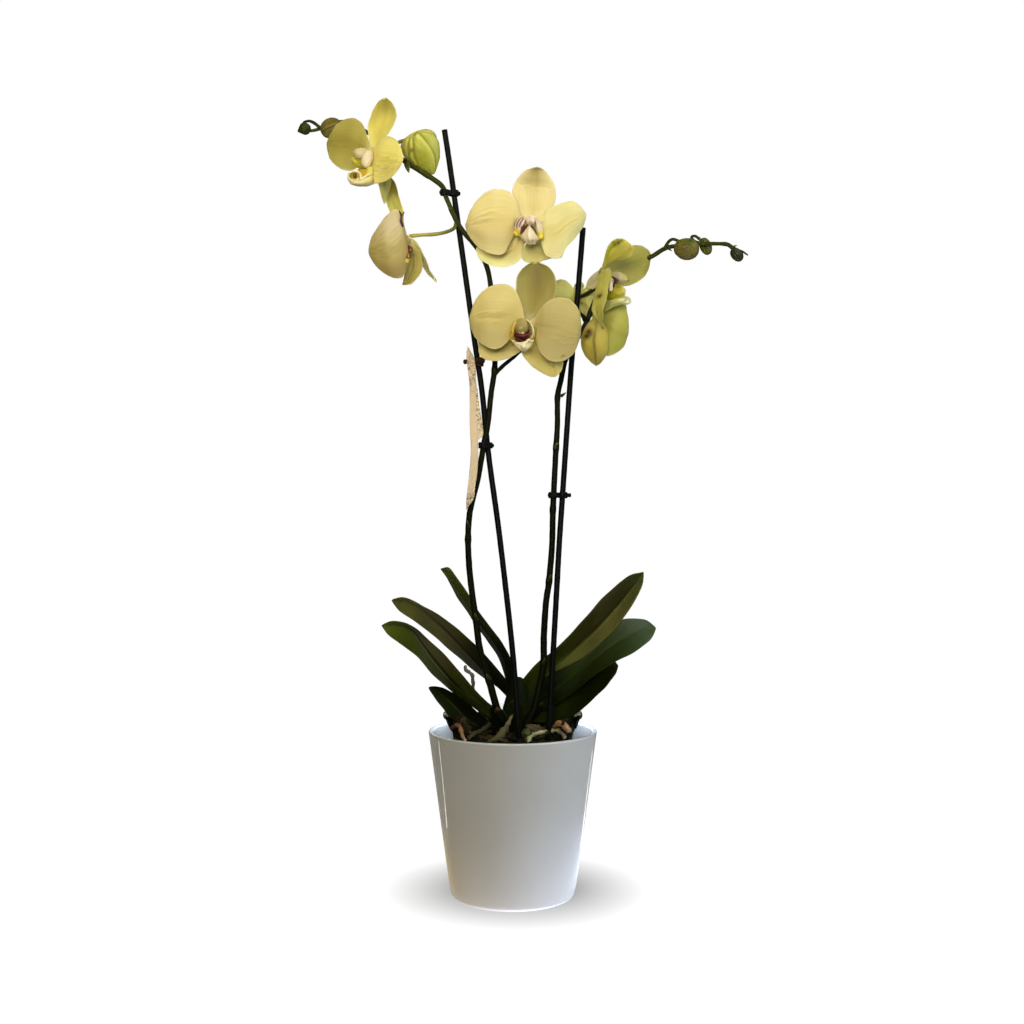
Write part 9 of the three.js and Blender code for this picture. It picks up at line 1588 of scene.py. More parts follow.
# ---------------------------------------------------------------- clips
def loop_band(piece, a, b, ra, rb, height, thick, tab, tint, pinch=0.25, lumps=(0.0, 0.0)):
    """A strap that closes round two round members, rounded in section, with a finger tab."""
    a, b = np.asarray(a, float), np.asarray(b, float)
    flat = (b - a) * [1, 1, 0]
    d = np.linalg.norm(flat)
    x = flat / d
    y = np.array([-x[1], x[0], 0])
    n = 22
    out = []
    for k in range(n + 1):
        t = math.pi / 2 + math.pi * k / n
        out.append((ra * math.cos(t), ra * math.sin(t)))
    for k in range(1, 9):
        w = k / 9
        out.append((d * w, -(ra * (1 - w) + rb * w) + pinch * 4 * w * (1 - w) * ra))
    for k in range(n + 1):
        t = -math.pi / 2 + math.pi * k / n
        out.append((d + rb * math.cos(t), rb * math.sin(t)))
    for k in range(1, 9):
        w = 1 - k / 9
        out.append((d * w, (ra * (1 - w) + rb * w) - pinch * 4 * w * (1 - w) * ra))
    out = np.array(out)
    nxt, prv = np.roll(out, -1, 0), np.roll(out, 1, 0)
    tan = unit(nxt - prv)
    nor = np.stack([tan[:, 1], -tan[:, 0]], 1)
    sec = []
    for k in range(16):
        t = 2 * math.pi * k / 16
        cx, cz = math.cos(t), math.sin(t)
        sec.append((np.sign(cx) * abs(cx) ** 0.45 * thick / 2, np.sign(cz) * abs(cz) ** 0.45 * height / 2))
    sec = np.array(sec)
    w01 = np.clip(out[:, 0] / d, 0, 1)
    tall = 1 - 0.18 * np.sin(w01 * math.pi) ** 2
    rows = []
    for i in range(len(out)):
        off = nor[i][None] * (sec[:, 0:1] + thick / 2)
        px = out[i, 0] + off[:, 0]
        py = out[i, 1] + off[:, 1]
        rows.append(a + x * px[:, None] + y * py[:, None] + np.array([0, 0, 1.0]) * (sec[:, 1] * tall[i])[:, None] + (b - a) * [0, 0, 1] * (px / d)[:, None])
    p = np.array(rows)
    idx = np.arange(p.shape[0] * 16).reshape(-1, 16)
    idx = np.concatenate([idx, idx[:, :1]], 1)
    idx = np.concatenate([idx, idx[:1]], 0)
    faces = fix_outward(p.reshape(-1, 3), grid(idx))
    piece.add(p.reshape(-1, 3), faces, tint)
    for end, size in zip((-1, 1), lumps):
        if size:
            base = (a - x * (ra + thick * 0.4)) if end < 0 else (b + x * (rb + thick * 0.4))
            ball(piece, base - np.array([0, 0, height * 0.42]), base + np.array([0, 0, height * 0.42]), size, tint, 18, 14, flat=(0.9, 0.9))
    if tab:
        base = b + x * (rb + thick * 0.5)
        end = base + x * tab
        pts = [[*base, 1.7], [*((base + end) / 2), 1.6], [*end, 1.75]]
        tube(piece, pts, around=16, step=0.5, paint=tint, cap=0.35)


def at_height(points, z):
    c, r, at = path(points, 0.5)
    k = int(np.argmin(np.abs(c[:, 2] - z)))
    return np.array([c[k, 0], c[k, 1], z]), float(r[k])


for name, node_name, main, rod, z, tab, lumps, height in (
        ("clip_left_low_strap", "stem_clip_left_low", SPIKE_LEFT, STAKE_LEFT, 376.0, 4.2, (1.6, 0.0), 5.2),
        ("clip_left_high_strap", "stem_clip_left_high", SPIKE_LEFT, STAKE_LEFT, 585.0, 1.6, (1.9, 1.6), 5.0),
        ("clip_right_strap", "stem_clip_right", SPIKE_RIGHT, STAKE_RIGHT, 335.0, 3.2, (1.6, 0.0), 5.2)):
    p0, r0 = at_height(main, z)
    p1, r1 = at_height(rod, z)
    piece = Piece()
    loop_band(piece, p0, p1, r0 + 0.55, r1 + 0.45, height, 1.35, tab, srgb(15, 15, 16), lumps=lumps)
    piece.build(name, [MAT_CLIP], [node_name], "clip")

# ---------------------------------------------------------------- plant label and its clip
label = Piece()
card = lambda light: (lambda s, t, front, p: mix(srgb(*light), srgb(205, 178, 138), 0.35 * smooth(0.6, 1.0, np.abs(t)) + 0.25 * (0.5 + 0.5 * field(p, 8, 16.0))))
blade(label, LABEL_ROWS, (0, -1, 0), 0.55, 2.0, card((226, 203, 164)), lambda s, t, L, W: 0.25 * np.sin(s * 21) * t, ns=110, nt=18, edge=14)
blade(label, LABEL_FLAP, (0, -1, 0), 0.5, 2.0, card((246, 226, 182)), None, ns=40, nt=12, edge=14)
label.build("label_card", [MAT_LABEL], ["plant_label"], "label")

piece = Piece()
p1, r1 = at_height(STAKE_LEFT, 444.0)
dark = srgb(44, 30, 18)
loop_band(piece, p1 + [-0.7, 0, 0], p1 + [0.7, 0, 0], r1 + 0.3, r1 + 0.3, 5.2, 1.4, 0.0, dark, pinch=0.0)
tube(piece, LABEL_CLIP_ARM, around=16, step=0.8, paint=dark, cap=0.5, squash=0.9)
tube(piece, LABEL_CLIP_TAB, around=16, step=0.8, paint=dark, cap=0.4)
piece.build("label_clip_moulded", [MAT_LABEL_CLIP], ["label_clip"], "label_clip")

# ---------------------------------------------------------------- roots
for name, (points, tones) in ROOTS.items():
    piece = Piece()
    tones = [srgb(*c) for c in tones]

    def paint(at, ang, p, total, tones=tones, name=name):
        f = np.clip(at / max(total, 1e-6), 0, 1) * (len(tones) - 1)
        k = np.minimum(f.astype(int), len(tones) - 2)
        tt = np.array(tones)
        c = mix(tt[k], tt[k + 1], f - k)
        # painted shade: one side of each root up to a tenth darker
        shaded_side = smooth(0.2, 1.0, -unit(np.gradient(p, axis=1))[..., 2] * 0 + (0.5 - 0.5 * np.sin(ang)))
        return c * (1 + 0.15 * field(p, 31, 6.0))[..., None] * (1 - 0.1 * shaded_side)[..., None]
    tube(piece, points, around=18, step=0.7, paint=paint, rough=0.5, seed=len(name),
         swell=lambda at, c: 0.22 * np.sin(at * 0.9) + 0.12 * np.sin(at * 2.3 + 1))
    piece.build(name + "_skin", [MAT_ROOT], [name], "root")

# ---------------------------------------------------------------- crown
piece = Piece()
tube(piece, CROWN, around=30, step=2.5, paint=stem_paint(srgb(34, 32, 14), srgb(24, 34, 10), 0, 1, 9), rough=0.15, seed=9)
for k, (base, along, outw, length, width, tone, tip) in enumerate(SHEATHS):
    base, along, outw = np.asarray(base, float), unit(along), unit(outw)
    side = unit(np.cross(along, outw))
    rows = []
    for s, w, o in ((0, 0.8, 0.0), (0.3, 1.0, 1.2), (0.6, 0.95, 1.9), (0.85, 0.6, 2.2), (1.0, 0.0, 2.2)):
        c = base + along * length * s + outw * o
        rows.append([c - side * width / 2 * w - outw * 4.0 * w, c, c + side * width / 2 * w - outw * 4.0 * w])
    blade(piece, rows, outw, 1.1, 0.9, lambda s, t, front, p, a=srgb(*tone), b=srgb(*tip): mix(mix(a, b, smooth(0.75, 1.0, s)), b, 0.5 * smooth(0.85, 1.0, np.abs(t))), ns=30, nt=24)
blade(piece, SHEATH_BROAD, (0, -1, 0), 1.4, 0.6, lambda s, t, front, p: mix(np.broadcast_to(srgb(20, 30, 5), s.shape + (3,)), srgb(56, 66, 20), smooth(0.35, 0.95, s)) * (1 + 0.1 * field(p, 44, 12.0))[..., None], None, ns=40, nt=26)
piece.build("crown_neck", [MAT_LEAF], ["crown"], "leaf")

# ---------------------------------------------------------------- leaves
# each half of a leaf from base to tip, partly its own colour and partly painted light and shade: darker towards the
# base where the leaves shade each other, paler towards the tip where light falls and glances off; then creases and
# ribs, the dark lines painted shade and the light ones painted highlights: from s, to s, t at both, width, colour,
# share; then edge, a painted highlight along one margin: side, colour
LEAF_TONES = {
    "leaf_1": dict(a=[(0, (14, 20, 6)), (0.35, (18, 25, 7)), (0.5, (44, 52, 17)), (0.75, (60, 66, 28)), (0.95, (86, 88, 56)), (1, (40, 40, 22))],
                   b=[(0, (12, 18, 5)), (0.35, (16, 22, 6)), (0.5, (38, 46, 14)), (0.75, (54, 62, 22)), (0.95, (66, 72, 34)), (1, (34, 34, 18))],
                   lines=[(0.45, 0.95, 0.1, 0.1, 0.05, (30, 36, 10), 0.5)], edge=(0, (96, 100, 50))),
    "leaf_2": dict(a=[(0, (10, 13, 2)), (0.25, (16, 20, 5)), (0.45, (40, 40, 17)), (0.65, (68, 64, 38)), (0.88, (72, 71, 40)), (1, (62, 62, 32))],
                   b=[(0, (8, 11, 1)), (0.2, (12, 16, 3)), (0.38, (34, 37, 11)), (0.6, (68, 67, 32)), (0.85, (84, 84, 44)), (1, (78, 80, 42))],
                   lines=[(0.12, 0.82, 0.05, -0.28, 0.10, (14, 15, 5), 0.85), (0.1, 0.8, 0.16, -0.12, 0.05, (84, 82, 50), 0.5)], edge=(1, (98, 98, 56))),
    "leaf_3": dict(a=[(0, (24, 32, 9)), (0.12, (60, 64, 32)), (0.22, (56, 60, 30)), (0.45, (50, 50, 20)), (0.65, (62, 59, 32)), (0.82, (46, 50, 24)), (1, (60, 68, 22))],
                   b=[(0, (22, 30, 8)), (0.12, (58, 64, 30)), (0.22, (52, 60, 26)), (0.45, (44, 52, 13)), (0.7, (50, 60, 17)), (0.9, (70, 80, 24)), (1, (80, 88, 32))],
                   lines=[(0.34, 0.86, -0.05, 0.02, 0.12, (12, 15, 3), 0.9), (0.03, 0.8, 0.16, 0.16, 0.035, (104, 110, 72), 0.6)], edge=(1, (100, 106, 52))),
    "leaf_4": dict(a=[(0, (11, 18, 4)), (0.5, (14, 18, 2)), (0.8, (20, 26, 8)), (1, (20, 22, 8))],
                   b=[(0, (8, 11, 2)), (0.5, (20, 26, 7)), (0.8, (24, 30, 9)), (1, (18, 20, 8))],
                   lines=[(0.3, 0.95, 0.02, 0.02, 0.05, (78, 84, 48), 0.7)], edge=(1, (60, 64, 34))),
    "leaf_5": dict(a=[(0, (18, 28, 4)), (0.22, (62, 72, 26)), (0.42, (62, 63, 26)), (0.65, (60, 55, 32)), (0.85, (50, 47, 24)), (1, (48, 54, 20))],
                   b=[(0, (18, 27, 4)), (0.2, (76, 82, 36)), (0.5, (72, 71, 38)), (0.7, (74, 72, 42)), (0.86, (60, 61, 36)), (1, (44, 50, 24))],
                   lines=[(0.36, 0.97, -0.1, -0.02, 0.12, (24, 22, 7), 0.75)], edge=(1, (96, 100, 44))),
    "leaf_6": dict(a=[(0, (10, 16, 2)), (0.3, (21, 31, 7)), (0.55, (44, 55, 24)), (0.75, (60, 71, 54)), (0.92, (74, 88, 84)), (1, (70, 82, 74))],
                   b=[(0, (10, 16, 3)), (0.3, (20, 28, 6)), (0.55, (27, 36, 9)), (0.75, (46, 58, 34)), (0.92, (66, 80, 68)), (1, (64, 78, 66))],
                   lines=[(0.1, 0.9, 0.0, 0.0, 0.03, (48, 58, 34), 0.5)], edge=(0, (84, 92, 50))),
    "leaf_7": dict(a=[(0, (14, 24, 3)), (0.5, (22, 33, 6)), (0.8, (25, 35, 7)), (1, (30, 38, 12))],
                   b=[(0, (32, 40, 9)), (0.4, (27, 35, 8)), (0.8, (13, 20, 2)), (1, (17, 22, 5))],
                   lines=[(0.05, 0.8, 0.0, 0.0, 0.04, (8, 13, 1), 0.6)], edge=(0, (82, 92, 36))),
}
LEAF_GAIN = {"leaf_1": 1.5, "leaf_2": 1.5, "leaf_3": 1.5, "leaf_4": 1.5, "leaf_5": 1.5, "leaf_6": 1.5, "leaf_7": 1.5}
for name, rows in LEAVES.items():
    tone = LEAF_TONES[name]

    def along(table, s):
        at, colours = zip(*table)
        lin = np.array([srgb(*c) for c in colours])
        return np.stack([np.interp(s, at, lin[:, k]) for k in range(3)], -1)

    def paint(s, t, front, p, tone=tone, gain=LEAF_GAIN[name]):
        c = mix(along(tone["a"], s), along(tone["b"], s), smooth(-0.05, 0.05, t))
        # painted shade along the creases as dark lines, painted highlights along the ribs as light lines
        for s0, s1, t0, t1, width, colour, share in tone["lines"]:
            where = t0 + (t1 - t0) * np.clip((s - s0) / (s1 - s0), 0, 1)
            c = mix(c, np.broadcast_to(srgb(*colour), c.shape), share * np.exp(-(((t - where) / width) ** 2)) * smooth(s0 - 0.06, s0 + 0.06, s) * (1 - smooth(s1 - 0.08, s1 + 0.04, s)))
        # painted highlight along one margin
        side, colour = tone["edge"]
        c = mix(c, np.broadcast_to(srgb(*colour), c.shape), 0.7 * smooth(0.95, 1.0, t if side else -t) * smooth(0.1, 0.3, s))
        return c * gain * np.array([1.02, 1.04, 0.72]) * (1 + 0.14 * field(p, 41, 30.0))[..., None]

    def relief(s, t, L, W, seed=len(rows) + ord(name[-1])):
        groove = -0.75 * np.exp(-((t / 0.07) ** 2)) * (1 - 0.5 * s) * smooth(0.0, 0.1, s)
        wave = 0.9 * wobble(s * 7.0, seed) * t * np.abs(t) + 0.5 * wobble(s * 4.0 + t, seed + 3)
        return groove + wave * smooth(0.1, 0.4, s)
    piece = Piece()
    blade(piece, rows, (0, -0.05, 1) if name not in LEAF_FRONT else LEAF_FRONT[name], 2.1, 0.3, paint, relief, ns=96, nt=44, edge=8)
    piece.build(name + "_blade", [MAT_LEAF], [name], "leaf")

# ---------------------------------------------------------------- buds
for name, b in BUDS.items():
    piece = Piece()
    light, deep, seam = srgb(*b["light"]), srgb(*b["deep"]), srgb(*b["seam"])
    lines = b["seams"]

    def gap(u, g, lines=lines, curves=b.get("curves", ())):
        """Signed angle to the nearest seam."""
        best = np.full(u.shape, 9.0)
        for g0, twist in lines:
            d = (g - (g0 + twist * (u - 0.5)) + math.pi) % (2 * math.pi) - math.pi
            best = np.where(np.abs(d) < np.abs(best), d, best)
        for curve in curves:
            us, gs = zip(*curve)
            d = (g - np.interp(u, us, gs) + math.pi) % (2 * math.pi) - math.pi
            d = np.where((u < us[0]) | (u > us[-1]), 9.0, d)
            best = np.where(np.abs(d) < np.abs(best), d, best)
        return best

    def shape(u, g, b=b):
        d = gap(u, g)
        side = b.get("step", 0.0) * np.exp(-(((d + 0.3) / 0.3) ** 2)) * (d < 0)
        groove = 1 - side - b["groove"] * np.exp(-((d / 0.1) ** 2)) * np.sin(np.pi * np.clip(u, 0, 1)) ** 0.5
        lobe = 1 + b["ridge"] * np.exp(-(((np.abs(d) - 0.22) / 0.16) ** 2)) * np.sin(np.pi * np.clip(u, 0, 1))
        k = groove * lobe * (1 - b["taper"] * (u - 0.5)) * (1 + 0.02 * np.sin(3 * g + 4 * u))
        if "profile" in b:
            k = k * np.interp(u, *zip(*b["profile"]))
        return k

    def paint(u, g, p, light=light, deep=deep, seam=seam, b=b):
        d = gap(u, g)
        c = mix(deep, light, 0.5 + 0.5 * field(p, 51, b["r"] * 1.3) * 0.7)
        # painted highlight on the raised side of each seam; painted shade in the seam and on its lower side
        c = mix(c, np.broadcast_to(np.minimum(light * 1.25, 0.9), c.shape), 0.7 * np.exp(-(((d - 0.13) / 0.08) ** 2)))
        c = mix(c, np.broadcast_to(seam, c.shape), 0.75 * np.exp(-(((d + 0.02) / 0.06) ** 2)) + 0.25 * np.exp(-(((d + 0.12) / 0.12) ** 2)) * (d < 0))
        c = mix(c, np.broadcast_to(deep * 0.7, c.shape), 0.4 * smooth(0.8, 1.0, u))
        for u0, g0, ru, rg, colour, amount in b.get("blots", ()):
            away = (g - g0 + math.pi) % (2 * math.pi) - math.pi
            c = mix(c, np.broadcast_to(srgb(*colour), c.shape), amount * np.exp(-(((u - u0) / ru) ** 2) - (away / rg) ** 2))
        return c
    ball(piece, b["from"], b["to"], b["r"], paint, 96, 64, shape, flat=b.get("flat"))
    for extra in b.get("petals", ()):
        tone = srgb(*extra["tone"])
        blade(piece, extra["rows"], extra["face"], 1.0, 0.8, lambda s, t, front, p, tone=tone: mix(tone, tone * 0.75, 0.6 * smooth(0.3, 1.0, np.abs(t))), None, ns=34, nt=22)
    piece.build(name + "_skin", [MAT_BUD], [name], "bud")

# ---------------------------------------------------------------- flowers
def petal_paint(tone, blots, folds=()):
    light, deep, back, rim = (srgb(*tone[k]) for k in ("light", "deep", "back", "rim"))

    def paint(s, t, front, p):
        # a deeper colour down the middle of each petal, front and back: partly its own colour and partly painted shade
        # in the midrib groove
        if front:
            f = 0.75 * np.exp(-((t / 0.45) ** 2)) * smooth(0.02, 0.3, s) * (1 - 0.75 * smooth(0.6, 1.0, s)) + 0.15 * field(p, 61, 16.0)
            c = mix(np.broadcast_to(light, s.shape + (3,)), deep, np.clip(f, 0, 1))
        else:
            f = 0.45 * np.exp(-((t / 0.3) ** 2)) + 0.15 * field(p, 62, 14.0)
            c = mix(np.broadcast_to(back, s.shape + (3,)), deep * 0.9, np.clip(f, 0, 1))
        c = mix(c, np.broadcast_to(srgb(236, 226, 190), c.shape), 0.35 * (1 - smooth(0.0, 0.16, s)))
        # blots: the flowers' own marks, and painted shadow, shade and light as listed with the flower tones
        for s0, t0, rs, rt, colour, amount in blots:
            c = mix(c, np.broadcast_to(srgb(*colour), c.shape), amount * np.exp(-(((s - s0) / rs) ** 2) - ((t - t0) / rt) ** 2))
        for s0, t0, s1, t1, amp, width in folds:
            # shade on one flank of each fold, a lighter other flank
            share = (s - s0) / (s1 - s0) if abs(s1 - s0) > 0.12 else (t - t0) / (t1 - t0)
            gap = (t - (t0 + (t1 - t0) * share)) if abs(s1 - s0) > 0.12 else (s - (s0 + (s1 - s0) * share)) * 1.6
            gap = (gap + 0.012 * np.sin(share * 17.0 + amp * 9)) / (0.032 * width)
            ends = smooth(-0.05, 0.22, share) * (1 - smooth(0.75, 1.05, share))
            c = c * (1 - 0.5 * amp * ends * gap * np.exp(-0.5 * gap ** 2))[..., None].clip(0.6, 1.3)
        # painted light: a pale rim along the edges and the tip, for light shining through the thin margins
        c = mix(c, np.broadcast_to(rim, c.shape), 0.7 * smooth(0.93, 1.0, np.abs(t)))
        c = mix(c, np.broadcast_to(rim, c.shape), 0.5 * smooth(0.965, 1.0, s))
        return c
    return paint


def petal_relief(ruffle, folds, cup, seed):
    def relief(s, t, L, W):
        w = np.maximum(W, 1.0)[:, None]
        out = ruffle * wobble(s * 9.0 + 1.3 * np.sign(t), seed) * np.abs(t) ** 3
        out = out - 0.45 * np.exp(-((t / 0.07) ** 2)) * smooth(0.03, 0.2, s) * (1 - smooth(0.55, 0.95, s))
        out = out + 0.35 * wobble(s * 3.0 + 2 * t, seed + 9) * smooth(0.1, 0.5, s) * (1 - np.abs(t) ** 4)
        out = out + cup * t * t * smooth(0.1, 0.6, s)
        x, y = s * L, t * w / 2
        for s0, t0, s1, t1, amp, width in folds:
            k0 = int(np.clip(round(s0 * (s.shape[0] - 1)), 0, s.shape[0] - 1))
            k1 = int(np.clip(round(s1 * (s.shape[0] - 1)), 0, s.shape[0] - 1))
            a = np.array([s0 * L, t0 * w[k0, 0] / 2])
            b = np.array([s1 * L, t1 * w[k1, 0] / 2])
            d = b - a
            n = np.linalg.norm(d)
            d = d / n
            along = (x - a[0]) * d[0] + (y - a[1]) * d[1]
            across = -(x - a[0]) * d[1] + (y - a[1]) * d[0] + 0.5 * np.sin(along * 0.7 + seed)
            out = out + amp * np.exp(-((across / width) ** 2)) * smooth(-0.05 * n, 0.25 * n, along) * (1 - smooth(0.75 * n, 1.05 * n, along))
        return out
    return relief


def frame_of(name):
    f = FLOWERS[name]
    n = unit(FACING[name]["n"])
    right = unit(np.cross(FACING[name]["up"], n))
    up = np.cross(n, right)
    return np.asarray(f["centre"], float), right, up, n


def local(origin, right, up, out, p):
    p = np.asarray(p, float)
    return np.asarray(origin) + p[..., 0:1] * right + p[..., 1:2] * up + p[..., 2:3] * out


MAROON, RED = srgb(92, 16, 30), srgb(196, 84, 30)


def stripes(base, low, marks, seed):
    """Side lobe: pale above, yellow below, broken maroon bars along it."""
    def paint(s, t, front, p):
        c = mix(np.broadcast_to(low, s.shape + (3,)), base, smooth(0.2, 0.55, s))
        bars = np.zeros_like(s)
        for t0, s0, s1, w in marks:
            bars = np.maximum(bars, np.exp(-(((t - t0 - 0.12 * np.sin(7 * s)) / w) ** 2)) * smooth(s0, s0 + 0.1, s) * (1 - smooth(s1 - 0.12, s1, s)))
        c = mix(c, np.broadcast_to(MAROON, c.shape), 0.9 * np.clip(bars * 1.3, 0, 1))
        dots = np.clip(field(p, seed, 1.6) * 2.4 - 0.9, 0, 1) * (1 - smooth(0.15, 0.4, s))
        return mix(c, np.broadcast_to(RED, c.shape), 0.8 * dots)
    return paint


def plain(colour, deep=None, where=(0.4, 1.0), seed=1, dots=0.0, dot=None):
    def paint(s, t, front, p):
        c = np.broadcast_to(colour, s.shape + (3,))
        if deep is not None:
            c = mix(c, np.broadcast_to(deep, c.shape), smooth(where[0], where[1], s))
        if dots:
            d = np.clip(field(p, seed, 1.5) * 2.6 - 1.0, 0, 1)
            c = mix(c, np.broadcast_to(RED if dot is None else dot, c.shape), dots * d)
        return c
    return paint


def common_lip(piece, origin, right, up, out, tone, k=1.0):
    """Column, side lobes, keeled front lobe with two tendrils, and the callus, seen from any side."""
    W = lambda *p: local(origin, right, up, out, np.asarray(p, float) * k)
    cream, lobe, yellow, front = (srgb(*tone[x]) for x in ("cream", "lobe", "yellow", "front"))
    col = [[*W(0, 0.2, -1), 3.2 * k], [*W(0, 0.9, 3), 3.3 * k], [*W(0, 0.7, 6.5), 3.1 * k], [*W(0, -0.3, 9.2), 2.7 * k]]
    tube(piece, col, around=30, step=0.45, cap=0.9, rough=0.12, seed=4,
         paint=lambda at, ang, p, total: mix(cream, srgb(226, 190, 178), 0.4 * smooth(0.3, 0.9, at / max(total, 1e-6))))
    ball(piece, W(0, 0.6, 8.8), W(0, -2.0, 11.2), 2.1 * k, mix(cream, srgb(250, 240, 200), np.array(0.6)), 28, 20)
    ball(piece, W(0, -0.6, 10.4), W(0, -2.0, 11.9), 0.8 * k, srgb(206, 172, 70), 16, 12)
    for g in (-1, 1):
        rows = [
            [W(g * 1.2, -5.0, 2.6), W(g * 2.2, -5.2, 3.6), W(g * 2.6, -5.6, 5.0)],
            [W(g * 4.0, -3.6, 2.2), W(g * 5.4, -5.0, 5.0), W(g * 4.2, -5.4, 8.4)],
            [W(g * 7.2, -0.8, 2.4), W(g * 9.0, -2.4, 6.2), W(g * 7.0, -3.0, 10.6)],
            [W(g * 8.6, 3.0, 3.8), W(g * 10.6, 1.6, 7.8), W(g * 8.2, 0.4, 12.0)],
            [W(g * 7.8, 6.0, 6.6), W(g * 9.2, 5.2, 9.4), W(g * 7.6, 3.6, 12.2)],
            [W(g * 6.2, 7.0, 10.0)] * 3,
        ]
        blade(piece, rows, up * 0.4 - right * g, 0.75, 0.9,
              stripes(lobe, yellow, ((0.35, 0.12, 0.6, 0.12), (-0.1, 0.1, 0.5, 0.1), (0.7, 0.2, 0.66, 0.09)), 70 + g),
              lambda s, t, L, Wd: 0.25 * wobble(s * 9, 5) * np.abs(t) ** 2, ns=40, nt=26)
    keel = lambda s, t, L, Wd: 0.9 * np.exp(-((t / 0.16) ** 2)) * smooth(0.1, 0.4, s) * (1 - smooth(0.8, 1, s)) + 0.2 * wobble(s * 8 + t * 2, 3)
    rows = [
        [W(-2.0, -5.4, 3.6), W(0, -5.2, 4.2), W(2.0, -5.4, 3.6)],
        [W(-3.0, -6.6, 7.0), W(0, -6.0, 8.0), W(3.0, -6.6, 7.0)],
        [W(-5.6, -8.0, 10.2), W(0, -7.6, 11.6), W(5.6, -8.0, 10.2)],
        [W(-7.4, -10.0, 12.0), W(0, -9.6, 14.0), W(7.4, -10.0, 12.0)],
        [W(-5.0, -12.4, 13.0), W(0, -11.8, 14.8), W(5.0, -12.4, 13.0)],
        [W(-2.2, -14.0, 13.6), W(0, -13.6, 14.8), W(2.2, -14.0, 13.6)],
        [W(0, -15.0, 14.4)] * 3,
    ]
    blade(piece, rows, up + out * 0.4, 1.5, 0.7,
          lambda s, t, f, p: mix(mix(np.broadcast_to(yellow, s.shape + (3,)), front, smooth(0.25, 0.6, s)), np.broadcast_to(MAROON, s.shape + (3,)),
                                 0.85 * np.clip(1.3 * np.exp(-(((np.abs(t) - 0.5) / 0.16) ** 2)), 0, 1) * smooth(0.02, 0.12, s) * (1 - smooth(0.3, 0.5, s))),
          keel, ns=44, nt=30)
    for g in (-1, 1):
        pts = [[*W(g * 0.5, -14.6, 14.2), 0.5 * k], [*W(g * 1.6, -16.2, 15.4), 0.38 * k], [*W(g * 3.2, -16.0, 16.8), 0.3 * k],
               [*W(g * 4.2, -14.2, 17.2), 0.25 * k], [*W(g * 3.8, -12.6, 16.2), 0.16 * k]]
        tube(piece, pts, around=12, step=0.35, paint=front * 1.03, cap=0.8)
        ball(piece, W(g * 0.9, -4.6, 5.0), W(g * 1.3, -2.9, 8.4), 1.2 * k, lambda u, a, p: mix(yellow, RED, 0.6 * np.clip(field(p, 81, 1.2) * 2, 0, 1)), 20, 14)


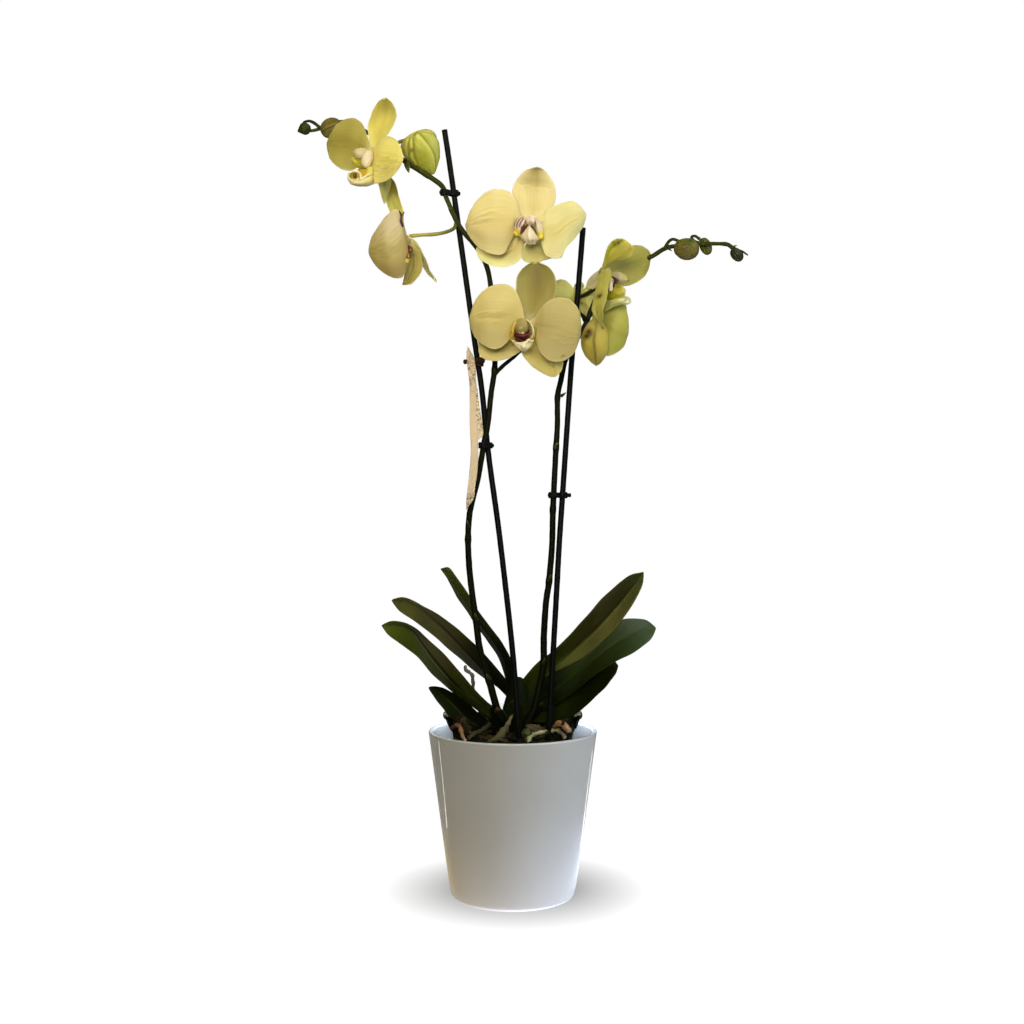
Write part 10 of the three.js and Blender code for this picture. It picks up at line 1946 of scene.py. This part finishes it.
for name, flower in FLOWERS.items():
    look = FLOWER_LOOK[name]
    origin, right, up, out = frame_of(name)
    spots = [(c, r, srgb(*col)) for c, r, col in look.get("spots", ())]
    petal = petal_material(name + " petal", look.get("glow", 0.25), spots=spots)
    piece = Piece()
    for k, part in enumerate(("sepal_a", "sepal_b", "dorsal", "petal_a", "petal_b")):
        own = look.get(part, {})
        tone = dict(look["tone"])
        tone.update(own.get("tone", {}))
        face = own.get("face", out)
        big = part.startswith("petal")
        blade(piece, own.get("rows", flower[part]), face, 0.8, 0.8, petal_paint(tone, own.get("blots", ()), own.get("folds", ())),
              petal_relief(own.get("ruffle", 0.5 if big else 0.35), own.get("folds", ()), own.get("cup", 0.0), 100 + 7 * k + ord(name[-1])),
              ns=66 if name in ("flower_1", "flower_2", "flower_5") else 46, nt=48 if name in ("flower_1", "flower_2", "flower_5") else 34, edge=8)
    for k, own in enumerate(look.get("extras", ())):
        tone = dict(look["tone"])
        tone.update(own.get("tone", {}))
        blade(piece, own["rows"], own.get("face", out), 0.75, 0.8, petal_paint(tone, own.get("blots", ())),
              petal_relief(own.get("ruffle", 0.2), own.get("folds", ()), own.get("cup", 0.0), 300 + k), ns=48, nt=30, edge=8)
    heart = srgb(*look["tone"]["heart"])
    ball(piece, origin - out * 4.2, origin + out * 3.4, 4.4, lambda u, a, p: mix(heart * 0.8, heart, u), 36, 26)
    piece.build(name + "_petals", [petal], [name], "petal")

    lip = Piece()
    if name not in LIPS:
        common_lip(lip, origin + right * look["lip_at"][0] + up * look["lip_at"][1] + out * look["lip_at"][2], right, up, out, look["lip"], look.get("lip_size", 1.0))
    if name in LIPS or name in LIPS_MORE:
        for kind, *args in LIPS.get(name, LIPS_MORE.get(name)):
            if kind == "blade":
                rows, face, thick, crease, light, deep, where, marks = args
                if marks == "bars":
                    paint = stripes(srgb(*light), srgb(*deep), ((0.55, 0.3, 0.95, 0.16), (-0.45, 0.25, 0.8, 0.12)), 71)
                elif marks == "arcs":
                    paint = stripes(srgb(*light), srgb(*deep), ((0.45, 0.42, 0.95, 0.17), (-0.15, 0.36, 0.95, 0.15), (-0.75, 0.4, 0.8, 0.12), (0.9, 0.1, 0.6, 0.16)), 71)
                elif marks == "faint":
                    paint = stripes(mix(srgb(*light), srgb(196, 150, 120), np.array(0.15)), srgb(*deep), ((0.3, 0.66, 0.9, 0.05), (-0.2, 0.62, 0.88, 0.05)), 74)
                elif marks == "dots":
                    paint = plain(srgb(*light), srgb(*deep), where, 72, 0.9)
                else:
                    paint = plain(srgb(*light), srgb(*deep), where)
                blade(lip, rows, face, thick, crease, paint, lambda s, t, L, W: 0.18 * wobble(s * 9 + t, 5) * np.abs(t), ns=46, nt=30)
            elif kind == "keel":
                rows, face, thick, crease, light, deep, ridge = args
                light, deep, ridge = srgb(*light), srgb(*deep), srgb(*ridge)
                # the keel is paler along its ridge and deeper towards its sides, with bands across it: partly its own
                # colour and partly painted highlight and shade on its folds
                blade(lip, rows, face, thick, crease,
                      lambda s, t, f, p, a=light, b=deep, c=ridge: mix(mix(a, b, smooth(0.35, 0.95, np.abs(t)) * 0.8 + 0.2 * np.sin(9 * s) ** 2), np.broadcast_to(c, s.shape + (3,)), 0.7 * np.exp(-((t / 0.16) ** 2)) * (1 - smooth(0.3, 0.8, s))),
                      lambda s, t, L, W: 0.35 * np.cos(t * 9.5) * smooth(0.15, 0.4, s) + 0.2 * wobble(s * 9, 6), ns=46, nt=40)
            elif kind == "ball":
                start, end, radius, light, deep, flat, dots = args
                light, deep = srgb(*light), srgb(*deep)
                dotc = None if dots is None else srgb(*dots[1])

                def paint(u, a, p, light=light, deep=deep, dots=dots, dotc=dotc):
                    c = mix(light, deep, smooth(0.1, 0.95, u))
                    if dots is not None:
                        d = np.clip(field(p, 73, dots[2]) * 2.6 - dots[3], 0, 1)
                        c = mix(c, np.broadcast_to(dotc, c.shape), dots[0] * d)
                    return c
                ball(lip, start, end, radius, paint, 44, 32, flat=flat)
            elif kind == "tube":
                points, colour = args
                tube(lip, points, around=14, step=0.35, paint=srgb(*colour), cap=0.8, rough=0.1)
    lip.build(name + "_lip_detail", [MAT_LIP], [name + "_lip"], "lip")

# ---------------------------------------------------------------- floor, lights and camera
def plane(name, corners, material):
    mesh = bpy.data.meshes.new(name)
    mesh.from_pydata(corners, [], [tuple(range(len(corners)))])
    mesh.materials.append(material)
    obj = bpy.data.objects.new(name, mesh)
    bpy.context.scene.collection.objects.link(obj)
    return obj


m, t = new_material("pale floor")
pos = object_coords(t)
offset = node(t, "ShaderNodeMapping", {"Vector": pos, "Location": (-SHADOW_HALO[0], -SHADOW_HALO[1] * SHADOW_HALO[2], 0.0), "Scale": (1.0, SHADOW_HALO[2], 1.0)}).outputs["Vector"]
away = node(t, "ShaderNodeVectorMath", {0: offset, 1: (0.0, 0.0, 0.0)}, operation="DISTANCE").outputs["Value"]
paper = node(t, "ShaderNodeBsdfDiffuse", {"Color": colour_mix(t, "MIX", ranged(t, noise(t, pos, 6.0), 0.3, 0.7, 0.0, 1.0), (0.86, 0.86, 0.86, 1.0), (0.89, 0.89, 0.89, 1.0))})
# painted shadow: for the camera the floor glows less close to the pot's foot
rise = maths(t, "POWER", ranged(t, away, SHADOW_HALO[3], SHADOW_HALO[4], 0.0, 1.0), SHADOW_HALO[5])
seen = node(t, "ShaderNodeLightPath").outputs["Is Camera Ray"]
near = maths(t, "MULTIPLY", ranged(t, away, 0.045, 0.075, 0.0, 1.0), ranged(t, away, 0.09, 0.24, 1.0, 0.0))
strength = node(t, "ShaderNodeMix", {0: seen, 2: near, 3: ranged(t, rise, 0.0, 1.0, FLOOR_NEAR, FLOOR_FAR)}).outputs[0]
across = ranged(t, node(t, "ShaderNodeSeparateXYZ", {0: pos}).outputs[0], -0.09, 0.09, 0.0, 1.0)
glow = colour_mix(t, "MIX", across, rgba(BOUNCE[0]), rgba(BOUNCE[1]))
lift = node(t, "ShaderNodeEmission", {"Color": colour_mix(t, "MIX", seen, glow, (1.0, 1.0, 1.0, 1.0)), "Strength": strength})
dull = node(t, "ShaderNodeBsdfDiffuse", {"Color": (0.08, 0.08, 0.08, 1.0)})
sheet = node(t, "ShaderNodeMixShader", {0: seen, 1: paper.outputs[0], 2: dull.outputs[0]})
output(t, node(t, "ShaderNodeAddShader", {0: sheet.outputs[0], 1: lift.outputs[0]}).outputs[0])
plane("floor", [(-9, -9, -0.0004), (9, -9, -0.0004), (9, 9, -0.0004), (-9, 9, -0.0004)], m)

world = bpy.data.worlds.new("studio")
bpy.context.scene.world = world
world.use_nodes = True
w = world.node_tree
w.nodes.clear()
direction = node(w, "ShaderNodeTexCoord").outputs["Generated"]
xyz = node(w, "ShaderNodeSeparateXYZ", {0: direction})
side = ranged(w, xyz.outputs[0], -1.0, 1.0, 0.0, 1.0)
upness = ranged(w, xyz.outputs[2], -0.1, 0.9, 0.0, 1.0)
low = colour_mix(w, "MIX", side, rgba(SKY[0]), rgba(SKY[1]))
high = colour_mix(w, "MIX", side, rgba(SKY[2]), rgba(SKY[3]))
dim = node(w, "ShaderNodeBackground", {"Color": colour_mix(w, "MIX", upness, low, high), "Strength": 1.0})
white = node(w, "ShaderNodeBackground", {"Color": (1.0, 1.0, 1.0, 1.0), "Strength": 1.0})
seen = node(w, "ShaderNodeLightPath").outputs["Is Camera Ray"]
node(w, "ShaderNodeOutputWorld", {"Surface": node(w, "ShaderNodeMixShader", {0: seen, 1: dim.outputs[0], 2: white.outputs[0]}).outputs[0]})


def lamp(name, where, target, size, power, colour, spread):
    data = bpy.data.lights.new(name, "AREA")
    data.shape = "RECTANGLE"
    data.size, data.size_y = size
    data.energy = power
    data.color = colour
    data.spread = spread
    obj = bpy.data.objects.new(name, data)
    bpy.context.scene.collection.objects.link(obj)
    obj.location = where
    obj.rotation_euler = (Vector(target) - Vector(where)).to_track_quat("-Z", "Y").to_euler()
    obj.visible_camera = False
    if name.startswith("strip"):
        obj.rotation_euler = (math.pi, 0.0, math.atan2(where[1], where[0]) - math.pi / 2)
    return obj


for args in LAMPS:
    lamp(*args)

camera = bpy.data.cameras.new("camera")
camera.sensor_width = 36.0
camera.lens = 53.89
camera.clip_start = 0.05
camera.clip_end = 50.0
eye = bpy.data.objects.new("camera", camera)
bpy.context.scene.collection.objects.link(eye)
eye.location = (-0.0006, -1.270, 0.350)
eye.rotation_euler = (math.radians(90) - math.atan(35 / 1533), 0.0, 0.0)
bpy.context.scene.camera = eye
bpy.context.scene.view_settings.view_transform = "Standard"
bpy.context.scene.view_settings.look = "None"
